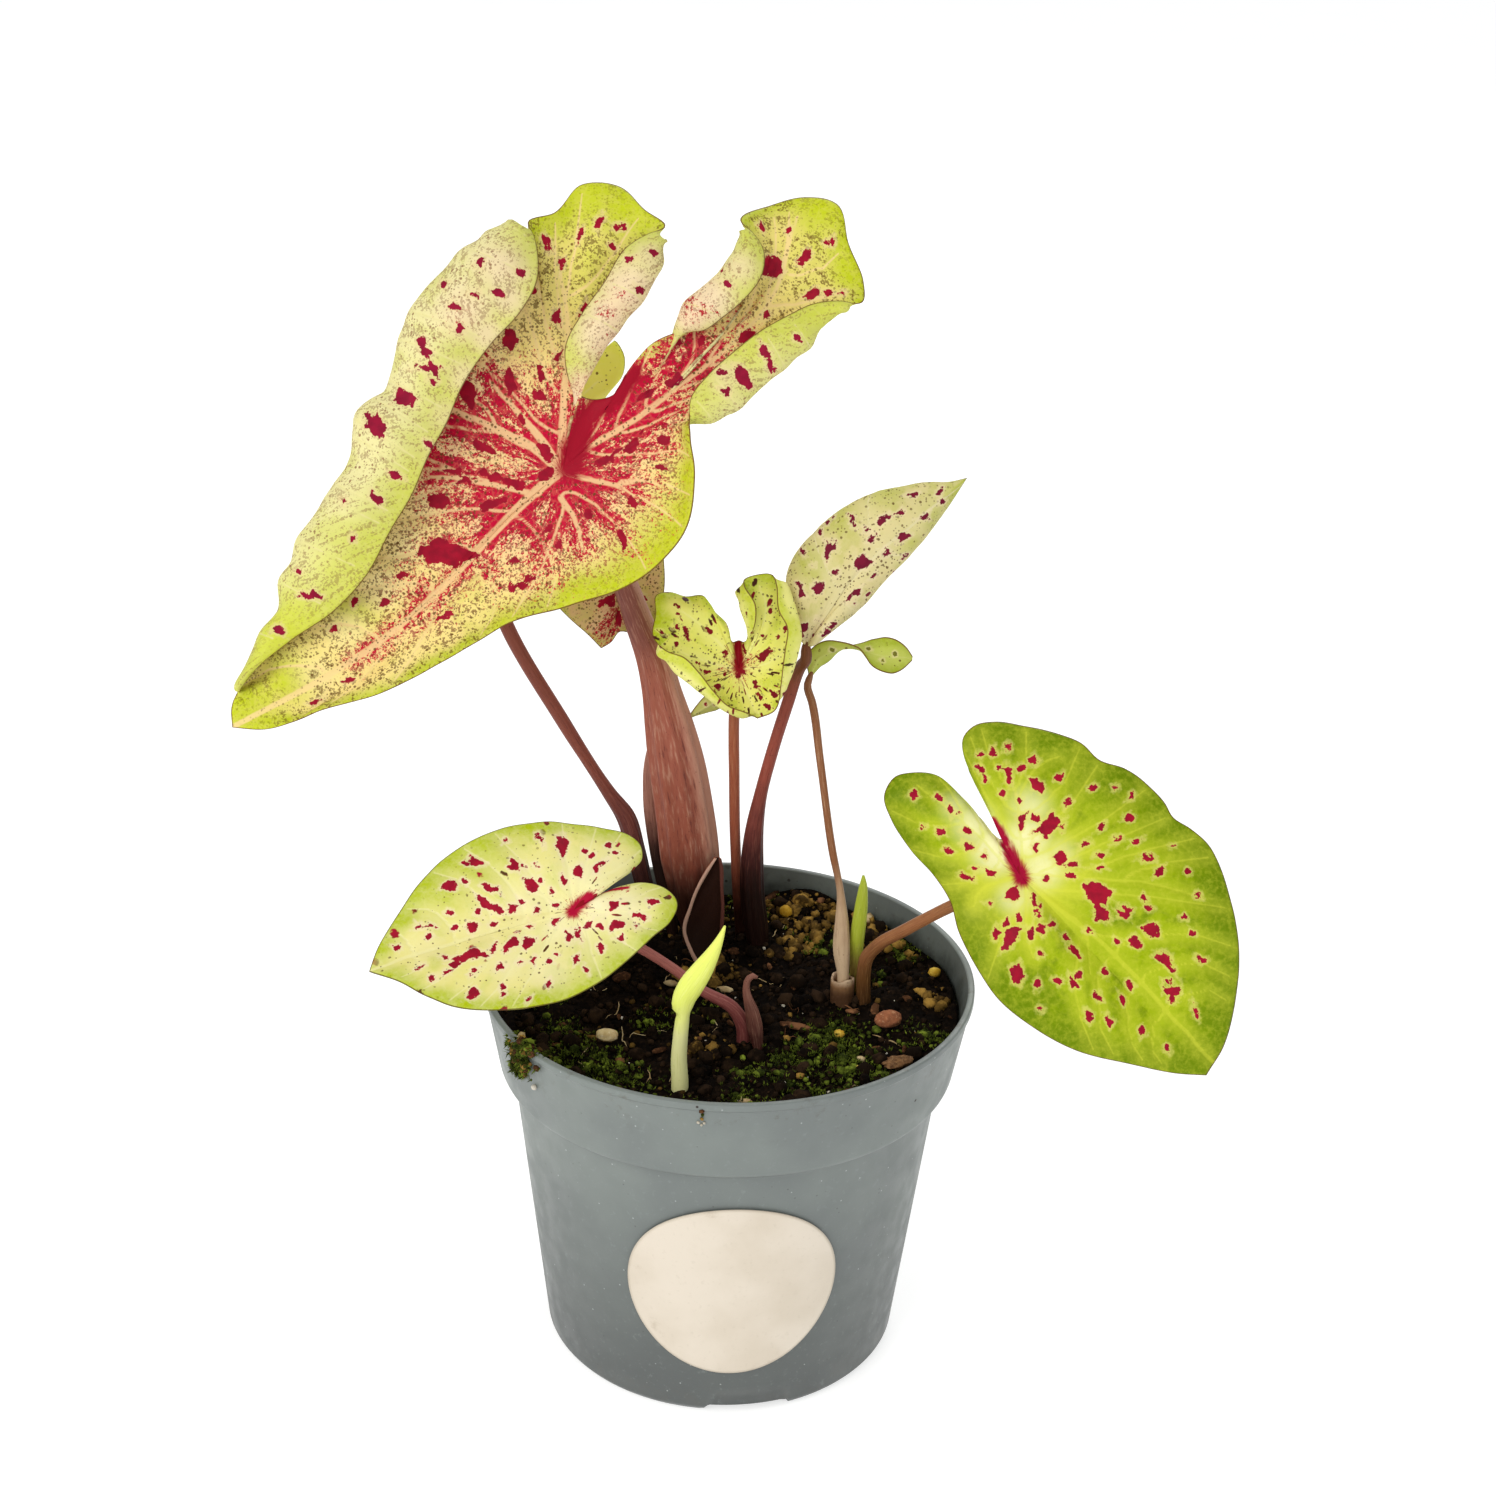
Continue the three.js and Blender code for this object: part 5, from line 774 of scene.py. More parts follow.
    # It is low at the front left, and its lower margin comes forward.
    upper = leaf_material("front_upper", "b4c400 eee48a f6eeb0", red="b40c34", halo="f8e6c0",
                          dots=0.12, band=4, dashes=0.16, rim="5a4420", middle=0.4, reach=24,
                          patches=0.4, clear=0.6, pale="fbefc8", bright="bcc832")
    fan = arched("""
    -45.5 -13 12 0; -44 -8 9 .3; -40.5 -1.5 4; -35 7 -.5; -29.5 12.5 -5; -22.5 16.5 -7;
    -15.5 19 -9.5; -8 20 -10; -1 19.5 -11.5; 5.5 18.5 -11.5; 12 17 -12.5; 15 14.5 -11;
    15.5 11.5 -9.5; 13.5 9 -7.5; 9.5 7.5 -6.5; 6 6 -4; 4 4.5 -4; 6 4 -3; 11 5.5 -5; 16 6 -6;
    20.5 4.5 -7.5; 23.5 1 -5.5; 22 -3 -4; 18 -6.5 .5; 12.5 -11.5 4; 5.5 -16.5 9; -1.5 -19.5 12;
    -8.5 -21 15; -16 -21.5 15; -23 -21 17; -32 -18.5 15.5; -39 -15 14 .3""", 0.05)
    make_leaf("front", [upper, under], fan, 58, 0.75, 0.8, (0.35, 2.2),
              ribs="""
    .45 .288 0 0 -6.5 -2 -17 -4.5 -28 -7.5 -36.5 -10 -45.5 -13;
    .2475 .12 -1 -1 -2.5 -2.5 -5 -6.5 -6.5 -10; .2475 .12 1.5 -1 1 -2.5 3 -6.5;
    .2475 .12 -.5 1 -3 2 -10.5 4; .45 .12 0 0 2 5 6 11; .45 .12 .5 0 8 -.5 17 0""", sides="""
    -6 -2 5.4 27.6; -12 -3.3 4.4 28.6; -19 -5 3.3 29.5; -27 -7.2 2.2 30.3; -36 -10 1.3 31; 0 2 7.6;
    1 3 8.8; 2.5 5.5 9.8 12.5; 4 7.5 11.3; 3 -.2 24.8; 8 -.5 23.6 19; 13 -.2 22.6 20""",
              size=0.8, spots="""
    -3.5 15 1.6; -16.5 15.5; -8 16 .8 2.2; -22.5 11 1.6; -25.5 10.5; -14 10 1.6; -12 10; 1 9 1.6;
    7.5 14.5; 9 12.5; 4 12; 2 13; 6.5 10.5; 5 9.5; -28.5 5.5 1.6; -25 6.5; -20.5 5.5; -18 4.5;
    -10 6 1.6; -8.5 10; -8 7; -5 4.5; -4 1; -2.5 6.5; -28.5 -.5; -19 1 1.6; -17 0; -22 0; -14 .5;
    -11.5 2; -8.5 0; -35 -3.5; -32.5 -3.5; -33 -6; -23 -3.5 1.6; -27 -4; -18.5 -3; -10 -4; -4.5 -3;
    -40 -8.5; -29 -10.5; -26.5 -12; -28.5 -13.5; -23 -10 1.6; -34 -12.5; -31.5 -15; -14 -7.5 1.6;
    -10 -7.5 1.6; -12 -11.5; -9 -11; -18 -9; -16 -13; -22 -13.5; -5 -11.5; -4 -10; -1 -6.5; 1 -6;
    1 -11.5; 6.5 -8.5; 3.5 -3.5; 9.5 -3.5 1.6; 6 -4; 9 1; 18 1.5; 14.5 -1; 16 -2; 14.5 -3.5;
    11 -6.5; -15.5 -16.5; -15 -18.5; -22 -18 1.6; -9.5 -19.5; -5.5 -16.5; 3 -13.5""",
              trails="red 1.7 .5 1 -.3 -.2 3 2.6 7 4 12 4.9", clouds={
        "flush": "1 1 5 .4; 6 3.5 3 .4; 11 4.6 2.5 .35",
        "lime": "-22 12 8 .5; -30 5 7 .4; 8 -12 7 .4; 20 3 6 .3",
        "pale": """5 1 5 .7; 12 1 6 .6; -3 -5 7 .4; 3 8 6 .5; -12 0 8 .4; -5 -14 7 .5;
            -15 -12 7 .45; -22 -5 8 .4; -33 -8 7 .4; 9 11 5 .4"""})
    # It is behind the large leaf; only one lobe shows, through the large leaf's sinus.
    # painted light: this upper skin is painted brighter than the leaf's own colour to offset the
    # large leaf's shade over it
    upper = leaf_material("back_upper_lit", "eef04e f4f26e f8f494", dots=0.1, band=3, patches=0.2,
                          rim="8a7a30")
    fan = arched("""
    -28.5 -36 4 0; -31.5 -25.5 3; -30 -13.5 2; -25.5 0 1; -18.5 12 0; -12.5 19.5 -2; -5 23 -3;
    1 20.5 -3; 4 14 -1.5; 5 9 -.5; 8.5 12 -.5; 16.5 19.5 -1.5; 24 25 -1.5; 29.8 29.8 -1;
    33.9 34.2 -.5; 36.4 40 .5; 38.8 36.2 .5; 38.6 32 .5; 34.5 26.5 0; 29 19.5 0; 23 9 -.5;
    17 -2.5 0; 8.5 -13.5 1; -2 -24.5 2; -15.5 -33 3""", 0.05)
    make_leaf("back", [upper, under], fan, 36, 1.3, 0.7, (0.35, 2.2),
              ribs=".55 .15 0 0 -14 -18 -28.5 -36; .45 .15 0 0 15 12 32 30; .4 .15 0 0 -8 12 -6 21",
              sides="-8 -10 3 22; -16 -20 2 23; 8 7 12 19; 18 15 13 18", random=(26, 21, 0.85))
    # It is behind the thick petiole.
    skins = [leaf_material("middle_upper", "c3c552 dcb884 dccb80", dots=0.75, band=2),
             leaf_material("middle_under", "c4c75c d9bb7e dccc8c", dots=0.6, roughness=0.6)]
    fan = arched("""
    -6.5 -14.5 3 0; -10 -11 2.5; -14 -7.5 2; -18 -3 1; -19.5 2.5 0; -18 9.5 0; -13 15 -1;
    -7 15 -1.5; -3 10.5 -.5; -.5 6 0; 1 10.5 -.5; 4 14.5 -1; 8 11 -1; 9 5.5 0; 9 0 1; 7.5 -6.5 2.5;
    5.5 -11.5 3; 1.5 -11 3; -2 -10.5 3; -4 -13 3""", 0.08)
    make_leaf("middle", skins, fan, 30, 0.8, 0.5, (0.25, 2.2),
              ribs=".35 .15 0 0 -3 -7 -6.5 -14.5; .3 .15 0 0 -10 7 -15 12; .3 .15 0 0 3 7 4.5 13",
              random=(22, 22, 0.8), clouds={"flush": "-4 -8 7 .8"})


def make_young_leaves():
    # The small heart-shaped leaf has both margins turned in.
    skins = [
        leaf_material("heart_upper", "bccc1c ecea6c f4f096", blotch="8a1824", halo="f0ec80",
                      dots=0.35, band=3, dashes=0.85, speck="4a2418", patches=0.5),
        leaf_material("heart_under", "d0d648 f0ec8e f2eea0", blotch="7c2028", halo="f0e898",
                      dots=0.3, band=2, dashes=0.55, speck="4a3a20", roughness=0.55)]
    fan = spokes("""
    1 -3.5 0 3 -8 2 4.5 -12 6; -1 -3.5 .5 -.5 -8.5 3 1 -12 7 1.5 -10.5 9;
    -3 -3.5 1 -4 -7.5 3 -3 -10.5 7 -2.5 -9 9; -5 -2.5 1.5 -8 -5 4 -6.5 -8 7.5 -6 -5.5 9.5;
    -6.5 -1.5 1.5 -12 -2.5 4 -11 -4.5 7.5 -9.5 -1 10; -7.5 0 2 -14.5 2 4.5 -16 -.5 7.5 -13 2.5 10;
    -7.5 2 2 -15.5 7 4.5 -19.5 3 7.5 -17 4 9; -7.5 4 2 -15.5 8.5 4.5 -20.5 7.5 7;
    -7.5 5.5 2 -14.5 11.5 5 -20 13.5 5; -7 7 2.5 -13.5 13.5 5 -20 17.5 4;
    -6 8 3 -11.5 14 5 -16.5 18.5 2; -5 8.5 3 -9.5 14 5 -13 17.5 2;
    -4 8.5 3 -6.5 13.5 4.5 -8.5 17.5 4; -3 7 3 -4.5 11 4 -6 14 3; -2 5 2 -2.5 8 3 -3 11 2;
    -1.5 3.5 1 -1.5 6.5 2; 0 3.5 0 0 7 0; 1 3.5 1 1 6.5 2; 2 4.5 2 3 8 4 1.8 10 6 4 11 8;
    3 5 2.5 4.5 10.5 5 .2 14.5 6.5 4 15 10; 3.5 5.5 2.5 5.5 13 5 -.8 18.5 5.5 1.5 19.5 8;
    4 5.5 2.5 6.5 14 5 2 22 3; 4.5 5.5 2.5 8 14 5 7 23 2;
    5.5 5.5 2.5 10.5 13 4 11.5 20.5 5 9 19.5 8; 6 4.5 2.5 11 9 4 13.5 15 7 9.5 13.5 10;
    6.5 3.5 2.5 11.5 7 4 15 9 7.5 11.5 9.5 10.5; 6 1.5 2 11 3 4 14.5 4.5 7.5 11 4.5 10;
    5.5 -.5 1.5 9.5 0 3.5 13 -1 7 10.5 .5 9.5; 4.5 -2 1 8 -3.5 3.5 11.2 -5.5 7 10 -4 8.5;
    3 -3 .5 6 -7 3 8.5 -10.3 6.5""")
    make_leaf("heart", skins, fan, 44, 0.7, 0.25, (0.2, 1.6), ribs="""
        .35 .15 0 0 1 -3.5 3 -8 4.5 -11; .3 .1 0 0 -5 6.5 -11 12 -16 15; .3 .1 0 0 4 7 6.5 14 5 20;
        .25 .1 0 0 -7 1.5 -14 4; .25 .1 0 0 6 1 11 4""", size=0.7, spots="""
    -15 10; -13 9.5; -7.5 9.5; 7.5 13.5; 6 3.6 1.1 2.4; -7.5 -.8 .9 1.8; -15.5 6; -10 1.5; -5 -4.5;
    4 -3.5; 5 -6.5; 8.5 -6; 7 -9.5""",
              random=(34, 5, 0.42), thickness=0.4, trails="red 1.6 2 1 0 .3 0 3.5 -.3 6.8",
              clouds={"flush": "0 0 4.5 .55; -4 -.5 3 .5; 3 2 3 .5"})
    # The pointed leaf is rolled back round its own midrib, its underside to the front.
    skins = [
        leaf_material("pointed_upper", "b0bc30 ccd04e dcdc78", dots=0.4, band=2),
        leaf_material("pointed_under", "b4b840 dfd096 e4d9a8", blotch="7e1a34", halo="ecdab0",
                      dots=0.4, band=3, net=0.05, roughness=0.5, bright="b9c244")]
    fan = spokes("""
    7 10.5 3.5 15 20 5.5 26 29.5 5 39 40.5 1; 7 10.5 4 14 22.5 6 23.5 34.5 4 28 39 0 28 38 -2;
    5.5 10.5 4 11.5 22.5 6 16.5 36.5 2 18 34.5 -2.5; 4.5 10 4 8 21 6 8.5 32.5 2 10.5 30 -4;
    3 9.5 4 3.5 19 5.5 2 27 2 4.5 26 -5; 1.5 8 3.5 0 15 5 -3 20.5 1.5 0 21 -6;
    0 6.5 3 -2 10.5 4 -4.5 15 1 -2 16 -6; -1 3.5 2.5 -2 7 2 -3 10.5 -1 -1 11.5 -6;
    -.5 .5 1 -1.5 2 0 -1.3 4 -2 -.8 6 -5; .5 0 -1 .5 1.5 -3; 1.5 0 1.5 3 1 0 3 2.5 -2 2.5 5 -5;
    3 2 2.5 6 3.5 1.5 7 4.5 -1 6.5 8 -6; 4.5 4.5 3.5 10 7.5 2.5 12.5 8.5 0 12.5 12 -6;
    7 8 4 14 13 3.5 19 16 .5 19.5 18.5 -5; 8.5 10 4 18 18.5 4 26 23 1 27.5 25 -4;
    8.5 11 4 20 23 5 31.5 31.5 2 34.5 33.5 -2""")
    make_leaf("pointed", skins, fan, 48, 0.75, 0.25, (-0.2, 1.6),
              ribs=".35 .1 0 0 7 10.5 15 20 26 29.5 38 39.5",
              sides="18 22.5 2 14; 9 13 4; 8 11 12", side_width=(0.2, 0.06), size=0.75, spots="""
    26 36; 32.5 37; 22.5 31.5; 18 29.5 .95; 11 29.5; 14.5 27; 15.5 25.5; 28.5 30.5; 23.5 26 1.3;
    5.5 23.5 1.3; 1.5 19; 19 22; 23.5 21.5; 13 19 1.75; 16 16.5; 7 17.5; 3 13.5 1.75; -1 12.5;
    -1.5 14.5; 12 12.5; 10 11; 11.5 10; -.5 4.5 1.3; 6.5 5; 4.5 3""",
              random=(14, 9, 0.5), thickness=0.4, clouds={
        "lime": "1 20 5 .5; 8 31 5 .5; 18 37 5 .5; 37 38 6 .9; 31 31 4 .5; 25 24 4 .4"})


def make_ribbon(name, skin, path, spots):
    """A narrow leaf along a path of x, y, z, half its width and its roll in degrees, slightly
    trough-shaped, both ends drawn to a point. A spot is its share of the length, its place
    across and its radius."""
    stations, across = 70, 18
    points = along(table(path), stations)
    tangent = unit(np.gradient(points[:, :3], axis=0))
    side = unit(np.cross([0, 0, 1.0], tangent))
    roll = np.radians(points[:, 4])[:, None]
    side = side * np.cos(roll) + np.cross(tangent, side) * np.sin(roll)
    hollow = np.cross(tangent, side)[:, None]
    s = np.linspace(-1, 1, across + 1)
    half = points[:, 3:4]
    grid = (points[:, None, :3] + side[:, None] * (half * s)[..., None]
            - hollow * (0.35 * half * s**2)[..., None])
    crease = 0.12 * np.exp(-(s / 0.12)**2)[None, :] * np.clip(half, 0, 2)
    grid = grid + hollow * crease[..., None]
    normal = unit(np.cross(np.gradient(grid, axis=0), np.gradient(grid, axis=1)))
    thin = (0.22 * np.clip(1.25 - np.abs(s)**6, 0.4, 1))[None, :, None]
    joint = np.array(JOINTS[name])
    top, low = (joint + (grid + normal * t) @ LEAF_AXES for t in (thin, -thin))
    rings = np.concatenate([top, low[:, ::-1]], axis=1)
    sides = rings.shape[1]
    faces = [[a, b, b + sides, a + sides] for i in range(stations - 1) for j in range(sides)
             for a, b in [(i * sides + j, i * sides + (j + 1) % sides)]]
    which = [int(j > across) for _ in range(stations - 1) for j in range(sides)] + [0, 0]
    faces += [list(range(sides))[::-1], list(range((stations - 1) * sides, stations * sides))]
    blot = np.full(grid.shape[:2], FAR)
    for row, place, radius in spots:
        gap = grid - grid[int(row * (stations - 1)), int((place + 1) / 2 * across)]
        blot = np.minimum(blot, np.linalg.norm(gap, axis=-1) - radius)
    fields = {"edge": half * (1 - np.abs(s)), "vein": np.minimum(np.abs(half * s) - 0.15, FAR),
              "blot": blot}
    double = {key: np.concatenate([v, v[:, ::-1]], axis=1).ravel() for key, v in fields.items()}
    piece("leaf_" + name, rings.reshape(-1, 3), faces, [skin, skin], "blade_" + name,
          double, which)


def make_ribbons():
    skin = leaf_material("curly_skin", "a6b430 b8c24a ccd070", blotch="7d7a2e", dots=0.12, band=1)
    make_ribbon("curly", skin, """
    0 0 0 .6 20; 1.5 3.5 .5 2.6 25; 4.5 5.5 1 3 40; 8 6.5 1 2 70; 11 6.5 .5 1.7 100;
    14 5.5 0 3.3 140; 17.5 4.6 0 4.4 165; 20.5 4.4 -.5 4.1 180; 23 4.2 -1 2.6 185;
    25 4 -1.5 .5 185""", [(0.3, 0.2, 0.5), (0.62, -0.3, 0.55), (0.75, 0.3, 0.5), (0.85, -0.2, 0.4)])
    skin = leaf_material("little_skin", "a9b640 bfc15c d0d080", blotch="8a1f2c", dots=0.3, band=1)
    make_ribbon("little", skin, """
    0 0 0 .6 0; -2 -1 .5 1.8 -10; -5 -2.5 1 2.3 -20; -7.5 -4 .5 1.6 -30; -10 -5.5 0 .5 -40""",
                [(0.4, 0.2, 0.4), (0.6, -0.3, 0.35)])


# ------------------------------------------------------------------ stems
# A stem's slot, sides, skin and path: x, y, z, half its width, half its depth where that is not
# the same, and how deep its pleats are. Under the soil every stem stands straight up.
THIN, MAROON, PLAIN = "petiole_thin", "petiole_maroon", "petiole_pink_brown"
STEMS = {
    "petiole_large": (PLAIN, 72, "petiole_pink", """
        -7.5 32.3 70 4.1; -7.7 32.2 86 4.3; -8 32 94 4.8 4.6 .03; -9.2 31.3 101 5.8 4.9 .06;
        -10.8 31 113 6.9 5.2 .08; -13 31 129 6.9 5.1 .08; -14.8 31 140 6.6 4.9 .07;
        -16.8 32 149.5 5.8 4.4 .06; -18.8 33 158 4.8 3.9 .05; -20.7 34 166 4.2 3.5 .03;
        -24.6 36 175.1 3.5 3.3; -28.4 37 185 3.1 3; -34.1 34 198.8 2.9 2.8"""),
    "petiole_back": (MAROON, 44, MAROON, """
        -19.2 38.2 70 1.9; -19.3 38 88 2; -23 37.8 103.5 2.3 2.1 .05; -25 38 112 2.4 2.1 .05;
        -27.8 39 121 2.4 2 .04; -31.5 39.3 126.5 1.8; -44.4 41 147 1.75; -57.4 43 169.6 1.8;
        -63.5 45.5 185 1.8"""),
    "petiole_middle": (PLAIN, 32, THIN, """
        -5.5 43 70 1.1; -5.6 42.6 88 1.1; -8.5 43 106.8 1.1; -13 44 129 1.1; -17.5 46 146 1.1;
        -22.3 48 161.5 1.1"""),
    "petiole_heart": (PLAIN, 32, THIN, """
        2.8 36.3 70 1.4; 2.6 36.1 88 1.4; 1.4 35.3 102.6 1.35; .3 34 120 1.35; -.3 33 137.4 1.35;
        -.7 32 152.2 1.35; -.4 30 161.5 1.3"""),
    "petiole_pointed": (MAROON, 48, "petiole_rosy", """
        7.6 31.9 70 2.4 2.3; 7.3 31.8 87 2.6 2.4; 6.6 31.2 93 2.9 2.6 .05; 5.2 31 103 3 2.6 .07;
        4.8 31 113 2.8 2.3 .06; 5.4 31 124 2.1 1.9 .03; 6.4 31.2 131 1.65 1.6; 8.7 30.9 142.2 1.5;
        12.4 29.8 157.4 1.5; 15.1 29.4 167.3 1.5"""),
    "petiole_curly": (PLAIN, 36, "petiole_beige", """
        28 3.5 70 1.45; 28 3.5 88 1.5; 28 3.6 96.5 1.45; 27.4 5.5 102 2 1.7 .04;
        27.2 8 109.5 1.6 1.4 .03; 26.8 9.7 115 1; 24.3 13 126 .95; 20.7 22.3 145.7 .95;
        18.4 29.5 157.7 1"""),
    "petiole_right": (PLAIN, 36, "petiole_right_skin", """
        33.6 2.5 70 1.8; 33.5 2.5 88 1.8; 33 2.5 97 1.75; 33.6 2 102.5 1.7; 36 .8 106.5 1.6;
        42.2 -2 112.5 1.5; 51.8 -6 121 1.45; 60.1 -8.5 126.8 1.5"""),
    "petiole_front": (PLAIN, 36, "petiole_front_skin", """
        4 -14.4 70 1.7; 4.1 -14.4 86 1.75; 3.8 -14.6 92 1.8; 1.2 -15.6 97.3 1.6;
        -5.9 -17 102.5 1.3; -13.8 -19 110 1.2; -20.9 -20.5 115.6 1.2; -28.9 -20.8 120.3 1.2"""),
    "petiole_little": (PLAIN, 24, THIN, """
        2.4 40.6 70 .8; 2.4 40.5 88 .8; .6 40 108 .8; -.3 40 131 .8; -.5 39.5 144 .8;
        -.9 38 152 .8"""),
    "cataphyll_left": (PLAIN, 32, "cataphyll_skin", """
        -14.6 36.8 70 1.4 1.2; -14.9 36.6 88 1.5 1.2; -16.6 36.8 98 1.7 1.2 .04;
        -19.5 37.6 112.4 1.9 1.2 .05; -21.3 38.5 127 1.9 1 .05; -21.8 39.2 137 1.1 .7 .02;
        -21.7 39.6 141 .35 .3"""),
    "shoot_green": ("shoot_green", 32, "green_shoot", """
        32 8.6 70 1.2; 31.9 8.4 88 1.3;
        31.2 8.3 98.3 1.6 1.5; 31.3 8.3 104.8 1.75 1.4; 31.7 8.4 110.4 1.7 1.2;
        32 8.4 115.9 1.35 .9; 32.1 8.4 119.2 .9 .7; 32 8.5 121.5 .3"""),
    "shoot_pale": ("shoot_pale", 40, "pale_shoot", """
        -10.6 -34 70 1.9; -10.6 -34 88 2;
        -10.9 -34 94 1.85; -10.7 -34 99 1.75; -10.3 -34 104.4 1.65; -10.1 -34 106.4 1.6;
        -10.3 -34 107.5 2.3 1.7; -10.1 -34 109.7 2.65 1.8; -8.6 -34 113.2 2.95 1.9;
        -6.3 -34 117.2 2.6 1.7; -4 -34 121.5 1.8 1.4; -2.2 -34 125.7 .95 .9; -1 -34 129.4 .25"""),
    "bract_small": ("sheath_pale", 28, "bract_rosy", """
        7.7 -17.6 70 1.2 1.1; 7.5 -17.4 88 1.3 1.1;
        6.7 -17.1 93 1.85 1.2; 5.8 -17 97.5 1.6 1.1; 4.8 -17 100.8 1.15 .8; 4.3 -17 103.8 .8 .6;
        4.8 -17 106.2 .8 .6; 6.1 -17.1 107.1 .75 .5; 6.9 -17.2 106.7 .4 .3"""),
}
# Where a petiole enters its blade from, if not square to the face.
SEATS = {"petiole_pointed": [0, -1, 0], "petiole_curly": [-0.3, -0.9, 0],
         "petiole_little": [0.9, -0.7, -0.4]}
PLEATS = 9


def stem_end(name, width, depth):
    """The last points of a petiole, run into the back of its blade."""
    seat = np.array(SEATS[name]) if name in SEATS else -np.array(FACE_NORMALS[name])
    if name in SEATS:
        reach = np.linalg.norm(seat)
        steps = [(reach + 1.5 * width, 0.95), (reach - 0.3, 0.8), (-0.9, 0.4)]
    else:
        steps = [(0.8 + 1.5 * width, 0.95), (0.4, 0.95)]
    seat = seat / np.linalg.norm(seat)
    return [[*(JOINTS[name[8:]] + d * seat @ LEAF_AXES), width * share, depth * share, 0]
            for d, share in steps]


def make_stem(name, sides, skin, path):
    path = [[*row, *([row[3], 0] if len(row) == 4 else [0] * (6 - len(row)))]
            for row in table(path)]
    if name.startswith("petiole_"):
        path += stem_end(name, *path[-1][3:5])
    length = chords(path)[-1]
    count = max(int(length / 1.1), 24)
    points = along(path, count)
    angle, run = circle(sides), np.linspace(0, length, count)
    x, y = np.meshgrid(angle * 4, run, indexing="xy")
    waves = Ripple(len(name) * 7 + sides)
    rough = 1 + 0.05 * waves(x + 40, y + 9, 9, 2) * np.sin(np.pi * np.clip(x / 25, 0, 1))
    pleat = 1 + points[:, 5:6] * np.cos(PLEATS * angle) + 0.012 * np.cos(23 * angle)
    shape = pleat * rough
    rings = rings_along(points, sides, points[:, 3:4] * shape, points[:, 4:5] * shape)
    vertices, faces = closed_loft(rings)
    turn = np.r_[np.tile(angle, count), 0, 0]
    climb = np.r_[np.repeat(run, sides), 0, length] * 0.02
    coil = np.stack([np.cos(turn), np.sin(turn), climb], -1)
    piece(name, vertices, faces, [skin], name, {"coil": coil, "high": vertices[:, 2]})


def stem_material(name, low, high, streak, side=None, shade="5b2c28", from_z=95.0, to_z=175.0,
                  painted_shade_top=100.0, top=None, top_z=0.0):
    """Skin of a petiole: colour changes up its length, with fine lengthwise streaks and specks, and
    painted shade near black low down by the soil.
    """
    s = Shader(name, low, 0.45, 0.16)
    height, coil = s.attribute("high"), s.attribute("coil", "Vector")
    s.paint(s.smooth(height + (s.noise(12) - 0.5) * 20, from_z, to_z), high)
    if top:
        s.paint(s.smooth(height + (s.noise(8) - 0.5) * 10, top_z - 14, top_z, 0, 0.85), top)
    streaks = s.texture(coil, 9.0, 5.0, 0.65)
    s.paint(s.smooth(streaks, 0.5, 0.68, 0, 0.55), streak)
    s.paint(s.smooth(streaks, 0.44, 0.32, 0, 0.7), shade)
    if side:
        turned = s.get("ShaderNodeSeparateXYZ", "X", {0: coil})
        s.paint(s.smooth(turned + (streaks - 0.5) * 0.5, 0.42, 0.8, 0, 0.6), side)
    s.paint(s.smooth(s.cells(1.1), 0.2, 0.1) * s.smooth(s.noise(4), 0.45, 0.6, 0, 0.5), shade)
    # painted shade: the skin darkens to near black over 18 mm below the given height, standing in
    # for the shade among the stems at the soil
    s.paint(s.smooth(height + (s.noise(4) - 0.5) * 8, painted_shade_top, painted_shade_top - 18, 0, 0.9), "120a06")
    return s.done((streaks, 0.12, 0.6), (s.noise(0.7, 2), 0.04, 0.4))


def make_stems():
    looks = [
        ("petiole_pink", "8c4a38", "985645", "bb8d76", dict(
            side="c0947e", painted_shade_top=121, top="7c4840", top_z=176)),
        (MAROON, "5c302c", "844638", "92594a", dict(
            shade="3c1c1c", from_z=112, to_z=138, painted_shade_top=117)),
        ("petiole_rosy", "4c2422", "964a3c", "92594a", dict(
            shade="321618", from_z=114, to_z=140, painted_shade_top=122, top="664022", top_z=170)),
        ("cataphyll_skin", "643a32", "a87464", "b98c7a", dict(
            shade="50291f", from_z=110, to_z=136, painted_shade_top=126)),
        ("bract_rosy", "4a2520", "8a5a4c", "b08a74", dict(
            shade="3a1c18", from_z=92, to_z=104, painted_shade_top=96)),
        (THIN, "964f3a", "9e5a3c", "c08664", dict(shade="70362a", painted_shade_top=112)),
        ("petiole_beige", "c0a585", "845232", "c8a884", dict(
            shade="744a34", from_z=106, to_z=124, painted_shade_top=94)),
        ("petiole_front_skin", "7d3f3c", "a8625a", "c08274", dict(
            shade="53262a", from_z=92, to_z=116, painted_shade_top=96)),
        ("petiole_right_skin", "64401f", "98623f", "b98a5a", dict(
            shade="553420", from_z=96, to_z=116, painted_shade_top=101)),
        ("green_shoot", "8f7a3c", "a8b436", "c8cc6c", dict(
            shade="7c8a2c", from_z=98, to_z=110, painted_shade_top=97)),
        ("pale_shoot", "e8e6a2", "e2ea6c", "f2f4a4", dict(
            shade="ccd070", from_z=98, to_z=110, painted_shade_top=89))]
    skins = {name: stem_material(name, *colours, **more) for name, *colours, more in looks}
    for name, (slot, sides, skin, path) in STEMS.items():
        make_stem(name, sides, skins[skin], path)


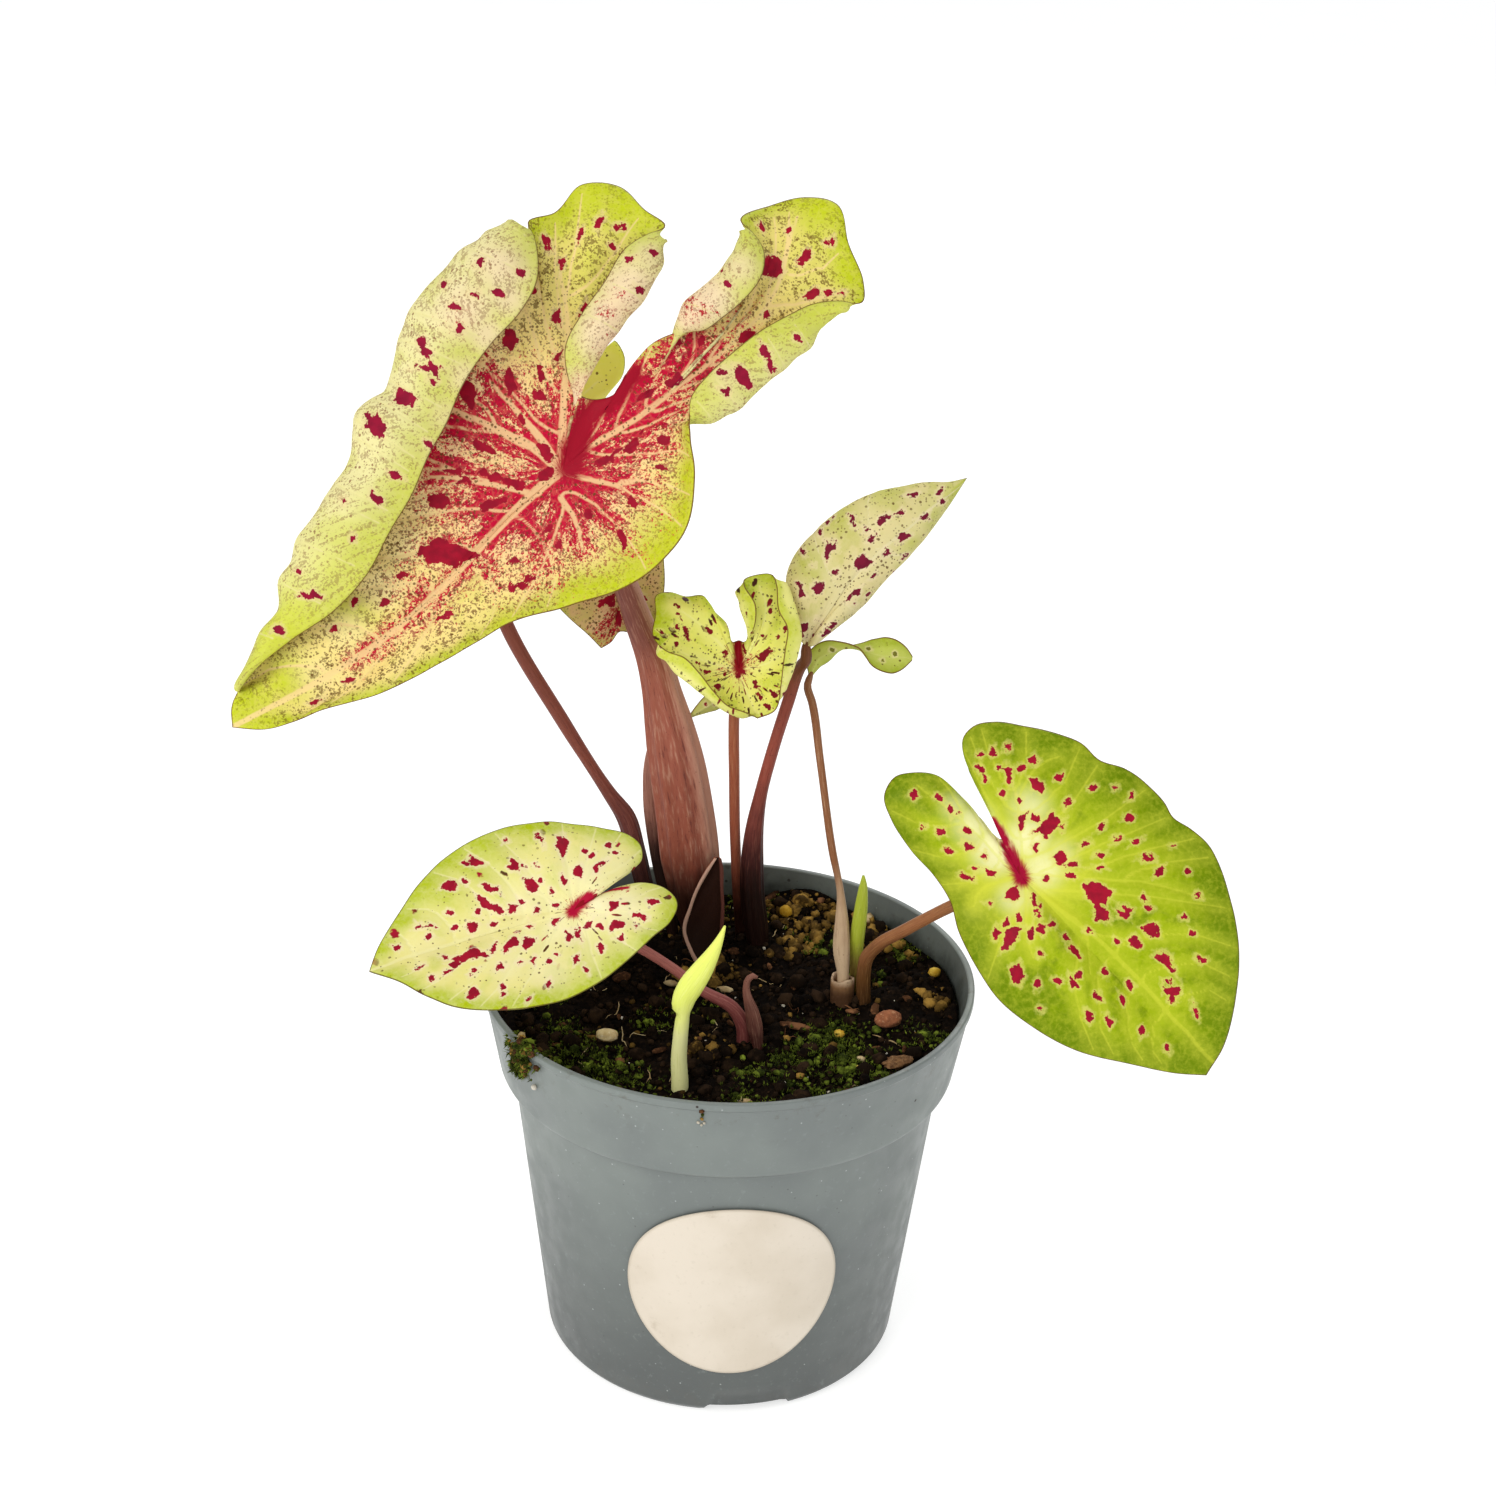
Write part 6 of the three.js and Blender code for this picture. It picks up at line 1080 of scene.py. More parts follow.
def make_hood():
    """The open hood bract: solid low down, a thin curved shell above, its edge a little torn. A
    row of its path is x, y, z, half the width, half the depth, thickness."""
    steps, count = 34, 60
    rows = along(table("""
    -5.2 21.4 70 2 2 1.7; -5.4 21.4 86 2.2 2 1.6; -6.4 21.6 92 4 2.2 1; -6.9 21.8 98 5.1 2.6 .8;
    -6.3 22 104 4.5 2.6 .8; -5.3 22.4 110 3.3 2.3 .8; -4.3 23 115 1.9 1.6 .8;
    -3.8 23.4 117.4 .9 .9 .7"""), count)
    arc = math.radians(200)
    turn = math.pi / 2 - arc / 2 + arc * np.linspace(0, 1, steps)
    rings = []
    for x, y, z, width, depth, thick in rows:
        wave = 0.12 * np.sin(5 * turn + z * 0.5) * min(1, max(0, (z - 90) / 8))
        outer = ring(x, y, width + wave, depth + wave, z, turn)
        inner = ring(x, y, width - thick + wave, depth - thick + wave, z, turn)
        rings.append(np.vstack([outer, inner[::-1]]))
    vertices, faces = closed_loft(np.array(rings))
    inside = np.r_[np.tile(np.r_[np.zeros(steps), np.ones(steps)], count), 0, 1]
    lip = np.r_[np.tile(np.r_[np.linspace(-1, 1, steps), np.linspace(1, -1, steps)], count), 0, 0]
    s = Shader("hood_skin", "a5684f", 0.6, 0.08)
    s.paint(s.noise(2.5, 4), "7a4336")
    s.paint(s.smooth(s.attribute("high"), 104, 92), "5a4435")
    # painted shade: the inside of the hood is painted near black, standing in for the shade in its
    # hollow
    s.paint(s.smooth(s.attribute("inside"), 0.4, 0.6, 0, 0.95), "1c0d08")
    torn = s.attribute("lip") + (s.noise(1.5) - 0.5) * 0.2
    s.paint(s.smooth(torn, 0.8, 0.95), "c39a86")
    s.paint(s.smooth(torn, -0.8, -0.95), "5c342c")
    skin = s.done((s.noise(0.8, 4), 0.1, 1.0))
    piece("hood_front", vertices, faces, [skin], "hood_front",
          {"inside": inside, "lip": lip, "high": vertices[:, 2]})


def make_stump():
    """A short torn ring of old leaf sheath."""
    sides, foot, edge = 64, 80.2, 95.7
    turn = circle(sides)
    torn = 0.45 * np.sin(2 * turn + 3.6) + 0.14 * np.sin(5 * turn + 1) + 0.05 * np.sin(13 * turn)
    rings = []
    for r, share in table("""2.3 1; 2.25 .5; 2.25 0; 2.93 0; 2.93 .3; 2.9 .6; 2.94 .9; 2.85 1;
                          2.6 1.012"""):
        r = r + 0.03 * np.sin(17 * turn)
        rings.append(ring(28, 3.5, r, r, foot + share * (edge + torn - foot), turn))
    rings = np.array(rings)
    j = np.arange(sides)
    right = (j + 1) % sides
    faces = []
    for i in range(len(rings)):
        a, b = i * sides, ((i + 1) % len(rings)) * sides
        faces += np.stack([a + right, a + j, b + j, b + right], -1).tolist()
    s = Shader("stump_skin", "96704c", 0.75, 0.1)
    s.paint(s.noise(1.5, 4), "64442c")
    height = s.attribute("high") + s.noise(2)
    s.paint(s.smooth(height, 94.5, 97, 0, 0.7), "cfb79a")
    # painted shade: the stump darkens towards the soil
    s.paint(s.smooth(height, 95.5, 92, 0, 0.85), "3c2516")
    s.paint(s.smooth(s.noise(0.7), 0.55, 0.7, 0, 0.6), "5b4030")
    skin = s.done((s.noise(0.6, 4), 0.12, 1.0))
    piece("sheath_stump", rings.reshape(-1, 3), faces, [skin], "sheath_stump",
          {"high": rings[..., 2].ravel()})


TUBER_TOP = 69.7


def make_tuber(name, skin, x, y, width, depth, height):
    """A flattened round tuber with ringed, scaly skin: half its width and depth, its height."""
    rows, sides = 26, 48
    turn, bumps, rings = circle(sides), Ripple(len(name)), []
    for a in np.linspace(0, np.pi, rows + 1)[1:-1]:
        wobble = 1 - 0.03 + 0.04 * bumps(turn * 3 + 50, np.full(sides, a * 4) + 50, 1.4)
        r = np.sin(a)**0.7 * wobble
        rise = np.sign(np.cos(a)) * np.abs(np.cos(a))**0.9
        z = TUBER_TOP - height / 2 - rise * (height / 2) * 0.99
        rings.append(ring(x, y, width * r, depth * r, z, turn))
    vertices, faces = closed_loft(np.array(rings))
    piece(name, vertices, faces, [skin], name)


# ------------------------------------------------------------------ pot and label
FOOT_RADIUS, SHOULDER_RADIUS, SHOULDER_HEIGHT = 44.2, 52.6, 74
FLOOR_RADIUS, FLOOR_LOW, FLOOR_TOP = 41.3, 2.5, 4
NOTCHES = (10, 130, 250)  # degrees from the front
DRAIN_HOLES = [(0.0, 0.0, 4.0)] + [
    (30 * math.cos(k * math.pi / 4), 30 * math.sin(k * math.pi / 4), 3.0) for k in range(8)]
# Radius, height and rounding of each corner, from the base under the foot ring round the rim.
POT_CORNERS = table("""
    40.6 2.5 .5; 39.8 .02 .3; 42.9 .02 .4; 44.2 1.6 .5; 52.6 74 .7; 55.6 75.9 .5; 56 76.8 .4;
    59.4 95.8 .3; 59.97 96.3 .15; 59.97 97.7 .15; 59.6 97.97 .2; 58.4 97.97 .4; 54.8 77.4 .8;
    51.4 74.6 .8; 43.4 4 .9; 41.3 4 .1""")


def body_radius(z):
    return FOOT_RADIUS + (SHOULDER_RADIUS - FOOT_RADIUS) * z / SHOULDER_HEIGHT


def pot_profile():
    """The corners rounded, and the long stretches between them cut into short steps."""
    profile = [[40.9, FLOOR_LOW]]
    for k, (r, z, soft) in enumerate(POT_CORNERS[:-1]):
        here = np.array([r, z])
        past = np.array(POT_CORNERS[k - 1][:2]) if k else np.array([FLOOR_RADIUS, FLOOR_LOW])
        ahead = np.array(POT_CORNERS[k + 1][:2])
        into, away = unit(here - past), unit(ahead - here)
        size = min(soft, np.linalg.norm(here - past) / 2.2, np.linalg.norm(ahead - here) / 2.2)
        for u in (0, 0.3, 0.7, 1):
            profile.append((1 - u)**2 * (here - into * size) + 2 * u * (1 - u) * here
                           + u * u * (here + away * size))
    fine = [profile[0]]
    for p in [*profile[1:], [FLOOR_RADIUS, FLOOR_TOP]]:
        steps = max(int(np.linalg.norm(np.array(p) - fine[-1]) / 6), 1)
        fine += [np.array(fine[-1]) + (np.array(p) - fine[-1]) * (k + 1) / steps
                 for k in range(steps)]
    return np.array(fine)


def make_pot():
    """The pot as a fine lathe with rounded corners; the foot ring has sloped notches, and the
    base a ring of drain holes."""
    sides, fine = 192, pot_profile()
    turn, count = circle(sides), len(fine)
    r, z = np.repeat(fine[:, :1], sides, 1), np.repeat(fine[:, 1:2], sides, 1)
    notch = np.zeros(sides)
    for azimuth in NOTCHES:
        away = np.abs((turn + np.pi / 2 - math.radians(azimuth) + np.pi) % CIRCLE - np.pi)
        notch = np.maximum(notch, np.clip((10.6 - away * 43) / 1.4, 0, 1) * 2.45)
    z = np.where((z < 2.4) & (r > 39.5), np.maximum(z, notch), z)
    rings = np.stack([r * np.cos(turn), r * np.sin(turn), z], -1)
    faces = [f for i in range(count - 1) for f in band(i * sides, sides)]
    vertices, faces = add_floor(rings.reshape(-1, 3), faces)
    piece("pot_shell", vertices, faces, [make_pot_plastic()], "pot")


def hole_distance(x, y):
    return np.min([np.hypot(x - a, y - b) - c for a, b, c in DRAIN_HOLES], axis=0)


def add_floor(vertices, faces):
    """The pot's floor: a plate between the two end rings of the lathe, pierced by drain holes."""
    step, cells = 1.2, 72
    span = np.arange(-cells // 2, cells // 2 + 1) * step
    x, y = np.meshgrid(span, span, indexing="ij")
    for a, b, c in DRAIN_HOLES:
        gap = np.hypot(x - a, y - b)
        near = (np.abs(gap - c) < step * 0.71) & (gap > 0.1)
        x = np.where(near, a + (x - a) * c / np.maximum(gap, 0.1), x)
        y = np.where(near, b + (y - b) * c / np.maximum(gap, 0.1), y)
    inside = hole_distance(x, y) > -0.01
    disc = np.hypot(x, y)
    outer = (disc > FLOOR_RADIUS - step * 0.9) & (disc < FLOOR_RADIUS + step * 0.9)
    x = np.where(outer, x * FLOOR_RADIUS / np.maximum(disc, 1), x)
    y = np.where(outer, y * FLOOR_RADIUS / np.maximum(disc, 1), y)
    keep = inside & (np.hypot(x, y) < FLOOR_RADIUS + 0.01)
    index, points, quads = {}, [], []
    for i in range(cells):
        for j in range(cells):
            corner = [(i, j), (i + 1, j), (i + 1, j + 1), (i, j + 1)]
            if all(keep[c] for c in corner):
                for c in corner:
                    if c not in index:
                        index[c] = len(points)
                        points.append([x[c], y[c]])
                quads.append([index[c] for c in corner])
    edges = {(a, b): True for q in quads for a, b in zip(q, q[1:] + q[:1])}
    start, total = len(vertices), len(points)
    faces = faces + [[start + k for k in q] for q in quads]
    faces += [[start + total + k for k in q[::-1]] for q in quads]
    faces += [[start + b, start + a, start + total + a, start + total + b]
              for a, b in edges if (b, a) not in edges]
    plates = [np.c_[points, np.full(total, float(z))] for z in (FLOOR_TOP, FLOOR_LOW)]
    return np.vstack([vertices, *plates]), faces


def make_pot_plastic():
    """Recycled grey-green plastic: faintly mottled and speckled, dusty with soil near the rim, with
    painted shade darker towards the bottom and painted shade with soil stain on the inner wall.
    """
    s = Shader("pot_plastic", "6d7371", 0.45, 0.4)
    height = s.get("ShaderNodeSeparateXYZ", "Z", {0: s.place})
    s.paint(s.smooth(s.noise(26, 4), 0.3, 0.7), "777e7a")
    # painted shade: the pot darkens towards its bottom
    s.paint(s.smooth(height, 0.08, 0.0, 0, 0.8), "4a4d4c")
    s.paint(s.smooth(s.noise(1.6, 4, 0.7), 0.56, 0.75, 0, 0.25), "8d9694")
    speck = s.smooth(s.cells(2.3), 0.12, 0.06) * s.smooth(s.noise(9, 2), 0.5, 0.6, 0, 0.5)
    s.paint(speck, "3b3c38")
    s.paint(s.smooth(s.cells(3.7), 0.07, 0.035) * 0.5, "c6cbc8")
    dust = s.smooth(s.noise(5, 6, 0.75), 0.55, 0.72, 0, 0.6)
    s.paint(s.smooth(height, 0.082, 0.0975) * dust, "4e4436")
    low = s.smooth(height, 0.012, 0.0)
    s.paint(low * s.smooth(s.noise(7, 5, 0.7), 0.45, 0.7, 0, 0.3), "5e574e")
    crumb = s.smooth(s.cells(4.2), 0.12, 0.09) * s.smooth(s.noise(12, 2), 0.57, 0.62)
    s.paint(crumb * s.smooth(height, 0.06, 0.085), "2a2119")
    # painted shade and soil stain: inward-facing walls below the rim are darkened
    facing = s.get("ShaderNodeVectorMath", "Value", {
        0: s.get("ShaderNodeNewGeometry", "Normal"), 1: s.place}, operation="DOT_PRODUCT")
    level = height + (s.noise(7, 4, 0.7) - 0.5) * 0.014
    inner_shade_and_stain = s.smooth(level, 0.097, 0.088, 0.35, 0.95)
    s.paint(s.smooth(facing, 0.0, -0.02) * inner_shade_and_stain, "31342f")
    s.set("Roughness", s.smooth(s.noise(6, 4), 0.3, 0.7, 0.36, 0.52))
    return s.done((s.noise(0.6, 3, 0.6), 0.03, 0.5), (s.noise(11), 0.12, 0.2))


def make_label():
    """The bare round paper sticker, bent round the pot with a faintly cockled face."""
    rings, steps, radius, across, middle = 40, 160, 25.5, 3.3, 39.3
    waves = Ripple(5)
    layers = []
    for lift in (0.85, 0.45):
        for i in range(rings + 1):
            angle = circle(steps)[:steps if i else 1]
            reach = radius * (i / rings)
            curl = 0.03 * waves(reach * np.cos(angle) + 60, reach * np.sin(angle) + 60, 9, 2)
            z = middle + reach * np.sin(angle)
            r = body_radius(z) + lift + curl - (0.08 if i == rings and lift > 0.5 else 0)
            turn = (across + reach * np.cos(angle)) / body_radius(middle)
            layers.append(np.stack([r * np.sin(turn), -r * np.cos(turn), z], -1))
    count = 1 + rings * steps
    j = np.arange(steps)
    right = (j + 1) % steps
    face = np.stack([np.zeros(steps, int), 1 + j, 1 + right], -1).tolist()
    for a in 1 + steps * np.arange(rings - 1):
        face += np.stack([a + j, a + steps + j, a + steps + right, a + right], -1).tolist()
    under = [[k + count for k in f[::-1]] for f in face]
    a = 1 + (rings - 1) * steps
    rim = np.stack([a + j, a + j + count, a + right + count, a + right], -1).tolist()
    out = np.r_[0, np.repeat(radius * np.arange(1, rings + 1) / rings, steps)]
    s = Shader("label_paper", "d6cbbb", 0.55, 0.35)
    far = s.attribute("far")
    s.paint(s.smooth(s.noise(18, 4), 0.35, 0.7), "ccc0ae")
    s.paint(s.smooth(s.noise(1.1), 0.58, 0.75, 0, 0.25), "bdb19e")
    s.paint(s.smooth(far, 24.6, 25.4, 0, 0.5), "b5a995")
    s.paint(s.smooth(s.noise(8, 5, 0.7), 0.6, 0.75) * s.smooth(far, 14, 25, 0, 0.35), "9c8a70")
    paper = s.done((s.noise(0.5, 3, 0.7), 0.04, 0.6), (s.noise(7), 0.12, 0.3))
    piece("label_disc", np.vstack(layers), face + under + rim, [paper], "label",
          {"far": np.r_[out, out]})


# ------------------------------------------------------------------ soil and what lies on it
def hump(x, y, cx, cy, width):
    return np.exp(-((x - cx)**2 + (y - cy)**2) / (2 * width * width))


def soil_height(x, y):
    return (88.6 + 0.02 * x + 0.025 * y + 4 * hump(x, y, 20, 50, 9) + 1.5 * hump(x, y, 52, 8, 9)
            + 0.8 * np.sin(x / 5) * np.cos(y / 6))


def ball(rows, sides):
    """Points and faces of a coarse ball, to be pushed out of shape."""
    points = [[0, 0, 1.0]]
    for lift in (math.pi * row / rows for row in range(1, rows)):
        points += [[math.sin(lift) * math.cos(2 * math.pi * k / sides),
                    math.sin(lift) * math.sin(2 * math.pi * k / sides), math.cos(lift)]
                   for k in range(sides)]
    faces = [[0, 1 + k, 1 + (k + 1) % sides] for k in range(sides)]
    for r in range(rows - 2):
        a = 1 + r * sides
        faces += [[a + k, a + sides + k, a + sides + (k + 1) % sides, a + (k + 1) % sides]
                  for k in range(sides)]
    last, a = len(points), 1 + (rows - 2) * sides
    faces += [[last, a + (k + 1) % sides, a + k] for k in range(sides)]
    return np.array(points + [[0, 0, -1.0]]), faces


COARSE, ROUNDED = ball(3, 5), ball(6, 9)
SOIL_RADIUS = 56.2
LUMPS = Ripple(31)
EARTH, PERLITE, BARK, MOSS, PELLET, ROOT, GRIT = range(7)


def ground(x, y):
    """Height of the soil with its lumps and pits, level towards the wall."""
    calm = np.clip((57 - np.hypot(x, y)) / 3, 0.1, 1)
    return soil_height(x, y) + (2.6 * LUMPS(x + 90, y + 90, 8, 4) - 0.7) * calm


# Where the golden grit and the moss lie: x, y, spread, count.
GOLDEN = table("""
    14 46 9 60; 21 40 9 60; 26 47 8 40; 17 29 5 26; -2 17 6 40; -10 12 6 24; 44 31 7 36;
    38 38 6 24; -4 -20 6 20; 50 4 6 16""")
MOSSY = table("""
    25 -20 10 190; 32 -27 9 190; 27 -11 7 110; 14 -21 7 70; 4.5 -43 6 90; 20 -36 9 130;
    -31 -27 8 150; -24 -33 8 110; -39 -14 9 110; -40 -30 7 110; 45 28 6 100; 22 31 7 70;
    -17 -8 7 50; 47 -14 7 80; -45 6 8 70; 8 -30 8 70; -12 -46 8 60; 33 16 6 40; -8 2 8 40;
    -30 36 12 90; 4 50 10 60""")
# The larger bits: x, y, half the length, width and thickness, heading in degrees, kind.
CHIPS = table(f"""
    -26.8 13.1 3 2.2 .9 60 {BARK}; 16.6 -9.8 4.2 1.6 .6 -14 {BARK}; -36 -12 4 .9 .4 12 {GRIT};
    -30.5 -16 3.6 .8 .4 -20 {GRIT}; -42 -17 3.4 .7 .4 5 {BARK}; -14.4 9.8 1.9 1 .8 0 {ROOT};
    -1 8 2.2 .9 .8 -10 {ROOT}; 14.2 43.2 1.7 1.6 1.6 0 {PELLET}; 51.3 13.9 1.7 1.2 1.3 30 {PELLET};
    31.8 -23.7 1.4 1 .9 10 {ROOT}; 31.2 -28.3 .8 .7 .7 0 {PELLET}; 27.2 -12 1.4 1.1 1 0 {PELLET};
    25.2 -19.6 1.5 1.1 1 40 {GRIT}; 35.6 41.3 2 1.3 1.3 70 {ROOT}; 10 52 4.5 1 .8 60 {BARK};
    5 -42 1.5 .8 .6 0 {ROOT}; -16 -20 2.2 1 .6 30 {BARK}; 36 -2 3 1.1 .6 80 {BARK}""")
# Dirt on the outside of the pot: x, y, z, size, kind.
DIRT = table(f"""
    -4.9 -59.9 96.2 .7 {BARK}; -4.7 -59.3 94.9 .6 {MOSS}; -4.8 -59.1 93.7 .5 {GRIT};
    -5.6 -58.8 92.6 .5 {PERLITE}; -4.3 -58.8 92.5 .5 {PERLITE}; -4.9 -58.7 91.9 .45 {PERLITE};
    -44.3 -38.2 87.6 1 {PERLITE}; -47.6 -33.6 98.7 1.2 {ROOT}""")


class Heap:
    """Many small bodies gathered into one mesh, each with its own tint."""

    def __init__(self, dice):
        self.dice, self.size = dice, 0
        self.points, self.faces, self.tint, self.kind = [], [], [], []

    def put(self, points, faces, tint, kind):
        self.faces += [[self.size + k for k in f] for f in faces]
        self.points.append(points)
        self.tint.append(np.full(len(points), tint))
        self.kind += [int(kind)] * len(faces)
        self.size += len(points)

    def grain(self, place, size, kind, shape=(1, 0.8, 0.7), rough=0.35, heading=None):
        """A lumpy grain; with a heading it lies nearly flat."""
        dice = self.dice
        points, faces = ROUNDED if size > 1.3 else COARSE
        points = points * (1 - rough / 2 + rough * dice.random((len(points), 1))) * shape
        tilt = dice.random() * 6.28 if heading is None else 0.2 * dice.normal()
        heading = dice.random() * 6.28 if heading is None else heading
        turn = np.array(Matrix.Rotation(heading, 3, "Z") @ Matrix.Rotation(tilt, 3, "X"))
        self.put(points @ turn.T * size + place, faces, dice.random(), kind)

    def place(self, reach, x=None, y=None, spread=None):
        """A random place on the soil: within reach of the middle, or spread round x, y."""
        if spread is None:
            a, r = self.dice.random() * 6.283, reach * math.sqrt(self.dice.random())
            return r * math.cos(a), r * math.sin(a)
        return (x + spread * self.dice.normal() * 0.5, y + spread * self.dice.normal() * 0.5)

    def scatter(self, count, kind, least, most, *where, **looks):
        """Grains on the soil: all over it, or round x, y."""
        for _ in range(count):
            px, py = self.place(SOIL_RADIUS - 1.5, *where)
            if math.hypot(px, py) < SOIL_RADIUS - 1.2:
                size = least + (most - least) * self.dice.random()**2.2
                self.grain([px, py, float(ground(px, py)) + 0.35 * size], size, kind, **looks)

    def tuft(self, base, up, reach=1.0):
        """A few pointed moss leaves round a place."""
        dice = self.dice
        base, up, tint = np.array(base, float), unit(np.array(up, float)), dice.random()
        for _ in range(4):
            out = dice.normal(size=3)
            out = unit(out - up * (out @ up))
            side = np.cross(up, out) * (0.16 + 0.14 * dice.random())
            far, high = 0.4 + 0.6 * dice.random(), 0.4 + 0.7 * dice.random()
            tip = base + (out * far + up * high) * reach
            points = np.array([base - side, base + side, base + out * 0.25 + up * 0.12, tip])
            self.put(points, [[0, 1, 3], [1, 2, 3], [2, 0, 3], [0, 2, 1]], tint, MOSS)

    def root(self, x, y, length, thick, kind):
        """A rootlet or fibre lying on the soil."""
        heading, steps, path = self.dice.random() * 6.283, 10, []
        for k in range(steps):
            path.append([x, y, float(ground(x, y)) + 0.5 + 0.5 * math.sin(k)])
            heading += self.dice.normal() * 0.35
            x, y = x + math.cos(heading) * length / steps, y + math.sin(heading) * length / steps
        path = np.array(path)
        if np.hypot(path[:, 0], path[:, 1]).max() <= SOIL_RADIUS - 1:
            width = thick * np.sin(np.linspace(0.35, 2.9, steps))[:, None]
            self.put(*closed_loft(rings_along(path, 5, width, width)), self.dice.random(), kind)


def make_soil():
    rows, turn = 74, circle(300)
    rings = []
    for r in SOIL_RADIUS * np.linspace(0, 1, rows + 1)[1:]:
        rings.append(ring(0, 0, r, r, ground(r * np.cos(turn), r * np.sin(turn)), turn))
    for r, z in [(54.6, 84), (53.8, 78), (50.7, 74), (47, 40), (42.8, 4.4)]:
        rings.append(ring(0, 0, r, r, z, turn))
    dice = np.random.default_rng(11)
    heap = Heap(dice)
    heap.put(*closed_loft(np.array(rings)), 0.1, EARTH)
    share = 1
    heap.scatter(2200 // share, EARTH, 0.35, 1.2)
    heap.scatter(330 // share, EARTH, 1, 2.6)
    heap.scatter(70 // share, PERLITE, 0.25, 0.6)
    heap.scatter(60 // share, GRIT, 0.5, 1.5)
    heap.scatter(60 // share, BARK, 0.7, 2.2, shape=(1, 0.6, 0.35))
    for x, y, spread, count in GOLDEN:
        heap.scatter(int(1.4 * count) // share, GRIT, 0.45, 2.1, x, y, spread, rough=0.6)
    for x, y, spread, count in MOSSY:
        heap.scatter(int(count) // (3 * share), MOSS, 0.5, 1.5, x, y, spread)
        for _ in range(int(count) // share):
            px, py = heap.place(0, x, y, spread)
            if math.hypot(px, py) < SOIL_RADIUS - 0.8:
                heap.tuft([px, py, float(ground(px, py)) + 0.3 + dice.random()], [0, 0, 1])
    for x, y, long, wide, thick, heading, kind in CHIPS:
        place = [x, y, float(ground(x, y)) + 0.7 * thick + 0.3]
        heap.grain(place, long, kind, (1, wide / long, thick / long), 0.25, math.radians(heading))
    for _ in range(40):
        px, py = heap.place(SOIL_RADIUS - 9)
        length, thick = 4 + 8 * dice.random(), 0.08 + 0.14 * dice.random()
        heap.root(px, py, length, thick, ROOT if dice.random() < 0.5 else BARK)
    moss_over_rim(heap, dice)
    skins = [
        # the soil's near-black colour is partly its own and partly painted shade for the deep gaps
        # between crumbs and stems
        ground_material("soil_dark", "060403", "35261a"),
        ground_material("perlite", "a89f8c", "e2dccf", 0.6),
        ground_material("bark_flakes", "2a170d", "8a5f40", 0.7),
        ground_material("moss", "161e08", "7f8f30", 0.9, 0.8, 0.1),
        ground_material("pellet", "b98a24", "e8cf62", 0.6, 0.5, 0.05),
        ground_material("pale_root", "9a7f58", "dcc79a", 0.6, 0.8, 0.08),
        ground_material("grit", "2a1c0c", "a8823e", 1.2, 0.8, 0.3)]
    piece("soil_bed", np.vstack(heap.points), heap.faces, skins, "soil",
          {"tint": np.concatenate(heap.tint)}, heap.kind)


def moss_over_rim(heap, dice):
    """A clump of moss that has grown over the rim and hangs on the collar, and a bit of dirt."""
    for _ in range(150):
        u = dice.random()
        azimuth = math.radians(-139 + (10 - 5 * u) * dice.normal() * 0.35 - 5 * u)
        if u < 0.35:
            r, z = 55 + 5.4 * u / 0.35, 94 + 4.9 * min(u / 0.25, 1)
        else:
            r, z = 60.6 - 1.2 * (u - 0.35), 98.3 - 13 * (u - 0.35)
        place = [r * math.cos(azimuth), r * math.sin(azimuth), z]
        out = [math.cos(azimuth), math.sin(azimuth), 0.5 - 1.2 * u]
        if dice.random() < 0.5:
            heap.grain(place, 0.5 + dice.random(), (BARK, MOSS, GRIT)[dice.integers(3)])
        for _ in range(3):
            heap.tuft(place + dice.normal(size=3) * 0.5, out, 1.3)
    for x, y, z, size, kind in DIRT:
        heap.grain([x, y, z], size, kind)


def make_stone(name, x, y, a, b, c, turn, rough, skin):
    rows, sides = 22, 36
    around, bumps, rings = circle(sides), Ripple(len(name) * 3), []
    for q in np.linspace(0, np.pi, rows + 1)[1:-1]:
        wobble = 0.95 + rough * bumps(around * 2.2 + 30, np.full(sides, q * 2.2) + 30, 1.2)
        r = np.sin(q) * wobble
        rings.append(ring(0, 0, a * r, b * r, -c * 0.95 * np.cos(q), around))
    vertices, faces = closed_loft(np.array(rings))
    spin = np.array(Matrix.Rotation(math.radians(turn), 3, "Z"))
    vertices = vertices @ spin.T + [x, y, soil_height(x, y) + c + 0.4]
    piece(name + "_fine", vertices, faces, [skin], name)


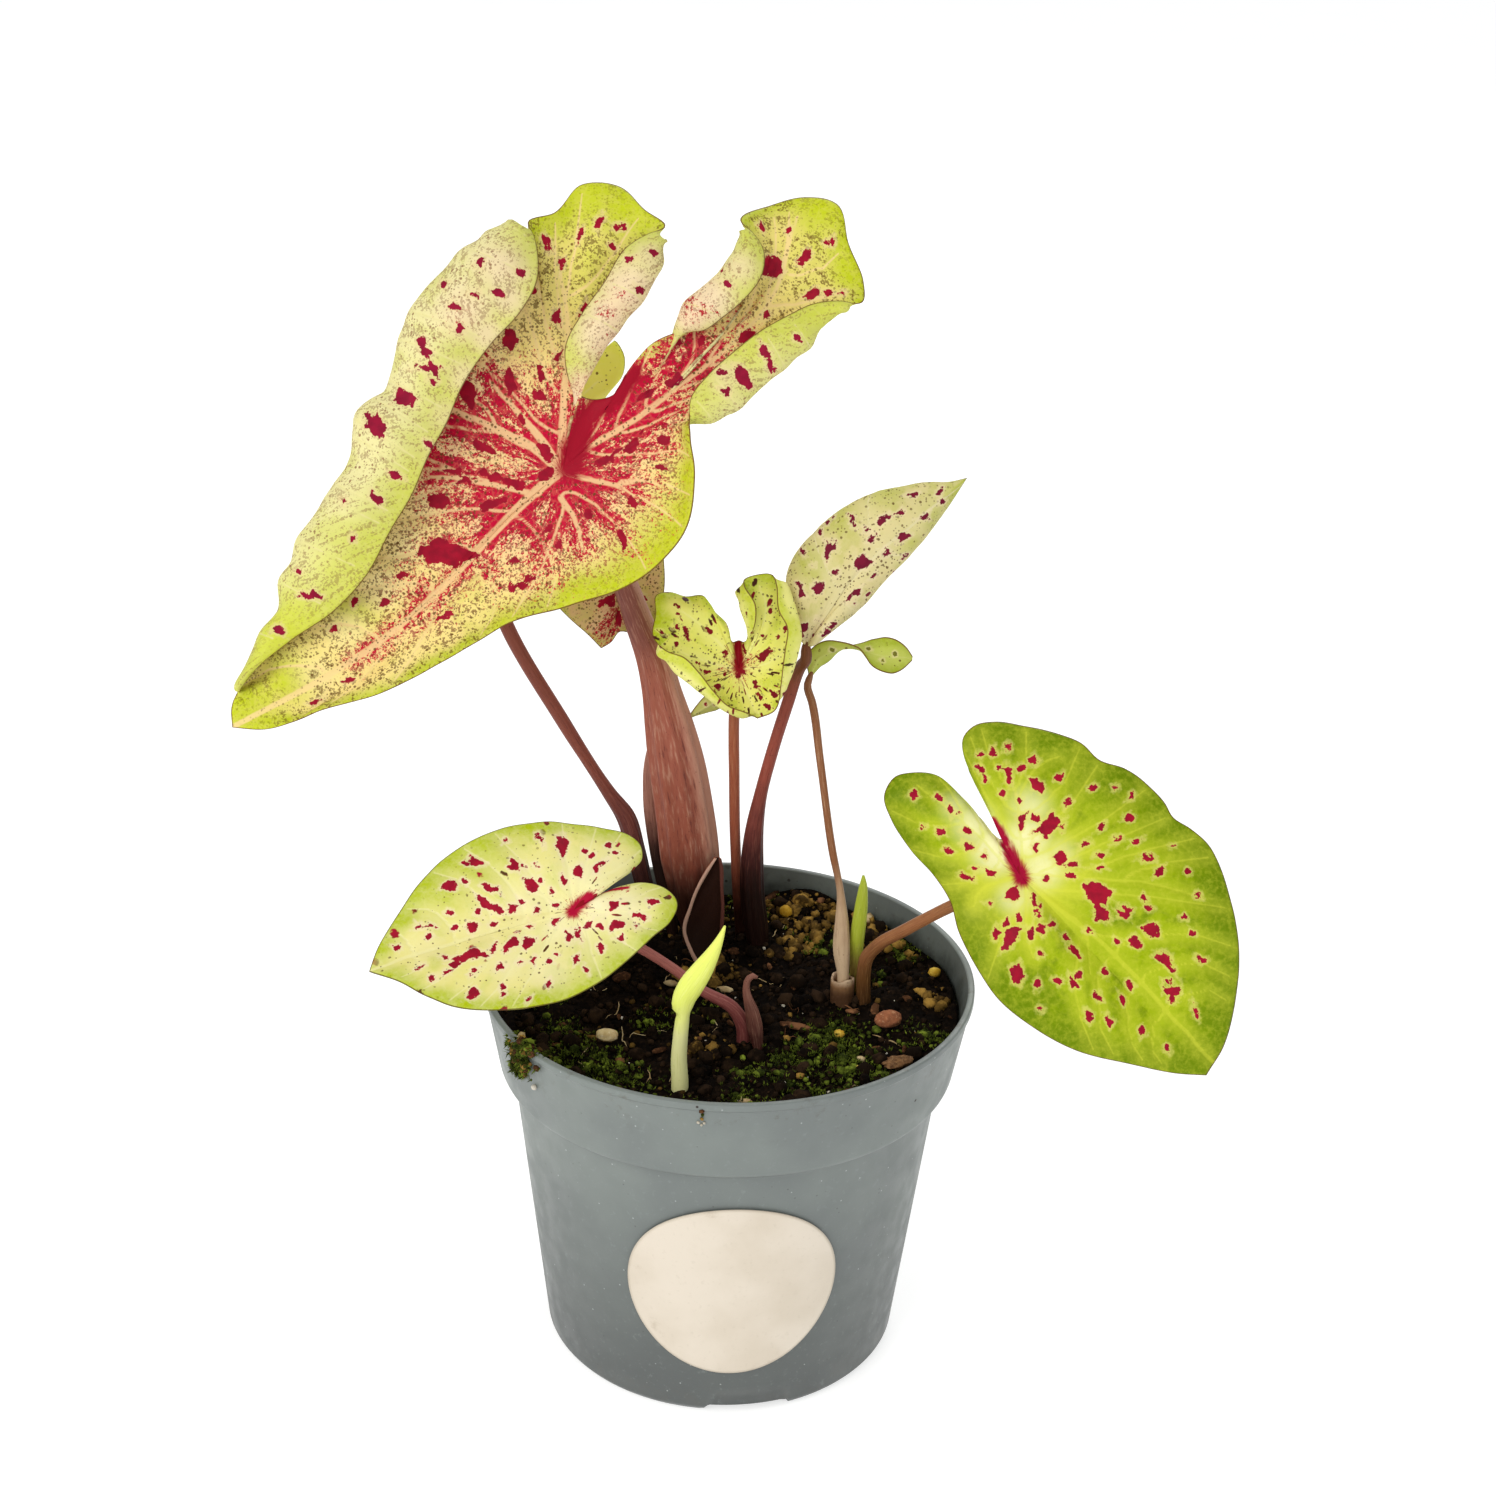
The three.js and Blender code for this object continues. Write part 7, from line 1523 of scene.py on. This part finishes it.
def ground_material(name, dark, light, size=0.8, rough=0.95, depth=0.25):
    s = Shader(name, dark, rough, 0.04)
    s.paint(s.attribute("tint"), light)
    s.paint(s.smooth(s.noise(size, 5, 0.7), 0.45, 0.72, 0, 0.5), light)
    s.paint(s.smooth(s.noise(size * 4), 0.58, 0.42, 0, 0.7), dark)
    return s.done((s.noise(size, 5, 0.7), depth, 1.0))


def plain_material(name, first, second, third, size, rough=0.8, depth=0.15):
    s = Shader(name, first, rough, 0.12)
    s.paint(s.smooth(s.noise(size, 5, 0.65), 0.35, 0.65), second)
    s.paint(s.smooth(s.noise(size * 0.4, 4), 0.55, 0.7, 0, 0.7), third)
    return s.done((s.noise(size * 0.5, 4, 0.7), depth, 1.0))


def make_floor():
    mesh = bpy.data.meshes.new("floor")
    mesh.from_pydata([(-6, -6, 0), (6, -6, 0), (6, 6, 0), (-6, 6, 0)], [], [(0, 1, 2, 3)])
    s = Shader("floor_white", "c9c9c8", 0.7, 0.1)
    s.paint(s.smooth(s.noise(60), 0.3, 0.7), "cbcbca")
    s.set("Emission Color", (1, 1, 1, 1))
    s.set("Emission Strength", 0.62)
    mesh.materials.append(s.done())
    floor = add_object("floor", mesh)
    floor.location.z = -0.0002


# ------------------------------------------------------------------ everything
def main():
    make_camera()
    make_light()
    make_floor()
    make_large()
    make_flat_leaves()
    make_young_leaves()
    make_ribbons()
    make_stems()
    make_hood()
    make_stump()
    skin = plain_material("tuber_skin", "6b4a32", "50341f", "8a6747", 2.5)
    make_tuber("tuber_back", skin, -5.5, 32.5, 17, 12.5, 18)
    make_tuber("tuber_right", skin, 31, 5, 8.5, 8, 13)
    make_tuber("tuber_front", skin, 5.5, -16, 8, 7.5, 12)
    make_tuber("tuber_shoot", skin, -10.6, -33.5, 6, 6, 10)
    make_pot()
    make_label()
    make_soil()
    make_stone("stone_brown", 38.9, -9.2, 3.6, 2.6, 2.2, 20, 0.16,
               plain_material("stone_skin", "9c6142", "7c4c34", "c2906a", 1.6))
    make_stone("pebble_white", -28.7, -16.3, 2.9, 1.8, 1.6, -5, 0.16,
               plain_material("pebble_skin", "dcc594", "c4a874", "eee0bc", 1.5))
    make_stone("bark_chip", 40.5, -26, 4.2, 2.4, 1.1, 35, 0.5,
               plain_material("bark_skin", "84603e", "5c3f29", "a98a62", 1.0, 0.9, 0.3))


main()
